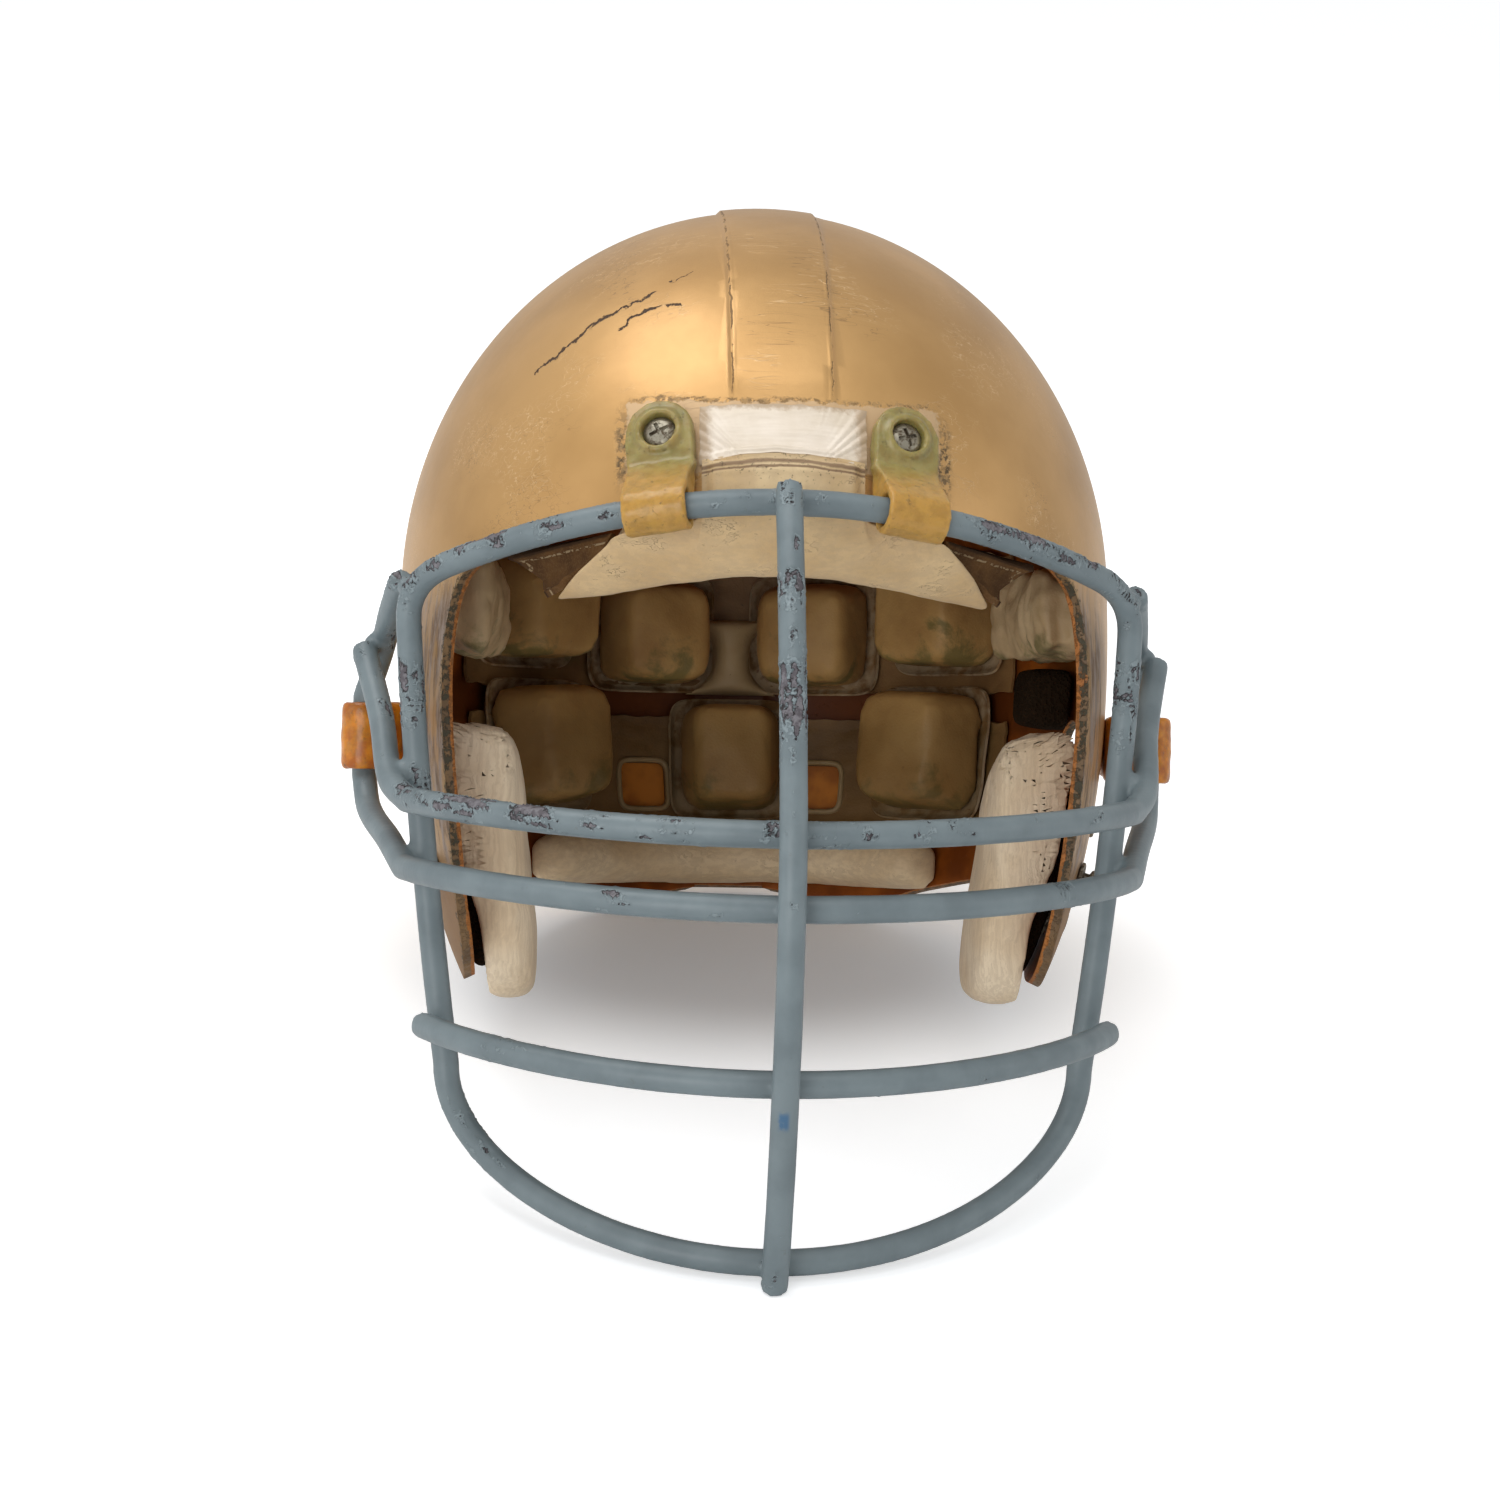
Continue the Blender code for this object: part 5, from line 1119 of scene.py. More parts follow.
@dataclass
class Stuffing:
    """Air pressure that swells merged copies of cushion solids, all in one run of cloth."""

    voxel: float = 0.0030
    plump: float = 0.0005
    pressure: float = 4.0
    last_frame: int = 20
    queue: list = field(default_factory=list)

    def take(self, name: str, node: str, cap: float, flat: Height, voxel: float | None = None) -> Piece:
        """Queue a copy of a packed cushion.

        Args:
            name: Name of the new piece.
            node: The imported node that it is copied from.
            cap: The farthest that a point may move.
            flat: Share of the cap that each place and normal may use, 0 where it rests on something.
            voxel: Size of its faces.

        Returns:
            The new piece, swollen once the queue has run.
        """
        piece = Bench.packed(name, node)
        Bench.remesh(piece, voxel or self.voxel)
        Bench.push(piece, lambda spot, normal: self.plump * flat(spot, normal))
        self.queue.append((piece, cap, flat))
        return piece

    def run(self) -> None:
        """Swell every queued piece, hold each point within its cap and leave no cloth behind."""
        self._blow()
        for piece, _, _ in self.queue:
            Bench.subdivide(piece, 1)

    def _blow(self) -> None:
        """Run the cloth and hold each point within its cap."""
        rests = [[vertex.co.copy() for vertex in piece.data.vertices] for piece, _, _ in self.queue]
        shares = [[flat(v.co, v.normal) for v in piece.data.vertices] for piece, _, flat in self.queue]
        for piece, _, _ in self.queue:
            cloth = piece.modifiers.new("air", "CLOTH")
            cloth.settings.use_pressure = True
            cloth.settings.uniform_pressure_force = self.pressure
            cloth.settings.effector_weights.gravity = 0
        for number in range(1, self.last_frame + 1):
            bpy.context.scene.frame_set(number)
        for (piece, cap, _), rest, share in zip(self.queue, rests, shares):
            Bench.alone(piece)
            bpy.ops.object.modifier_apply(modifier="air")
            for vertex, home, part in zip(piece.data.vertices, rest, share):
                move = vertex.co - home
                reach = min(move.length, cap) * part
                vertex.co = home + (move.normalized() * reach if move.length else move)
        bpy.context.scene.frame_set(1)


# ------------------------------------------------------------------ the shell's form


def limit(value: float) -> float:
    """Return a number kept between 0 and 1."""
    return min(1.0, max(0.0, value))


def smooth_share(value: float, low: float, high: float) -> float:
    """Return a smooth step from 0 at low to 1 at high."""
    share = limit((value - low) / (high - low))
    return share * share * (3 - 2 * share)


def wave(x: float, y: float, z: float) -> float:
    """Return smooth noise at a place in a field whose waves are about 1 long."""
    return noise.noise(Vector((x, y, z)))


def signed_power(value: float, power: float) -> float:
    """Return a power that keeps its number's sign."""
    return math.copysign(abs(value) ** power, value)


def smooth_route(knots: Sequence[Sequence[float]], steps: int = 10) -> list[Vector]:
    """Return points of a smooth curve through all the knots.

    Args:
        knots: The places that it goes through.
        steps: Points from one knot to the next.

    Returns:
        The points.
    """
    knots = [Vector(knot) for knot in knots]
    tangents = [(after - before).normalized() for before, after in zip(knots[:1] + knots, knots[1:] + knots[-1:])]
    route = []
    for (first, start), (second, end) in pairwise(zip(knots, tangents)):
        third = (second - first).length / 3
        handles = first + start * third, second - end * third
        route += geometry.interpolate_bezier(first, *handles, second, steps + 1)[:-1]
    return route + knots[-1:]


@dataclass(frozen=True)
class ShellForm:
    """The smooth outer form of the shell, and charts to places on it."""

    half_width: float = 0.121
    front: float = 0.140
    back: float = 0.142
    crown: float = 0.1325
    skirt: float = 0.200
    wall: float = 0.0038
    skirt_power: float = 2.2
    jaw_square: float = 1.4

    def outer(self, direction: Vector) -> Vector:
        """Return the point that lies in a direction from the origin.

        Args:
            direction: The direction from the origin.

        Returns:
            The place or direction.
        """
        d = direction.normalized()
        reach = self.reach(d.y)
        if d.z >= 0:
            return Vector((self.half_width * d.x, reach * d.y, self.crown * d.z))
        across = math.hypot(d.x, d.y)
        if across < 1e-9:
            return Vector((0, 0, -self.skirt))
        level = across ** (2 / self.skirt_power)
        fall = abs(d.z) ** (2 / self.skirt_power)
        corner = self.corner(fall) if d.y < 0 else 2
        x = self.half_width * level * signed_power(d.x / across, 2 / corner)
        y = reach * level * signed_power(d.y / across, 2 / corner)
        return Vector((x, y, -self.skirt * fall))

    def reach(self, y: float) -> float:
        """Return how far the form goes on the side of the middle that a place is on."""
        return self.front if y < 0 else self.back

    def ring(self, height: float) -> tuple[float, float]:
        """Return the level and the rise, on a ball of radius 1, of the directions to a height."""
        rise = height / self.crown if height >= 0 else -((-height / self.skirt) ** (self.skirt_power / 2))
        return math.sqrt(1 - rise * rise), rise

    def corner(self, fall: float) -> float:
        """Return how square the jaw flaps' plan is at a share of the skirt's depth."""
        return 2 + self.jaw_square * fall

    def level(self, height: float) -> float:
        """Return the share of its full width that the shell has at a height.

        Args:
            height: Height over the middle.

        Returns:
            The number.
        """
        if height >= 0:
            return math.sqrt(1 - (height / self.crown) ** 2)
        return (1 - (-height / self.skirt) ** self.skirt_power) ** (1 / self.skirt_power)

    def normal(self, direction: Vector) -> Vector:
        """Return the outward normal in a direction.

        Args:
            direction: The direction from the origin.

        Returns:
            The place or direction.
        """
        d = direction.normalized()
        first = d.orthogonal().normalized()
        second = d.cross(first)
        along = self.outer(d + first / 1024) - self.outer(d - first / 1024)
        up = self.outer(d + second / 1024) - self.outer(d - second / 1024)
        return along.cross(up).normalized()

    def at(self, direction: Vector, inset: float = 0.0) -> Vector:
        """Return the point at a depth inside the form."""
        return self.outer(direction) - self.normal(direction) * inset

    def around(self, azimuth: float, height: float) -> Vector:
        """Return the direction at an angle round from the front and a height."""
        level, rise = self.ring(height)
        return Vector((level * math.sin(azimuth), -level * math.cos(azimuth), rise))

    def front_at(self, x: float, height: float) -> Vector:
        """Return the direction to the front at a distance across and a height.

        Args:
            x: Distance to the viewer's right.
            height: Height over the middle.

        Returns:
            The place or direction.
        """
        if height >= 0:
            across = x / self.half_width
            return Vector((across, -math.sqrt(self.level(height) ** 2 - across ** 2), height / self.crown))
        share = min(1.0, abs(x) / (self.half_width * self.level(height)))
        sine = share ** (self.corner(-height / self.skirt) / 2)
        level, rise = self.ring(height)
        return Vector((math.copysign(level * sine, x), -level * math.sqrt(1 - sine * sine), rise))

    def side_at(self, side: Side, y: float, height: float) -> Vector:
        """Return the direction to one flank at a distance back and a height below the middle.

        Args:
            side: The helmet's side.
            y: Distance back.
            height: Height over the middle.

        Returns:
            The place or direction.
        """
        corner = self.corner(-height / self.skirt) if y < 0 else 2
        along = math.copysign((abs(y) / (self.reach(y) * self.level(height))) ** (corner / 2), y)
        level, rise = self.ring(height)
        return Vector((side.value * level * math.sqrt(1 - along * along), level * along, rise))

    def crown_at(self, x: float, y: float) -> Vector:
        """Return the direction over the crown at a place in plan.

        Args:
            x: Distance to the viewer's right.
            y: Distance back.

        Returns:
            The place or direction.
        """
        flat = Vector((x / self.half_width, y / self.reach(y), 0))
        flat.z = math.sqrt(1 - flat.length_squared)
        return flat

    def on_wall(self, azimuth: float, height: float) -> Place:
        """Return a chart of the wall: offsets round and up from a place, to a direction."""
        reach = (self.half_width + self.back) / 2 * self.level(height)
        return lambda u, v: self.around(azimuth + u / reach, height + v)


FORM = ShellForm()


def seat(place: Vector, outward: Vector, along: Vector) -> Matrix:
    """Return a frame with Z outward and X as near along as it can be, at a place.

    Args:
        place: The frame's origin.
        outward: The direction that Z follows.
        along: The direction that X is near.

    Returns:
        The frame.
    """
    z = outward.normalized()
    y = z.cross(along).normalized()
    matrix = Matrix((y.cross(z), y, z)).transposed().to_4x4()
    matrix.translation = place
    return matrix


@dataclass(frozen=True)
class EdgeProfile:
    """Side view of the shell's cut edge."""

    brow: float = 0.0235
    face: float = 0.086
    flap: float = 0.129
    heel_back: float = 0.012
    arch: float = 0.099
    lobe: float = 0.112
    nape: float = 0.105

    def points(self, steps: int = 12) -> list[Vector]:
        """Return the edge as points in the middle plane, from the brow to the nape.

        Args:
            steps: Points from one knot to the next.

        Returns:
            The points.
        """
        front, back, face, flap = FORM.front, FORM.back, self.face, self.flap
        brow = ((1.0, 1.0), (0.925, 0.80), (0.857, 0.62), (0.770, 0.515), (0.692, 0.42), (0.628, 0.24))
        cheek = ((0.940, 0.0), (0.910, 0.065), (0.905, 0.18), (0.925, 0.33), (0.940, 0.50), (0.920, 0.64),
                 (0.86, 0.765), (0.74, 0.90), (0.53, 0.985), (0.27, 1.0), (0.05, 0.95))
        knots = [(-share * front, rise * self.brow) for share, rise in brow]
        knots += [(-share * face, -fall * flap) for share, fall in cheek]
        knots += [(self.heel_back, -0.85 * flap), (0.21 * back, -self.arch), (0.42 * back, -0.985 * self.arch),
                  (0.64 * back, -0.985 * self.nape), (0.78 * back, -self.lobe), (0.88 * back, -self.nape)]
        return smooth_route([(0, y, z) for y, z in knots], steps)


PROFILE = EdgeProfile()


@dataclass(frozen=True)
class Shell:
    """The moulded shell: painted outside, bare amber inside, with a raised centre band and ear holes."""

    cuts: int = 71
    overrun: float = 0.030
    ridge_half: float = 0.0150
    ridge_blend: float = 0.0016
    ridge_rise: float = 0.0012
    ridge_start: float = 0.055
    ridge_run: float = 0.006
    ear_radius: float = 0.013
    ear_back: float = 0.016
    ear_drop: float = 0.052
    rim_radius: float = 0.0011

    def build(self) -> None:
        """Model, cut and register the shell."""
        shell = self._ball()
        Bench.cut(shell, self._edge_tool())
        for side in Side:
            Bench.cut(shell, self._ear_tool(side))
        Bench.alone(shell)
        bpy.ops.object.mode_set(mode="EDIT")
        bpy.ops.mesh.select_all(action="DESELECT")
        shell.active_material_index = 1
        bpy.ops.object.material_slot_select()
        bpy.ops.mesh.delete(type="FACE")
        bpy.ops.object.mode_set(mode="OBJECT")
        Bench.weld(shell, 0.0005)
        edge = PROFILE.points(4)
        Bench.mark(shell, "edge_distance", lambda spot, _: line_distance(Vector((0, spot.y, spot.z)), edge))
        painted = len(shell.data.vertices)
        Bench.thicken(shell, FORM.wall, offset=-1, use_even_offset=True, material_offset=1, material_offset_rim=2)
        Bench.store(shell, "wall_depth", [float(k >= painted) for k in range(len(shell.data.vertices))])
        Bench.soften(shell, self.rim_radius, 55)
        Bench.done(shell, Slot.SHELL, GOLD, SHELL_INNER, SHELL_RIM, nodes=["shell"], sharp=60)

    def _ball(self) -> Piece:
        """Return the whole form with its ridge, before it is cut.

        Returns:
            The piece.
        """
        ball = Bench.add(bpy.ops.mesh.primitive_cube_add, "painted_shell", size=2)
        Bench.edit(ball, lambda: bpy.ops.mesh.subdivide(number_cuts=self.cuts))
        for vertex in ball.data.vertices:
            vertex.co = FORM.outer(vertex.co)
        foot = self.ridge_half + self.ridge_blend
        lines = (0.0, 0.5 * self.ridge_half, self.ridge_half, self.ridge_half + self.ridge_blend / 2, foot)
        for x in sorted({sign * line for line in lines for sign in (-1, 1)}):
            Bench.edit(ball, lambda: bpy.ops.mesh.bisect(plane_co=(x, 0, 0), plane_no=(1, 0, 0)))
        ball.data.update()
        Bench.push(ball, self._rise)
        for name in ("outside", "cut", "edge"):
            ball.data.materials.append(bpy.data.materials.new(name))
        return ball

    def _rise(self, spot: Vector, _: Vector) -> float:
        """Return how far the ridge lifts a place.

        Args:
            spot: The place.
            _: Not used.

        Returns:
            The number.
        """
        across = limit((self.ridge_half + self.ridge_blend - abs(spot.x)) / self.ridge_blend)
        start = 1.0 if spot.y > 0 else limit((spot.z - self.ridge_start) / self.ridge_run)
        return self.ridge_rise * across * start

    def _edge_tool(self) -> Piece:
        """Return the block that cuts the shell's edge.

        Returns:
            The piece.
        """
        outline = [(point.y, point.z) for point in PROFILE.points()]
        front, back = -FORM.front - self.overrun, FORM.back + self.overrun
        floor = -FORM.skirt - self.overrun
        outline = [(front, floor), (front, PROFILE.brow)] + outline + [(back, -PROFILE.nape), (back, floor)]
        wide = FORM.half_width + self.overrun
        tool = Bench.add(bpy.ops.mesh.primitive_circle_add, vertices=len(outline), radius=1, fill_type="NGON")
        for vertex, (y, z) in zip(tool.data.vertices, outline):
            vertex.co = (-wide, y, z)
        shift = {"value": (2 * wide, 0, 0)}
        Bench.edit(tool, lambda: bpy.ops.mesh.extrude_region_move(TRANSFORM_OT_translate=shift),
                   lambda: bpy.ops.mesh.normals_make_consistent(inside=False))
        return self._as_tool(tool)

    def _ear_tool(self, side: Side) -> Piece:
        """Return the drill for one ear hole.

        Args:
            side: The helmet's side.

        Returns:
            The piece.
        """
        place = (side.value * FORM.half_width, self.ear_back, -self.ear_drop)
        return self._as_tool(Bench.add(bpy.ops.mesh.primitive_cylinder_add, vertices=64, radius=self.ear_radius,
                                       depth=self.overrun, location=place, rotation=(0, math.pi / 2, 0)))

    @staticmethod
    def _as_tool(tool: Piece) -> Piece:
        """Mark a tool's faces, so that what they leave can be told from the shell.

        Args:
            tool: The cutting tool.

        Returns:
            The piece.
        """
        for name in ("outside", "cut"):
            tool.data.materials.append(bpy.data.materials[name])
        for face in tool.data.polygons:
            face.material_index = 1
        return tool


def line_distance(spot: Vector, line: Sequence[Vector]) -> float:
    """Return the distance from a place to a line through points.

    Args:
        spot: The place.
        line: The line's points.

    Returns:
        The number.
    """
    best = 1.0
    for first, second in pairwise(line):
        step = second - first
        share = limit((spot - first).dot(step) / max(step.length_squared, 1e-12))
        best = min(best, (spot - first - step * share).length)
    return best


@dataclass(frozen=True)
class Bar:
    """A cross bar: how far forward it reaches, and its drop in the middle and at its welds."""

    reach: float
    drop: float
    side_drop: float


@dataclass(frozen=True)
class FaceMask:
    """The welded wire mask, dipped in vinyl after welding, so that the dip fills its corners."""

    wire: float = 0.008
    weld_gap: float = 0.0003
    brow_reach: float = 0.150
    brow_height: float = 0.022
    hoop_half: float = 0.114
    corner_reach: float = 0.095
    corner_drop: float = 0.001
    corner_bend: float = 0.012
    side_reach: float = 0.100
    side_bow: float = 0.0015
    jaw_half: float = 0.099
    jaw_start: float = 0.150
    jaw_foot: float = 0.202
    jaw_reach: float = 0.152
    upper_bar: Bar = Bar(0.190, 0.075, 0.068)
    middle_bar: Bar = Bar(0.190, 0.096, 0.089)
    lower_bar: Bar = Bar(0.1785, 0.1466, 0.136)
    lower_end: float = 0.0053
    nose: float = 0.004
    loop_half: float = 0.1295
    loop_back: float = 0.047
    loop_drops: tuple = (0.062, 0.036)
    loop_top_half: float = 0.1245
    loop_top_drop: float = 0.022
    loop_top_reach: float = 0.051
    voxel: float = 0.00085
    dip: float = 0.0001
    scuff_depth: float = 0.00040
    lip_height: float = 0.00022
    weld_reach: float = 1.25
    weld_spacing: float = 1.3
    weld_radius: float = 0.42
    welds_per_pair: int = 4
    scuffs: tuple = SCUFFS

    def hoop_side(self, height: float) -> Vector:
        """Return the centre of the hoop's right side wire at a height.

        Args:
            height: Height over the middle.

        Returns:
            The place or direction.
        """
        share = (-height - self.corner_drop) / (self.jaw_start - self.corner_drop)
        x = self.hoop_half + (self.jaw_half - self.hoop_half) * share
        y = self.corner_reach + (self.side_reach - self.corner_reach) * min(1, 4 * share)
        return Vector((x + self.side_bow * 4 * share * (1 - share), -y, height))

    def corner(self) -> Vector:
        """Return where the hoop's brow and right side would meet without their bend."""
        return Vector((self.hoop_half, -self.corner_reach, -self.corner_drop))

    def half_hoop(self) -> list[Vector]:
        """Return the right half of the hoop, from the middle of the brow to the middle of the jaw.

        Returns:
            The points.
        """
        corner = self.corner()
        drop = self.brow_reach - self.corner_reach
        radius = (self.hoop_half ** 2 + drop ** 2) / (2 * drop)
        last = self.hoop_half - self.corner_bend
        brow = []
        for k in range(25):
            x = last * k / 24
            z = self.brow_height - (self.brow_height + self.corner_drop) * (x / self.hoop_half) ** 2
            brow.append(Vector((x, radius - math.sqrt(radius ** 2 - x ** 2) - self.brow_reach, z)))
        below = self.hoop_side(-self.corner_drop - self.corner_bend)
        shares = [k / 10 for k in range(1, 10)]
        turn = [brow[-1] * (1 - t) ** 2 + corner * 2 * t * (1 - t) + below * t ** 2 for t in shares]
        sides = [self.hoop_side(below.z + (-self.jaw_start - below.z) * k / 24) for k in range(25)]
        jaw = []
        for k in range(1, 31):
            angle = math.pi / 2 * k / 30
            forward = (self.jaw_reach - self.side_reach) * (1 - math.cos(angle) ** 2)
            jaw.append(Vector((self.jaw_half * math.cos(angle), -self.side_reach - forward,
                               -self.jaw_start - (self.jaw_foot - self.jaw_start) * math.sin(angle))))
        return brow + turn + sides + jaw

    def half_bar(self, bar: Bar, past: float) -> list[Vector]:
        """Return the right half of a cross bar, which laps the hoop's side and ends a little past it.

        Args:
            bar: The bar's sizes.
            past: How far it goes on past the weld.

        Returns:
            The points.
        """
        post = self.hoop_side(-bar.side_drop)
        lap = self.wire + self.weld_gap
        forward = bar.reach + post.y
        radius = (post.x ** 2 + forward ** 2 - lap ** 2) / (2 * (forward - lap))
        half = []
        for k in range(31):
            x = (post.x + past) * k / 30
            rise = (bar.drop - bar.side_drop) * (x / self.hoop_half) ** 2
            half.append(Vector((x, radius - math.sqrt(radius ** 2 - x ** 2) - bar.reach, rise - bar.drop)))
        return half

    def loop_top(self) -> Vector:
        """Return the top of the right side loop."""
        return Vector((self.loop_top_half, -self.loop_top_reach, -self.loop_top_drop))

    def upper(self) -> list[Vector]:
        """Return the right half of the upper bar, with the front of its side loop.

        Returns:
            The points.
        """
        half = self.half_bar(self.upper_bar, 0.35 * self.wire)
        end = half[-1]
        top = self.loop_top() + Vector((0.62, -0.98, 0.16)) * self.wire
        climb = [end, end.lerp(top, 0.20) + Vector((0.30, 0.20, -0.45)) * self.wire,
                 end.lerp(top, 0.60) + Vector((0, 0.25, -0.35)) * self.wire, top]
        return half + smooth_route(climb)[1:]

    def middle(self) -> list[Vector]:
        """Return the right half of the middle bar, with the back of its side loop.

        Returns:
            The points.
        """
        half = self.half_bar(self.middle_bar, 0.75 * self.wire)
        end = half[-1]
        low, high = (Vector((self.loop_half, -self.loop_back, -drop)) for drop in self.loop_drops)
        back = [end, end.lerp(low, 0.35) + Vector((0, 0, -0.25)) * self.wire,
                end.lerp(low, 0.78) + Vector((0.15, 0.35, -0.55)) * self.wire, low]
        stop = self.corner() + Vector((0.25, 0.62, 0.10)) * self.wire
        arch = self.loop_top().lerp(stop, 0.5) + Vector((0, 0, 0.25)) * self.wire
        straight = [low.lerp(high, share) for share in (0.25, 0.5, 0.75)]
        return half + smooth_route(back)[1:] + straight + smooth_route([high, self.loop_top(), arch, stop])

    def face_bar(self) -> list[Vector]:
        """Return the upright bar over the front of the others.

        Returns:
            The points.
        """
        bulge = Vector((0, -self.nose, 0))
        bars = [(bar.reach, bar.drop) for bar in (self.upper_bar, self.middle_bar, self.lower_bar)]
        stops = [(self.brow_reach, -self.brow_height), *bars, (self.jaw_reach, self.jaw_foot)]
        brow, upper, middle, lower, foot = (Vector((0, -reach, -drop)) for reach, drop in stops)
        knots = [brow, brow.lerp(upper, 0.35) + bulge, brow.lerp(upper, 0.70) + bulge, upper, middle,
                 middle.lerp(lower, 0.5) + bulge / 2, lower, lower.lerp(foot, 0.5) + bulge / 2, foot]
        profile = smooth_route(knots)
        route = []
        for k, point in enumerate(profile):
            heading = profile[min(k + 1, len(profile) - 1)] - profile[max(k - 1, 0)]
            outward = Vector((0, heading.z, -heading.y)).normalized()
            route.append(point + outward * (self.wire + self.weld_gap))
        route[0] += (route[0] - route[1]).normalized() * 0.0004
        route[-1] += (route[-1] - route[-2]).normalized() * 0.003
        return route

    def routes(self) -> dict[str, list[Vector]]:
        """Return every wire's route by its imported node.

        Returns:
            The routes.
        """
        def both(half: list[Vector]) -> list[Vector]:
            """Mirror the half and join the two."""
            return [Vector((-p.x, p.y, p.z)) for p in half[:0:-1]] + half

        return {
            "mask_hoop": both(self.half_hoop())[:-1],
            "mask_upper_cross_bar": both(self.upper()),
            "mask_middle_cross_bar": both(self.middle()),
            "mask_lower_cross_bar": both(self.half_bar(self.lower_bar, self.lower_end)),
            "mask_face_bar": self.face_bar(),
        }

    def build(self) -> None:
        """Model the wires, weld them, dip them and register the mask."""
        routes = self.routes()
        parts = [Bench.tube(name + "_wire", route, self.wire / 2 + self.dip, name == "mask_hoop", 6,
                            lambda point: 1.0 + 0.018 * noise.noise(point * 70)) for name, route in routes.items()]
        parts += self._welds(list(routes.values()))
        mask = Bench.join(parts)
        mask.name = "welded_face_mask"
        Bench.remesh(mask, self.voxel, 4)
        self._scuff(mask, routes)
        Bench.done(mask, Slot.WIRE, DIP, nodes=list(routes))

    def _welds(self, routes: Sequence[Sequence[Vector]]) -> list[Piece]:
        """Return a bead of weld where two wires meet.

        Args:
            routes: Every wire's points.

        Returns:
            The beads.
        """
        beads = []
        for first, second in combinations(routes, 2):
            pairs = [(a, min(second, key=lambda point: (point - a).length_squared)) for a in first]
            near = [((a - b).length, (a + b) / 2) for a, b in pairs if (a - b).length < self.weld_reach * self.wire]
            kept: list[Vector] = []
            for _, spot in sorted(near, key=lambda pair: pair[0]):
                if all((spot - other).length > self.weld_spacing * self.wire for other in kept):
                    kept.append(spot)
            beads += [Bench.add(bpy.ops.mesh.primitive_ico_sphere_add, subdivisions=3,
                                radius=self.weld_radius * self.wire, location=spot)
                      for spot in kept[:self.welds_per_pair]]
        return beads

    def _scuff(self, mask: Piece, routes: dict[str, list[Vector]]) -> None:
        """Wear the dip: sunk, lipped scuffs that are drawn out along their wire.

        Args:
            mask: The joined mesh.
            routes: Every wire's points by its node.
        """
        samples = []
        for number, route in enumerate(routes.values()):
            travelled = 0.0
            for first, second in pairwise(route):
                steps = max(1, round((second - first).length / 0.0015))
                for k in range(steps):
                    spot = first.lerp(second, k / steps)
                    samples.append((spot, travelled + (spot - first).length + 3.1 * number))
                travelled += (second - first).length
        tree = kdtree.KDTree(len(samples))
        for k, (spot, _) in enumerate(samples):
            tree.insert(spot, k)
        tree.balance()
        worn = []
        for vertex in mask.data.vertices:
            _, k, _ = tree.find(vertex.co)
            middle, along = samples[k]
            away = (vertex.co - middle).normalized() * 1.6
            grain = Vector((along * 110, away.x + away.y, away.z - away.y + along * 9))
            rough = noise.fractal(grain, 0.8, 2.2, 5) * 0.5 + 0.5
            worn.append(self._wear(vertex.co, vertex.normal, rough, along))
        Bench.store(mask, "chip", worn)
        Bench.move(mask, [self.lip_height * max(0.0, 1 - abs(chip - 0.44) / 0.07)
                          - self.scuff_depth * smooth_share(chip, 0.48, 0.60) for chip in worn])

    def _wear(self, spot: Vector, normal: Vector, rough: float, along: float) -> float:
        """Return how worn the dip is at a place, from 0 to 1.

        Args:
            spot: The place.
            normal: The outward normal there.
            rough: Noise drawn out along the wire.
            along: Distance along the wire.

        Returns:
            The number.
        """
        amount = 0.0
        for x, z, reach, strength in self.scuffs:
            far = math.hypot(spot.x - x, spot.z - z) / reach
            if far < 1 and spot.y < -0.08:
                amount = max(amount, strength * (1 - far ** 3))
        if amount:
            amount *= 0.45 + 0.55 * smooth_share(normal.z - 0.4 * normal.y, -0.5, 0.4)
        amount = max(amount, 0.42 * smooth_share(wave(along * 36, spot.z * 20, 4.0), 0.34, 0.52))
        return limit(rough * 0.9 + amount * 0.72 - 0.50)


# ------------------------------------------------------------------ straps and metal


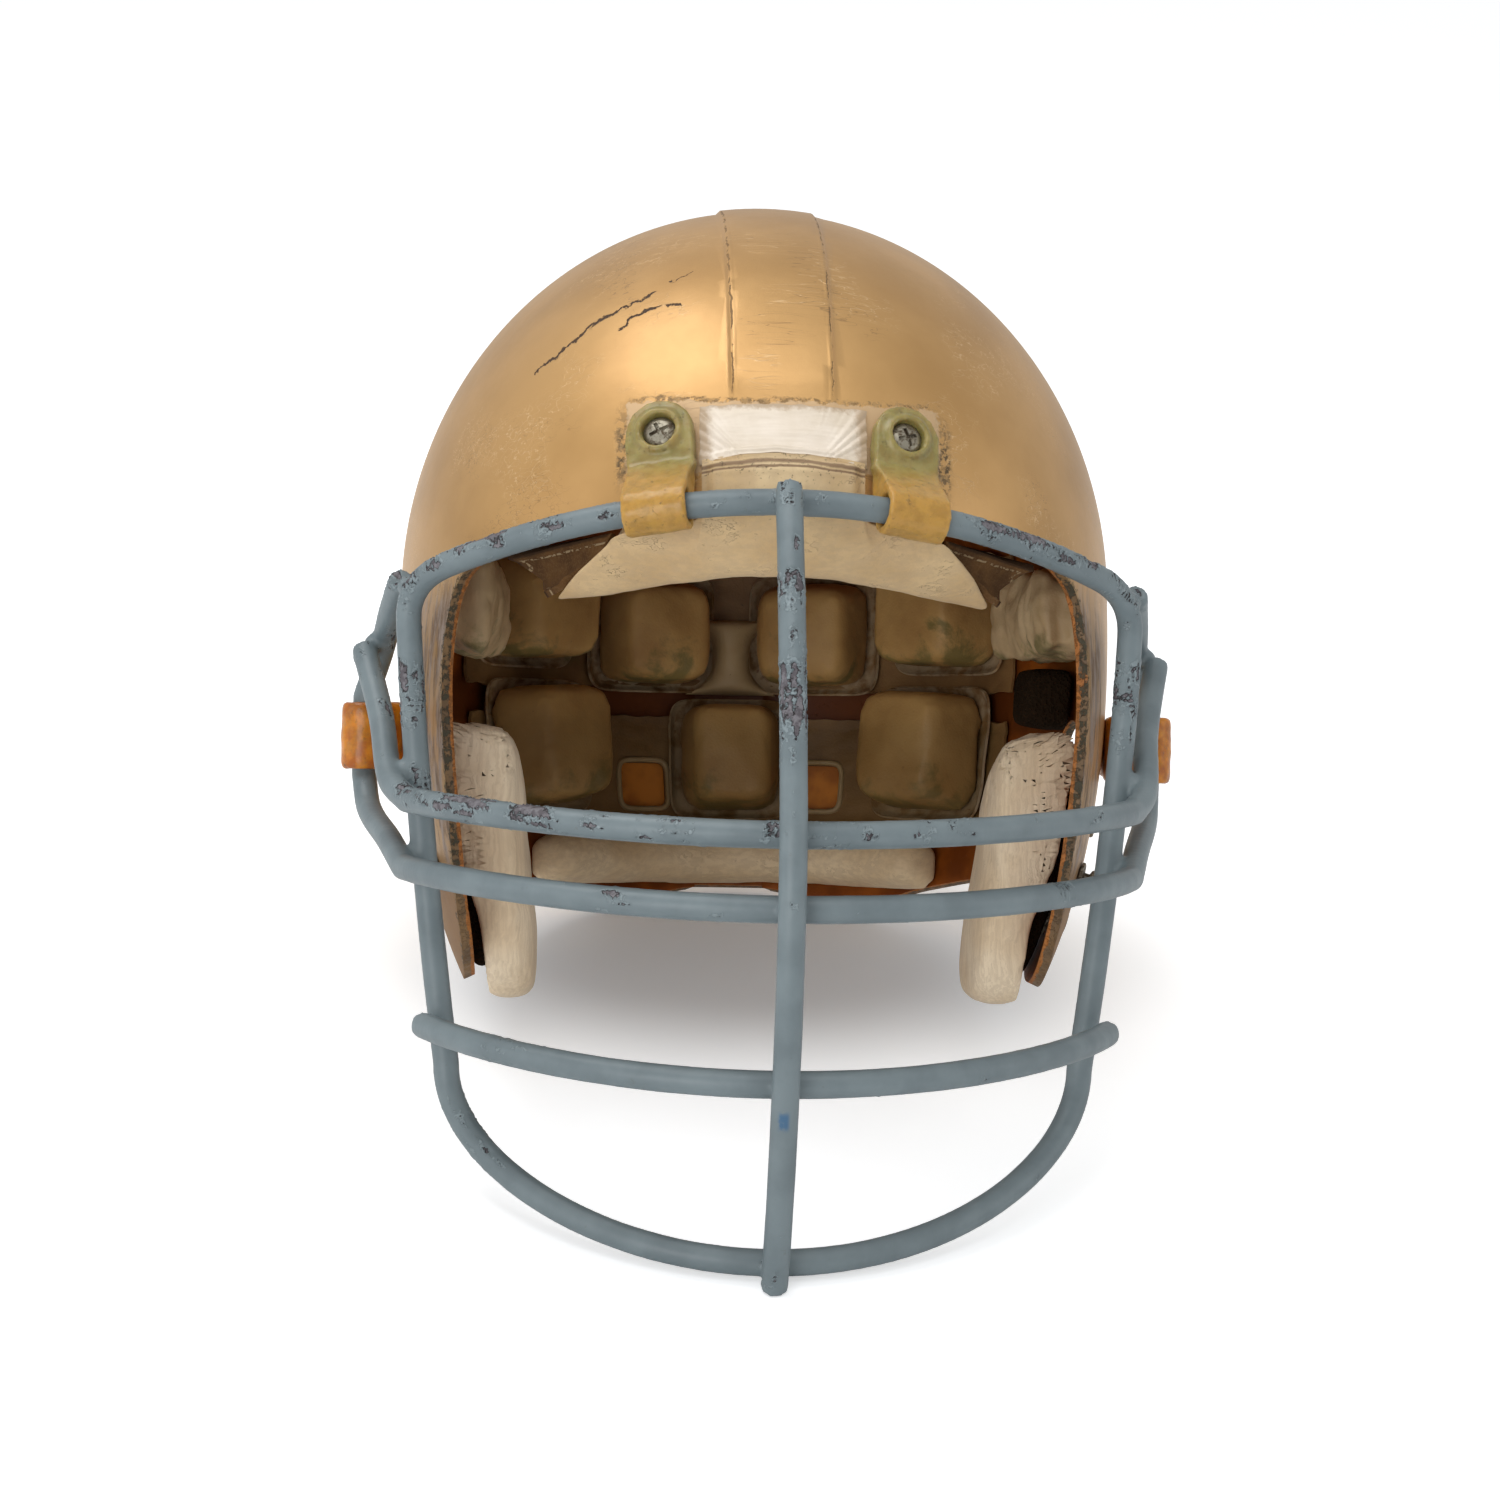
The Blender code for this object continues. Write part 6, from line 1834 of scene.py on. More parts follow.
@dataclass(frozen=True)
class Hardware:
    """Straps, screws, tee nuts, studs and snaps."""

    gap: float = 0.0003
    tab: float = 0.0046
    head_radius: float = 0.0052
    head_height: float = 0.0022
    shank: float = 0.0020
    screw_end: float = 0.0026
    slot_width: float = 0.0012
    slot_turn: float = 0.35
    flange_radius: float = 0.0060
    flange: float = 0.0012
    front_spread: float = 0.0362
    front_height: float = 0.0425
    side_reach: float = 0.020
    side_drop: float = 0.049
    stud_reach: float = 0.060
    stud_drop: float = 0.092
    snaps: tuple = ((0.036, 0.074), (0.026, 0.108))
    strap_voxel: float = 0.0006
    loop_narrowing: float = 0.10

    def build(self, mask: FaceMask) -> None:
        """Model and register every strap, screw, nut, stud and snap.

        Args:
            mask: The face mask.
        """
        patterns = screw, nut, stud, snap = self._screw(), self._nut(), self._stud(self.gap), self._stud(0.0010)
        for side in Side:
            for where, finish, slot in (("front", CLEAR, Slot.CLEAR_STRAP), ("side", AMBER, Slot.AMBER_STRAP)):
                node = f"{where}_strap_{side.label}"
                self._strap(node, finish, slot)
                place = self._front_frame(side, mask) if where == "front" else self._side_frame(side)
                self._copy(screw, f"{node}_bolt", place, TARNISHED, Slot.STEEL, f"{node}_screw")
                self._copy(nut, f"{node}_flanged_nut", place, TARNISHED, Slot.STEEL, f"{node}_tee_nut")
            place = self._flank(side, self.stud_reach, self.stud_drop, False)
            self._copy(stud, f"chin_strap_post_{side.label}", place, SNAP_METAL, Slot.SNAP,
                       f"chin_strap_stud_{side.label}")
            for level, (reach, drop) in zip(("upper", "lower"), self.snaps):
                place = self._flank(side, reach, drop, True)
                self._copy(snap, f"snap_post_{side.label}_{level}", place, SNAP_METAL, Slot.SNAP,
                           f"jaw_snap_{side.label}_{level}")
        for pattern in patterns:
            bpy.data.objects.remove(pattern, do_unlink=True)

    def _strap(self, node: str, finish: Finish, slot: Slot) -> None:
        """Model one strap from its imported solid.

        Args:
            node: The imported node.
            finish: Its finish.
            slot: The record's slot.
        """
        strap = Bench.packed(f"moulded_{node}", node)
        front = slot is Slot.CLEAR_STRAP
        Bench.remesh(strap, self.strap_voxel, 9 if front else 40, 0.6)
        Bench.push(strap, lambda spot, _: (0.00012 if front else 0.0006) + 0.00025 * noise.noise(spot * 260))
        if front:
            middle = math.copysign(self.front_spread, strap.data.vertices[0].co.x)
            for vertex in strap.data.vertices:
                narrow = self.loop_narrowing * smooth_share(-vertex.co.z, -0.0345, -0.0310)
                vertex.co.x = middle + (vertex.co.x - middle) * (1 - narrow)
        Bench.done(strap, slot, finish, nodes=[node], sharp=80)

    def _screw(self) -> Piece:
        """Return the pattern of a domed screw with a cross slot.

        Returns:
            The piece.
        """
        under = self.gap * 3 + self.tab / 2
        top = under + self.head_height
        radius = self.head_radius
        dome = ((0.97, 0.0), (1.0, 0.12), (0.985, 0.30), (0.90, 0.58), (0.72, 0.82), (0.45, 0.95))
        profile = [(self.shank, -FORM.wall - self.screw_end), (self.shank, under)]
        profile += [(share * radius, under + rise * self.head_height) for share, rise in dome]
        screw = Bench.lathe("screw_pattern", profile + [(0.12 * radius, top)], 48)
        for turn in (0.0, math.pi / 2):
            Bench.cut(screw, Bench.add(bpy.ops.mesh.primitive_cube_add, size=1, location=(0, 0, top),
                                       rotation=(0, 0, turn + self.slot_turn),
                                       scale=(1.15 * radius, self.slot_width, 1.1 * self.head_height)))
        return screw

    def _nut(self) -> Piece:
        """Return the pattern of a flanged nut.

        Returns:
            The piece.
        """
        inner, barrel = -FORM.wall - 0.0015, self.shank + 0.0011
        flange = ((0.97, 1.0), (1.0, 0.7), (1.0, 0.2), (0.97, 0.0))
        profile = [(share * self.flange_radius, inner - depth * self.flange) for share, depth in flange]
        return Bench.lathe("nut_pattern", profile + [(barrel, inner), (barrel, -self.gap)])

    @staticmethod
    def _stud(gap: float) -> Piece:
        """Turn a snap stud: its rivet inside the wall, its washer over a gap and its knob.

        Args:
            gap: Gap below its washer.

        Returns:
            The piece.
        """
        washer, height = gap + 0.0011, 0.0042
        foot = -FORM.wall - (0.0010 if gap < 0.0005 else 0.0003)
        knob = ((0.0029, 0.45), (0.0041, 0.58), (0.0044, 0.70), (0.0043, 0.88), (0.0035, 0.99), (0.0010, 1.0))
        profile = [(0.0041, foot - 0.0011), (0.0045, foot - 0.0007), (0.0045, foot), (0.0021, foot), (0.0021, gap),
                   (0.0060, gap), (0.0062, gap + 0.0003), (0.0061, washer - 0.0002), (0.0056, washer),
                   (0.0030, washer)]
        return Bench.lathe("stud_pattern", profile + [(radius, washer + share * height) for radius, share in knob])

    @staticmethod
    def _copy(pattern: Piece, name: str, place: Matrix, finish: Finish, slot: Slot, node: str) -> None:
        """Set a copy of a pattern in its place.

        Args:
            pattern: The piece to copy.
            name: Its name.
            place: The frame that it sits in.
            finish: Its finish.
            slot: The record's slot.
            node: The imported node.
        """
        piece = Bench.copy(name, pattern)
        piece.data.transform(place)
        Bench.done(piece, slot, finish, nodes=[node], sharp=35)

    @staticmethod
    def _flank(side: Side, reach: float, drop: float, inward: bool) -> Matrix:
        """Return the frame of a stud on the shell's flank.

        Args:
            side: The helmet's side.
            reach: Distance before the middle.
            drop: Distance below the middle.
            inward: Whether it sits inside the wall.

        Returns:
            The frame.
        """
        direction = FORM.side_at(side, -reach, -drop)
        normal = FORM.normal(direction)
        place = FORM.at(direction, FORM.wall) if inward else FORM.outer(direction)
        return seat(place, -normal if inward else normal, Vector((0, 0, 1)))

    def _front_frame(self, side: Side, mask: FaceMask) -> Matrix:
        """Return the frame of one front strap's screw.

        Args:
            side: The helmet's side.
            mask: The face mask.

        Returns:
            The frame.
        """
        last = mask.hoop_half - mask.corner_bend
        brow = mask.half_hoop()[0:25:3]
        near = min(range(1, 8), key=lambda k: abs(last * k / 8 - self.front_spread))
        heading = brow[near + 1] - brow[near - 1]
        heading.y *= side.value
        heading.z *= side.value
        direction = FORM.front_at(side.value * self.front_spread, self.front_height)
        return self._strap_frame(heading.normalized(), direction)

    def _side_frame(self, side: Side) -> Matrix:
        """Return the frame of one side strap's screw."""
        direction = FORM.side_at(side, -self.side_reach, -self.side_drop)
        return self._strap_frame(Vector((0, 0, side.value)), direction)

    @staticmethod
    def _strap_frame(heading: Vector, direction: Vector) -> Matrix:
        """Return a strap's frame, square to the wire that it holds."""
        normal = FORM.normal(direction)
        return seat(FORM.outer(direction), normal - heading * normal.dot(heading), heading)


@dataclass(frozen=True)
class BrowStrip:
    """The blank film strip between the front straps, slack along its lower edge."""

    half_width: float = 0.0250
    bottom: float = 0.0345
    top: float = 0.0530
    lift: float = 0.0007
    thickness: float = 0.0003

    def build(self) -> None:
        """Model and register the strip."""
        strip = Bench.grid("blank_strip", 120, 44, self._spot, self.thickness)
        Bench.done(strip, Slot.STRIP, STRIP, nodes=["front_strip"], sharp=70)

    def _spot(self, u: float, v: float) -> Vector:
        """Return a place on the strip, with its folds and its slack hem.

        Args:
            u: Share of the way across, from 0 to 1.
            v: Share of the way up or out, from 0 to 1.

        Returns:
            The place or direction.
        """
        across = 2 * u - 1
        x = self.half_width * across
        arch = 1 - across ** 2
        end = smooth_share(abs(across), 0.62, 1.0)
        low = self.bottom + 0.0030 * arch - 0.0008 * end + 0.0007 * wave(x * 130, 0, 1)
        high = self.top - 0.0012 * across ** 2 + 0.0004 * wave(x * 300, 4, 1)
        z = low + (high - low) * v
        x += 0.0006 * wave(x * 240, z * 240, 2) * smooth_share(abs(across), 0.9, 1)
        fan = math.atan2(z - self.bottom + 0.004, abs(x) - 0.006)
        fold = 0.0011 * abs(wave(fan * 7.5, x * 6, 5)) * smooth_share(abs(across), 0.35, 0.75)
        hem = 0.0007 * max(0.0, 1 - abs(v - 0.10) / 0.06) * (0.4 + 0.6 * arch)
        slack = 0.0010 * smooth_share(1 - v, 0.82, 1) * arch
        return FORM.at(FORM.front_at(x, z), -self.lift - fold - hem - slack)


# ------------------------------------------------------------------ soft pieces


@dataclass(frozen=True)
class FrontPad:
    """The leather front pad, rolled over the brow edge, with a suede tab at each end."""

    half_top: float = 0.047
    half_bottom: float = 0.081
    top: float = 0.0305
    bottom: float = 0.001
    side_rise: float = 0.006
    flare: float = 3
    tab_thickness: float = 0.0022
    tab_rounding: float = 0.0006
    tab_gap: float = 0.0032
    tab_outer: float = 0.0875
    tab_fall: float = 0.0062
    tab_climb: float = 0.0108
    tab_lean: float = 0.0040
    tab_top: float = 0.0145
    tab_tip: float = -0.003
    leather: float = 0.0017
    lip_half: float = 0.0243
    lip_bottom: float = 0.0205
    lip_top: float = 0.0352
    lip_thickness: float = 0.0007

    def half_width(self, height: float) -> float:
        """Return the pad's half width at a height.

        Args:
            height: Height over the middle.

        Returns:
            The number.
        """
        span = self.top - self.bottom + self.side_rise
        fall = min(1, max(0, (self.top - height) / span))
        return self.half_top + (self.half_bottom - self.half_top) * fall ** self.flare

    def build(self) -> None:
        """Model and register the pad and its tabs."""
        pad = Bench.packed("leather_front_pad", "front_pad")
        turn = math.radians(60)
        Bench.edit(pad, lambda: bpy.ops.mesh.tris_convert_to_quads(face_threshold=turn, shape_threshold=turn))
        Bench.subdivide(pad, 2)
        Bench.push(pad, lambda spot, _: 0.0006 * noise.noise(spot * 60) + 0.0002 * noise.noise(spot * 240))
        Bench.done(pad, Slot.LEATHER, CREAM, nodes=["front_pad"], padded=0.7, sharp=80)
        lip = Bench.grid("leather_brow_lip", 72, 26, self._lip, self.lip_thickness)
        Bench.done(lip, Slot.LEATHER, LIP, sharp=70)
        for side in Side:
            name = f"front_pad_tab_{side.label}"
            tab = Bench.grid(f"suede_{name}", 28, 22, lambda u, v: self._tab(side, u, v))
            rim = [self._tab(side, 1 - k / 20, 0) for k in range(19, -1, -1)]
            rim += [self._tab(side, 1, k / 20) for k in range(21)] + [self._tab(side, 0, 1)]
            Bench.mark(tab, "hem", lambda spot, _: line_distance(spot, rim))
            Bench.thicken(tab, self.tab_thickness, use_even_offset=True)
            Bench.soften(tab, self.tab_rounding, 50)
            Bench.done(tab, Slot.SUEDE, SUEDE, nodes=[name])

    def _lip(self, u: float, v: float) -> Vector:
        """Return a place on the leather's upper edge, which lies folded under the strip.

        Args:
            u: Share of the way across, from 0 to 1.
            v: Share of the way up or out, from 0 to 1.

        Returns:
            The place or direction.
        """
        across = 2 * u - 1
        x = self.lip_half * across
        z = self.lip_bottom + (self.lip_top - self.lip_bottom) * v + 0.0024 * (1 - across ** 2) * v
        over = (1 - smooth_share(abs(x), 0.0200, 0.0232)) * (1 - smooth_share(z, 0.0335, 0.0352))
        fold = 0.0004 * abs(math.sin(v * 17)) * smooth_share(v, 0.55, 0.70)
        sag = 0.0003 * wave(x * 120, z * 120, 6)
        return FORM.at(FORM.front_at(x, z), -0.0008 - self.leather * 1.05 * over - fold - sag)

    def _tab(self, side: Side, u: float, v: float) -> Vector:
        """Return a place on a tab, which bows in behind the brow.

        Args:
            side: The helmet's side.
            u: Share of the way across, from 0 to 1.
            v: Share of the way up or out, from 0 to 1.

        Returns:
            The place or direction.
        """
        top = self.tab_top - self.tab_fall * u ** 1.3
        bottom = self.tab_tip + self.tab_climb * u ** 1.25
        height = top + (bottom - top) * v
        inner = self.half_width(self.tab_top + (self.tab_tip - self.tab_top) * v) + self.tab_gap - 0.0012 * v
        x = inner + (self.tab_outer - inner) * u
        bow = 0.0045 * math.sin(math.pi * u) * (0.4 + 0.6 * v) + 0.0007 * wave(x * 130, height * 130, 130)
        inset = FORM.wall + 0.0010 + self.tab_thickness / 2 + bow + self.tab_lean * v
        return FORM.at(FORM.front_at(side.value * x, height), inset)


@dataclass(frozen=True)
class JawPads:
    """The two snap in jaw pads."""

    cap: float = 0.0010
    voxel: float = 0.0019
    base_voxel: float = 0.0016
    base_shift: float = 0.005
    fray_reach: float = 0.010
    top_fill: float = 0.0030
    stretch: float = 0.0040
    base_share: float = 0.70
    flare: float = 0.0062
    flare_depth: float = 0.0130
    shoulder: float = 0.0026

    def take(self, stuffing: Stuffing) -> list[Callable[[], None]]:
        """Queue both cushions and return the steps that finish them.

        Args:
            stuffing: What swells them.

        Returns:
            The steps, in the order of the pieces.
        """
        steps = []
        for side in Side:
            name = f"jaw_pad_{side.label}"
            pad = stuffing.take(f"leather_{name}", f"{name}_cushion", self.cap,
                                lambda spot, normal, s=side: smooth_share(-normal.x * s.value, -0.6, 0.2),
                                self.voxel)
            base = Bench.packed(f"foam_{name}", f"{name}_base")
            Bench.remesh(base, self.base_voxel, 4)
            steps.append(lambda p=pad, b=base, s=side, n=name: self._finish(p, b, s, n))
        return steps

    def _finish(self, pad: Piece, base: Piece, side: Side, name: str) -> None:
        """Shape, crease and register one pad.

        Args:
            pad: The cushion.
            base: The foam below the cushion.
            side: The helmet's side.
            name: The body's name.
        """
        (front, _), (low, high) = Bench.span(pad, 1), Bench.span(pad, 2)
        for vertex in pad.data.vertices:
            rise = (vertex.co.z - low) / (high - low)
            inner = smooth_share(-vertex.normal.x * side.value, 0.0, 0.6)
            vertex.co.x -= side.value * self.top_fill * inner * smooth_share(rise, 0.55, 0.92)
            vertex.co.z += self.stretch * (0.5 * rise ** 2 - (1 - rise) ** 2)
            ahead = 1 - smooth_share(vertex.co.y - front, 0.0, self.flare_depth)
            outer = smooth_share(vertex.normal.x * side.value, -0.2, 0.5)
            vertex.co.x += side.value * self.flare * ahead * outer * smooth_share(rise, 0.25, 0.60)
            vertex.co.z += self.shoulder * ahead * outer * smooth_share(rise, 0.70, 1.0)
        middle = sum((vertex.co for vertex in base.data.vertices), Vector()) / len(base.data.vertices)
        for vertex in base.data.vertices:
            vertex.co.y = middle.y + self.base_shift + (vertex.co.y - middle.y) * self.base_share

        def crumple(spot: Vector, normal: Vector) -> float:
            """Return the leather's creases and frayed corner.

            Args:
                spot: The place.
                normal: The outward normal there.

            Returns:
                The number.
            """
            fold = max(0.0, 1 - abs(wave(spot.y * 40, spot.z * 11, side.value)) * 9)
            height = 0.0006 * noise.noise(spot * 50) - 0.0007 * fold * smooth_share(-normal.x * side.value, 0.2, 0.7)
            corner = math.hypot(spot.z - low, spot.y - front) / self.fray_reach
            if side is Side.LEFT and corner < 1.4:
                height += 0.0012 * noise.noise(spot * 900) * (1.4 - corner)
            return height

        Bench.push(pad, crumple)
        body = Body.jaw_pad(side)
        Bench.done(pad, Slot.LEATHER, PAD_CREAM, nodes=[f"{name}_cushion"], padded=0.8, sharp=80, body=body)
        Bench.done(base, Slot.FOAM, BLACK_FOAM, nodes=[f"{name}_base"], padded=0.9, sharp=60, body=body)


@dataclass(frozen=True)
class Liner:
    """The vinyl liner: sheets against the shell, stuffed cells in trays, and the pads beside them."""

    sheet: float = 0.0013
    base: float = 0.0048
    tray_base: float = 0.0062
    tray: float = 0.0009
    crown_sheet: float = 0.098
    window_turn: float = math.radians(18)
    window_half: tuple = (0.0085, 0.009)
    window_frame: float = 0.0012
    window_drop: float = 0.0665
    tray_margin: tuple = (0.0040, 0.0024)
    block_voxel: float = 0.0012
    block_shift: tuple = (0.0020, 0.0080)
    stuffed_cap: float = 0.0014
    rolled_cap: float = 0.0030
    slack: float = 0.0064
    slack_uneven: float = 0.0022

    def cells(self) -> dict[str, tuple[float, float, float, float]]:
        """Return each wall cell's turn from the back, height, half width and half height.

        Returns:
            The sizes by the cell's name.
        """
        spots = {"back": (0.0, -0.0565, 0.0240, 0.0215)}
        for side in Side:
            s = side.value
            spots[f"upper_{side.label}"] = (s * math.radians(17), -0.006, 0.0265, 0.0215)
            spots[f"side_{side.label}"] = (s * math.radians(47), 0.002, 0.0265, 0.0215)
            spots[f"lower_{side.label}"] = (s * math.radians(44), -0.0525, 0.0265, 0.0235)
        return spots

    def take(self, stuffing: Stuffing) -> list[Callable[[], None]]:
        """Queue every cushion and return the steps that finish them.

        Args:
            stuffing: What swells them.

        Returns:
            The steps, in the order of the pieces.
        """
        steps = []

        def away(spot: Vector, normal: Vector) -> float:
            """Return 1 where the cushion faces the head and 0 where it rests."""
            return smooth_share(-normal.dot(FORM.normal(spot)), -0.5, 0.3)

        cells = [f"liner_cell_{label}" for label in self.cells()] + [f"crown_cell_{k}" for k in range(1, 8)]
        temples = [f"temple_pad_{side.label}" for side in Side]
        jobs = [(node, "stuffed", self.stuffed_cap, CELL_VINYL, Slot.CELL, 0.8) for node in cells]
        jobs += [(node, "crumpled", self.rolled_cap, TEMPLE_VINYL, Slot.SHEET, 0.3) for node in temples]
        jobs.append(("neck_pad", "rolled", self.rolled_cap, NECK_CREAM, Slot.LEATHER, 0.8))
        for node, word, cap, finish, slot, fill in jobs:
            piece = stuffing.take(f"{word}_{node}", node, cap, away, 0.0024 if "cell" in node else None)
            steps.append(lambda p=piece, n=node, f=finish, s=slot, l=fill: self._finish(p, n, f, s, l))
        return steps

    def _finish(self, piece: Piece, node: str, finish: Finish, slot: Slot, fill: float) -> None:
        """Crease and register one cushion.

        Args:
            piece: The piece.
            node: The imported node.
            finish: Its finish.
            slot: The record's slot.
            fill: How full it is.
        """
        if slot is Slot.SHEET:
            Bench.push(piece, self._crumple)
        else:
            Bench.push(piece, lambda spot, _: 0.0007 * noise.noise(spot * 45) + 0.00015 * noise.noise(spot * 230))
        low, high = Bench.span(piece, 2)
        Bench.mark(piece, "low", lambda spot, _: ((high + low) / 2 - spot.z) / ((high - low) / 2))
        Bench.done(piece, slot, finish, nodes=[node], padded=fill, sharp=80)

    def _crumple(self, spot: Vector, normal: Vector) -> float:
        """Return the slack vinyl's folds.

        Args:
            spot: The place.
            normal: The outward normal there.

        Returns:
            The number.
        """
        slack = self.slack - math.copysign(self.slack_uneven, spot.x)
        creases = 0.0040 * abs(noise.noise(spot * 55)) + 0.0017 * abs(noise.noise(spot * 170))
        return slack * smooth_share(-normal.dot(FORM.normal(spot)), 0.1, 0.8) - creases

    def build(self) -> None:
        """Model and register the sheets, trays, rims, link and foam block."""
        self._wall_sheet("liner_upper_sheet", math.radians(62), 0.024, -0.0285, ())
        self._wall_sheet("liner_lower_sheet", math.radians(61), -0.0395, -0.0805, tuple(Side))
        self._crown_sheet()
        for label, (turn, height, half_width, half_height) in self.cells().items():
            chart = FORM.on_wall(math.pi - turn, height)
            wide, high = self.tray_margin
            self._tray(f"cell_tray_{label}", chart, half_width + wide, half_height + high)
        for side in Side:
            self._window_rim(side)
        self._link()
        block = Bench.packed("foam_rubber_block", "foam_block")
        Bench.remesh(block, self.block_voxel, 12)
        inward, back = self.block_shift
        block.data.transform(Matrix.Translation((-math.copysign(inward, block.data.vertices[0].co.x), back, 0.0)))
        Bench.done(block, Slot.FOAM, BLACK_FOAM, nodes=["foam_block"], padded=0.9, sharp=70)

    def _wall_sheet(self, node: str, turn: float, top: float, bottom: float, windows: Sequence[Side]) -> None:
        """Lay one sheet round the wall.

        Args:
            node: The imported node.
            turn: How far it goes round, either way from the back.
            top: Height of its top.
            bottom: Height of its foot.
            windows: The sides that have a window.
        """
        def spot(u: float, v: float) -> Vector:
            """Return a place on the sheet.

            Args:
                u: Share of the way across, from 0 to 1.
                v: Share of the way up or out, from 0 to 1.

            Returns:
                The place or direction.
            """
            azimuth = math.pi + turn * (2 * u - 1)
            height = top + (bottom - top) * v
            place = Vector((u * 9, v * 3, len(node)))
            wrinkle = 0.0016 * abs(noise.noise(place * 2.2)) + 0.0010 * abs(noise.noise(place * 6))
            edge = smooth_share(abs(2 * v - 1), 0.86, 1.0) * 0.0007
            height += 0.0022 * noise.noise(place * 3.0) * smooth_share(abs(2 * v - 1), 0.5, 1.0)
            return FORM.at(FORM.around(azimuth, height), self.base + self.sheet / 2 + wrinkle * 0.5 + edge)

        piece = Bench.grid(f"moulded_{node}", 120, 28, spot, self.sheet * 0.8)
        for side in windows:
            Bench.cut(piece, self._window_tool(side))
        Bench.done(piece, Slot.SHEET, SHADED_SHEET_VINYL, nodes=[node])

    def _window_frame(self, side: Side) -> Matrix:
        """Return the frame of one window."""
        direction = FORM.around(math.pi - side.value * self.window_turn, -self.window_drop)
        return seat(FORM.at(direction, self.base), FORM.normal(direction), Vector((0, 0, 1)))

    def _window_tool(self, side: Side) -> Piece:
        """Return the block that cuts a window.

        Args:
            side: The helmet's side.

        Returns:
            The piece.
        """
        tool = Bench.add(bpy.ops.mesh.primitive_cube_add, size=2, scale=(*self.window_half, 0.01))
        Bench.modify(tool, "BEVEL", width=0.003, segments=5, limit_method="NONE")
        tool.data.transform(self._window_frame(side))
        return tool

    def _window_rim(self, side: Side) -> None:
        """Model the raised rim of one window.

        Args:
            side: The helmet's side.
        """
        place = self._window_frame(side)
        half_x, half_y = (half + self.window_frame for half in self.window_half)
        turns = [2 * math.pi * k / 48 for k in range(48)]
        corners = [(signed_power(math.cos(turn), 0.4), signed_power(math.sin(turn), 0.4)) for turn in turns]
        points = [place @ Vector((half_x * x, half_y * y, -0.0019)) for x, y in corners]
        rim = Bench.tube(f"window_rim_{side.label}", points, 0.0011, True, 4)
        Bench.done(rim, Slot.SHEET, BONE_VINYL)

    def _crown_sheet(self) -> None:
        """Lay the sheet over the crown."""
        def spot(u: float, v: float) -> Vector:
            """Return a place on the sheet.

            Args:
                u: Share of the way across, from 0 to 1.
                v: Share of the way up or out, from 0 to 1.

            Returns:
                The place or direction.
            """
            turn, radius = 2 * math.pi * u, self.crown_sheet * v
            x, y = radius * math.sin(turn), -radius * math.cos(turn)
            wrinkle = 0.0008 * abs(wave(x * 60, y * 60, 180))
            return FORM.at(FORM.crown_at(x, y), self.base + self.sheet / 2 + wrinkle)

        piece = Bench.grid("moulded_crown_sheet", 96, 24, spot, self.sheet * 0.8)
        Bench.done(piece, Slot.SHEET, SHADED_SHEET_VINYL, nodes=["liner_crown_sheet"])

    def _tray(self, name: str, chart: Place, half_width: float, half_height: float) -> None:
        """Model the formed tray below one cell.

        Args:
            name: Its name.
            chart: Its place on the shell.
            half_width: Half its width.
            half_height: Half its height.
        """
        def spot(u: float, v: float) -> Vector:
            """Return a place on the sheet.

            Args:
                u: Share of the way across, from 0 to 1.
                v: Share of the way up or out, from 0 to 1.

            Returns:
                The place or direction.
            """
            a, b = 2 * u - 1, 2 * v - 1
            far = max(abs(a), abs(b))
            ring = math.hypot(a, b)
            if ring:
                square = (abs(a) ** 7 + abs(b) ** 7) ** (1 / 7)
                a, b = a / ring * far * ring / square, b / ring * far * ring / square
            lip = 0.0026 * smooth_share(far, 0.90, 1.0)
            sway = 0.0005 * wave(a * 3, b * 3, half_width * 900) * far
            return FORM.at(chart(a * half_width, b * half_height), self.tray_base + lip + sway)

        tray = Bench.grid(name, 40, 36, spot, self.tray)
        Bench.mark(tray, "crest", lambda spot, _: smooth_share(
            (FORM.outer(spot) - spot).length, self.tray_base + 0.0004, self.tray_base + 0.0018))
        Bench.done(tray, Slot.SHEET, SHADED_SHEET_VINYL, sharp=80)

    def _link(self) -> None:
        """Model the raised link between the rows."""
        def spot(u: float, v: float) -> Vector:
            """Return a place on the sheet.

            Args:
                u: Share of the way across, from 0 to 1.
                v: Share of the way up or out, from 0 to 1.

            Returns:
                The place or direction.
            """
            turn = 2 * math.pi * u
            reach = 2 * v - 1
            half = 0.0088 + 0.0120 * abs(reach) ** 3
            rise = 0.0085 * math.sqrt(max(0.0, 1 - abs(reach) ** 9))
            x = half * math.cos(turn)
            out = max(0.0, math.sin(turn)) * rise
            height = -0.0155 + 0.0150 * reach
            chart = FORM.on_wall(math.pi, height)
            return FORM.at(chart(x, 0), self.tray_base + 0.0008 + out)

        link = Bench.grid("liner_link", 36, 30, spot)
        Bench.done(link, Slot.SHEET, BONE_VINYL, sharp=80)


# ------------------------------------------------------------------ camera, floor and lights


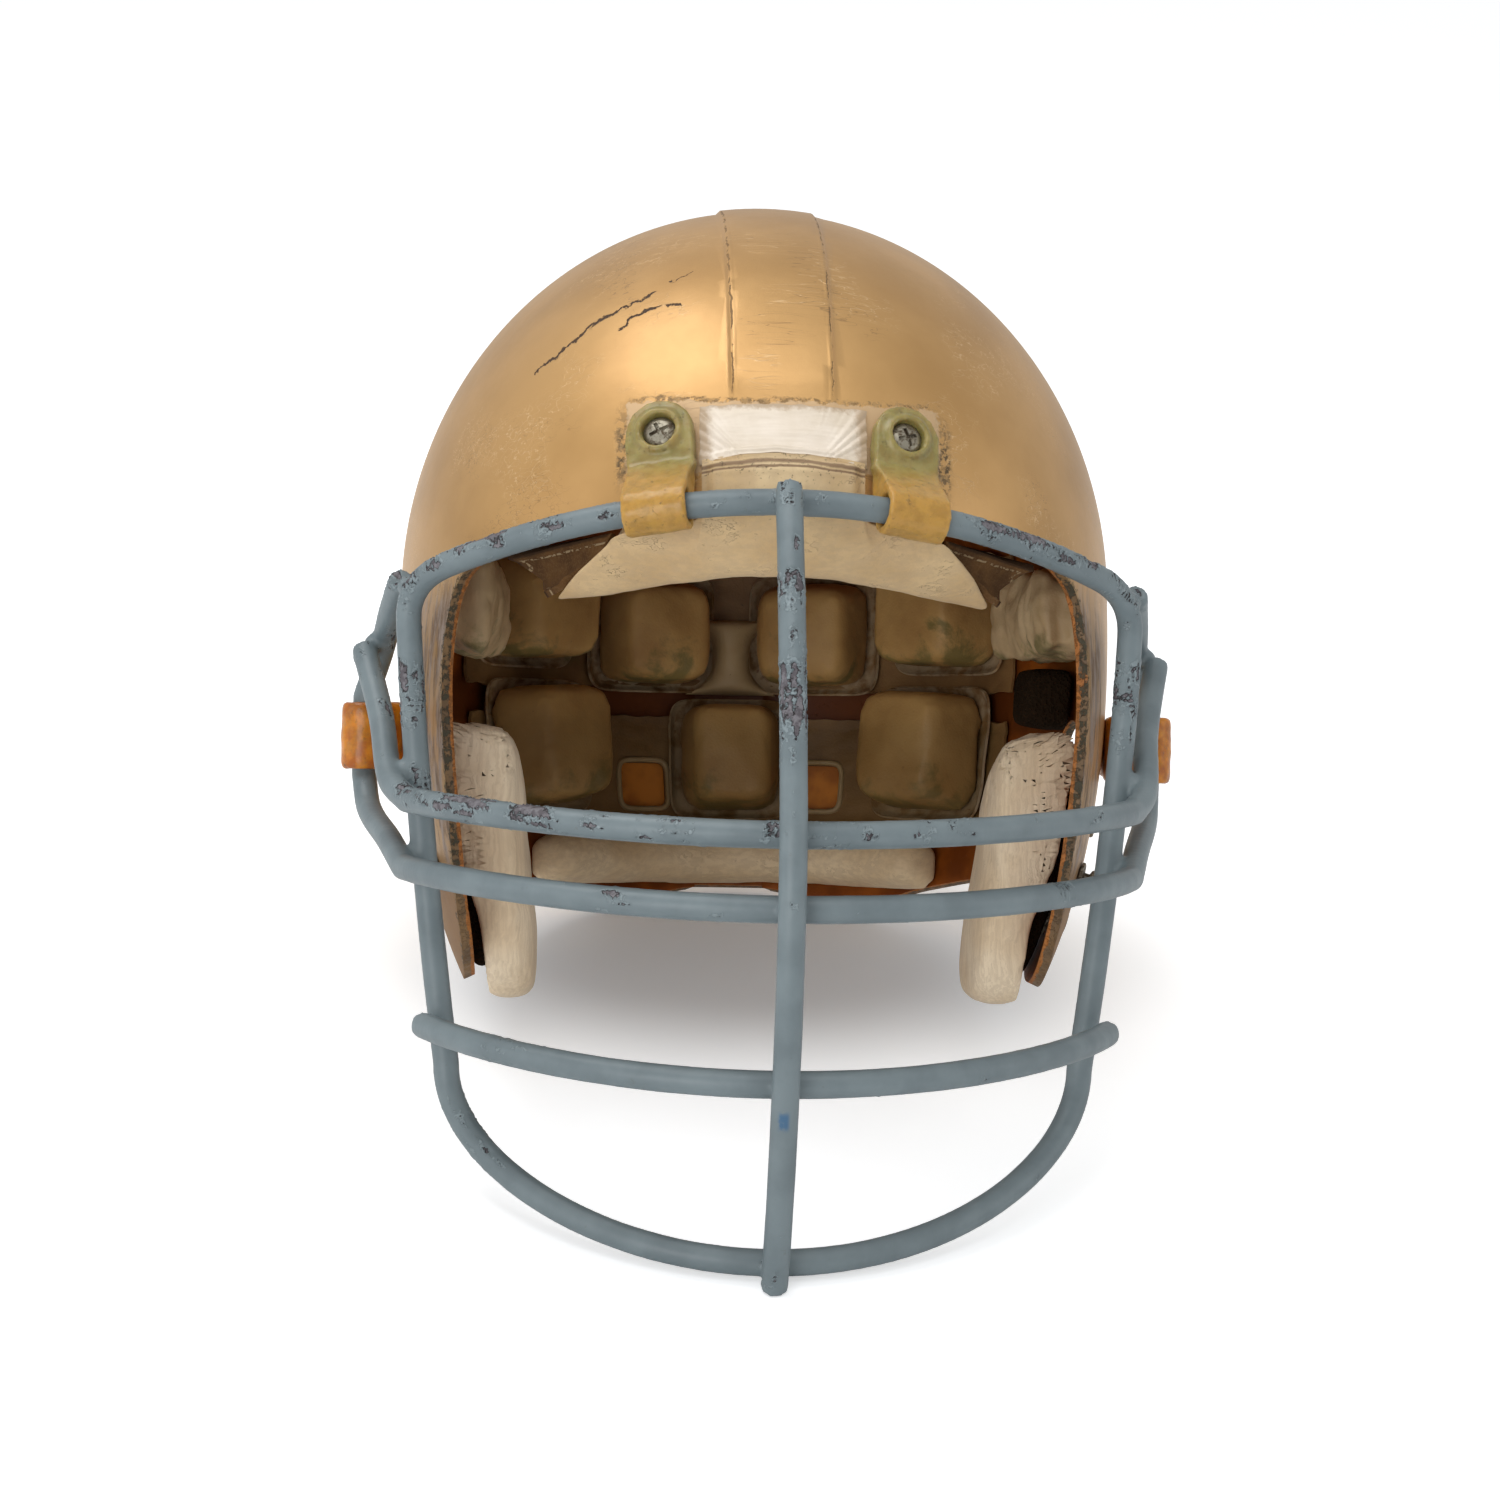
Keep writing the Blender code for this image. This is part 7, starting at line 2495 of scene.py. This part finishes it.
@dataclass(frozen=True)
class Studio:
    """Plain white sweep with a painted shadow where its glow dims near the helmet, soft lamps and the camera that
    sees the helmet from its front.
    """

    yaw: float = math.radians(-3.59888)
    roll: float = math.radians(1.06198)
    distance: float = 1.00996
    shift: tuple = (-0.0010905, -0.0512623)
    lens: float = 70.0
    sensor: float = 36.0
    floor_size: float = 24.0
    room_light: float = 0.54
    # The floor's glow is dimmer near the helmet than far off: a painted shadow round it.
    glow_near: tuple = (0.045, 0.11)
    glow_far: tuple = (0.125, 0.50)
    glow_centre: float = 0.075
    lamp_aim: tuple = (0.0, 0.0, 0.12)
    lamps: tuple = (("key", (-0.75, 0.35, 1.75), 1.0, 8.2), ("overhead", (-0.1, -0.45, 2.1), 1.4, 7.6),
                    ("front", (-0.95, -1.75, 0.65), 1.2, 10.2), ("left", (-1.9, -0.4, 0.7), 1.3, 3.0),
                    ("right", (1.9, -0.5, 0.7), 1.3, 3.0))

    def build(self) -> None:
        """Add the camera, the floor, the lamps and the world."""
        scene = bpy.context.scene
        scene.view_settings.view_transform = "Standard"
        self._camera(scene)
        self._floor()
        self._world(scene)
        for lamp in self.lamps:
            self._lamp(*lamp)

    def _camera(self, scene: bpy.types.Scene) -> None:
        """Add the camera.

        Args:
            scene: The scene.
        """
        forward = Vector((-math.sin(self.yaw), math.cos(self.yaw), 0))
        right = forward.cross(Vector((0, 0, 1)))
        up = right.cross(forward)
        across = right * math.cos(self.roll) + up * math.sin(self.roll)
        upward = up * math.cos(self.roll) - right * math.sin(self.roll)
        place = across * self.shift[0] + upward * self.shift[1] - forward * self.distance
        matrix = Matrix((across, upward, -forward)).transposed().to_4x4()
        matrix.translation = place
        data = bpy.data.cameras.new("photo_camera")
        data.lens = self.lens
        data.sensor_width = self.sensor
        camera = bpy.data.objects.new("photo_camera", data)
        scene.collection.objects.link(camera)
        camera.matrix_world = HELMET @ matrix
        scene.camera = camera

    def _floor(self) -> None:
        """Add the floor with its glow, which dims near the helmet as a painted shadow."""
        floor = Bench.add(bpy.ops.mesh.primitive_plane_add, "studio_floor", size=self.floor_size)
        shade = Shade("white_sweep")
        x, y, _ = shade.add("ShaderNodeTexCoord", {}, {}, "Object").parts()
        # Less glow near the helmet paints a shadow pool round it; far off the floor glows white.
        back = y - self.glow_centre
        far = (x * x * 0.4 + back * back).power(0.5)
        (near, near_glow), (edge, edge_glow) = self.glow_near, self.glow_far
        glow = far.ramp(near, edge) * (edge_glow - near_glow) + near_glow
        seen = shade.add("ShaderNodeLightPath", {}, {}, "Is Camera Ray") * glow
        floor.data.materials.append(shade.finish(
            Base_Color=(0.885, 0.90, 0.915), Roughness=0.8, Specular_IOR_Level=0.1, Emission_Strength=1.0,
            Emission_Color=seen.mix((0.0, 0.0, 0.0), (1.0, 1.0, 1.0))))

    def _world(self, scene: bpy.types.Scene) -> None:
        """Add the white room.

        Args:
            scene: The scene.
        """
        world = bpy.data.worlds.new("white_room")
        world.use_nodes = True
        tree = world.node_tree
        tree.nodes.clear()
        kinds = ("LightPath", "Math", "MixShader", "OutputWorld", "Background", "Background")
        path, seen, mix, out, *rooms = (tree.nodes.new("ShaderNode" + kind) for kind in kinds)
        seen.operation = "MAXIMUM"
        for number, ray in enumerate(("Is Camera Ray", "Is Transmission Ray")):
            tree.links.new(path.outputs[ray], seen.inputs[number])
        tree.links.new(seen.outputs[0], mix.inputs[0])
        for number, (room, strength) in enumerate(zip(rooms, (self.room_light, 1.0)), 1):
            room.inputs["Color"].default_value = (1, 1, 1, 1)
            room.inputs["Strength"].default_value = strength
            tree.links.new(room.outputs[0], mix.inputs[number])
        tree.links.new(mix.outputs[0], out.inputs[0])
        scene.world = world

    def _lamp(self, name: str, place: Sequence[float], size: float, power: float) -> None:
        """Add one round lamp.

        Args:
            name: Its name.
            place: Where it goes.
            size: Its width.
            power: Its power in watts.
        """
        data = bpy.data.lights.new(name, "AREA")
        data.shape, data.size, data.energy = "DISK", size, power
        lamp = bpy.data.objects.new(name, data)
        bpy.context.scene.collection.objects.link(lamp)
        lamp.location = place
        lamp.rotation_euler = (Vector(self.lamp_aim) - lamp.location).to_track_quat("-Z", "Y").to_euler()


def main() -> None:
    """Build every sub-assembly in order."""
    logging.basicConfig(level=logging.INFO, format="%(message)s")
    stuffing, mask, liner = Stuffing(), FaceMask(), Liner()
    Studio().build()
    Shell().build()
    mask.build()
    Hardware().build(mask)
    BrowStrip().build()
    FrontPad().build()
    liner.build()
    steps = liner.take(stuffing) + JawPads().take(stuffing)
    stuffing.run()
    for step in steps:
        step()


if __name__ == "__main__":
    main()
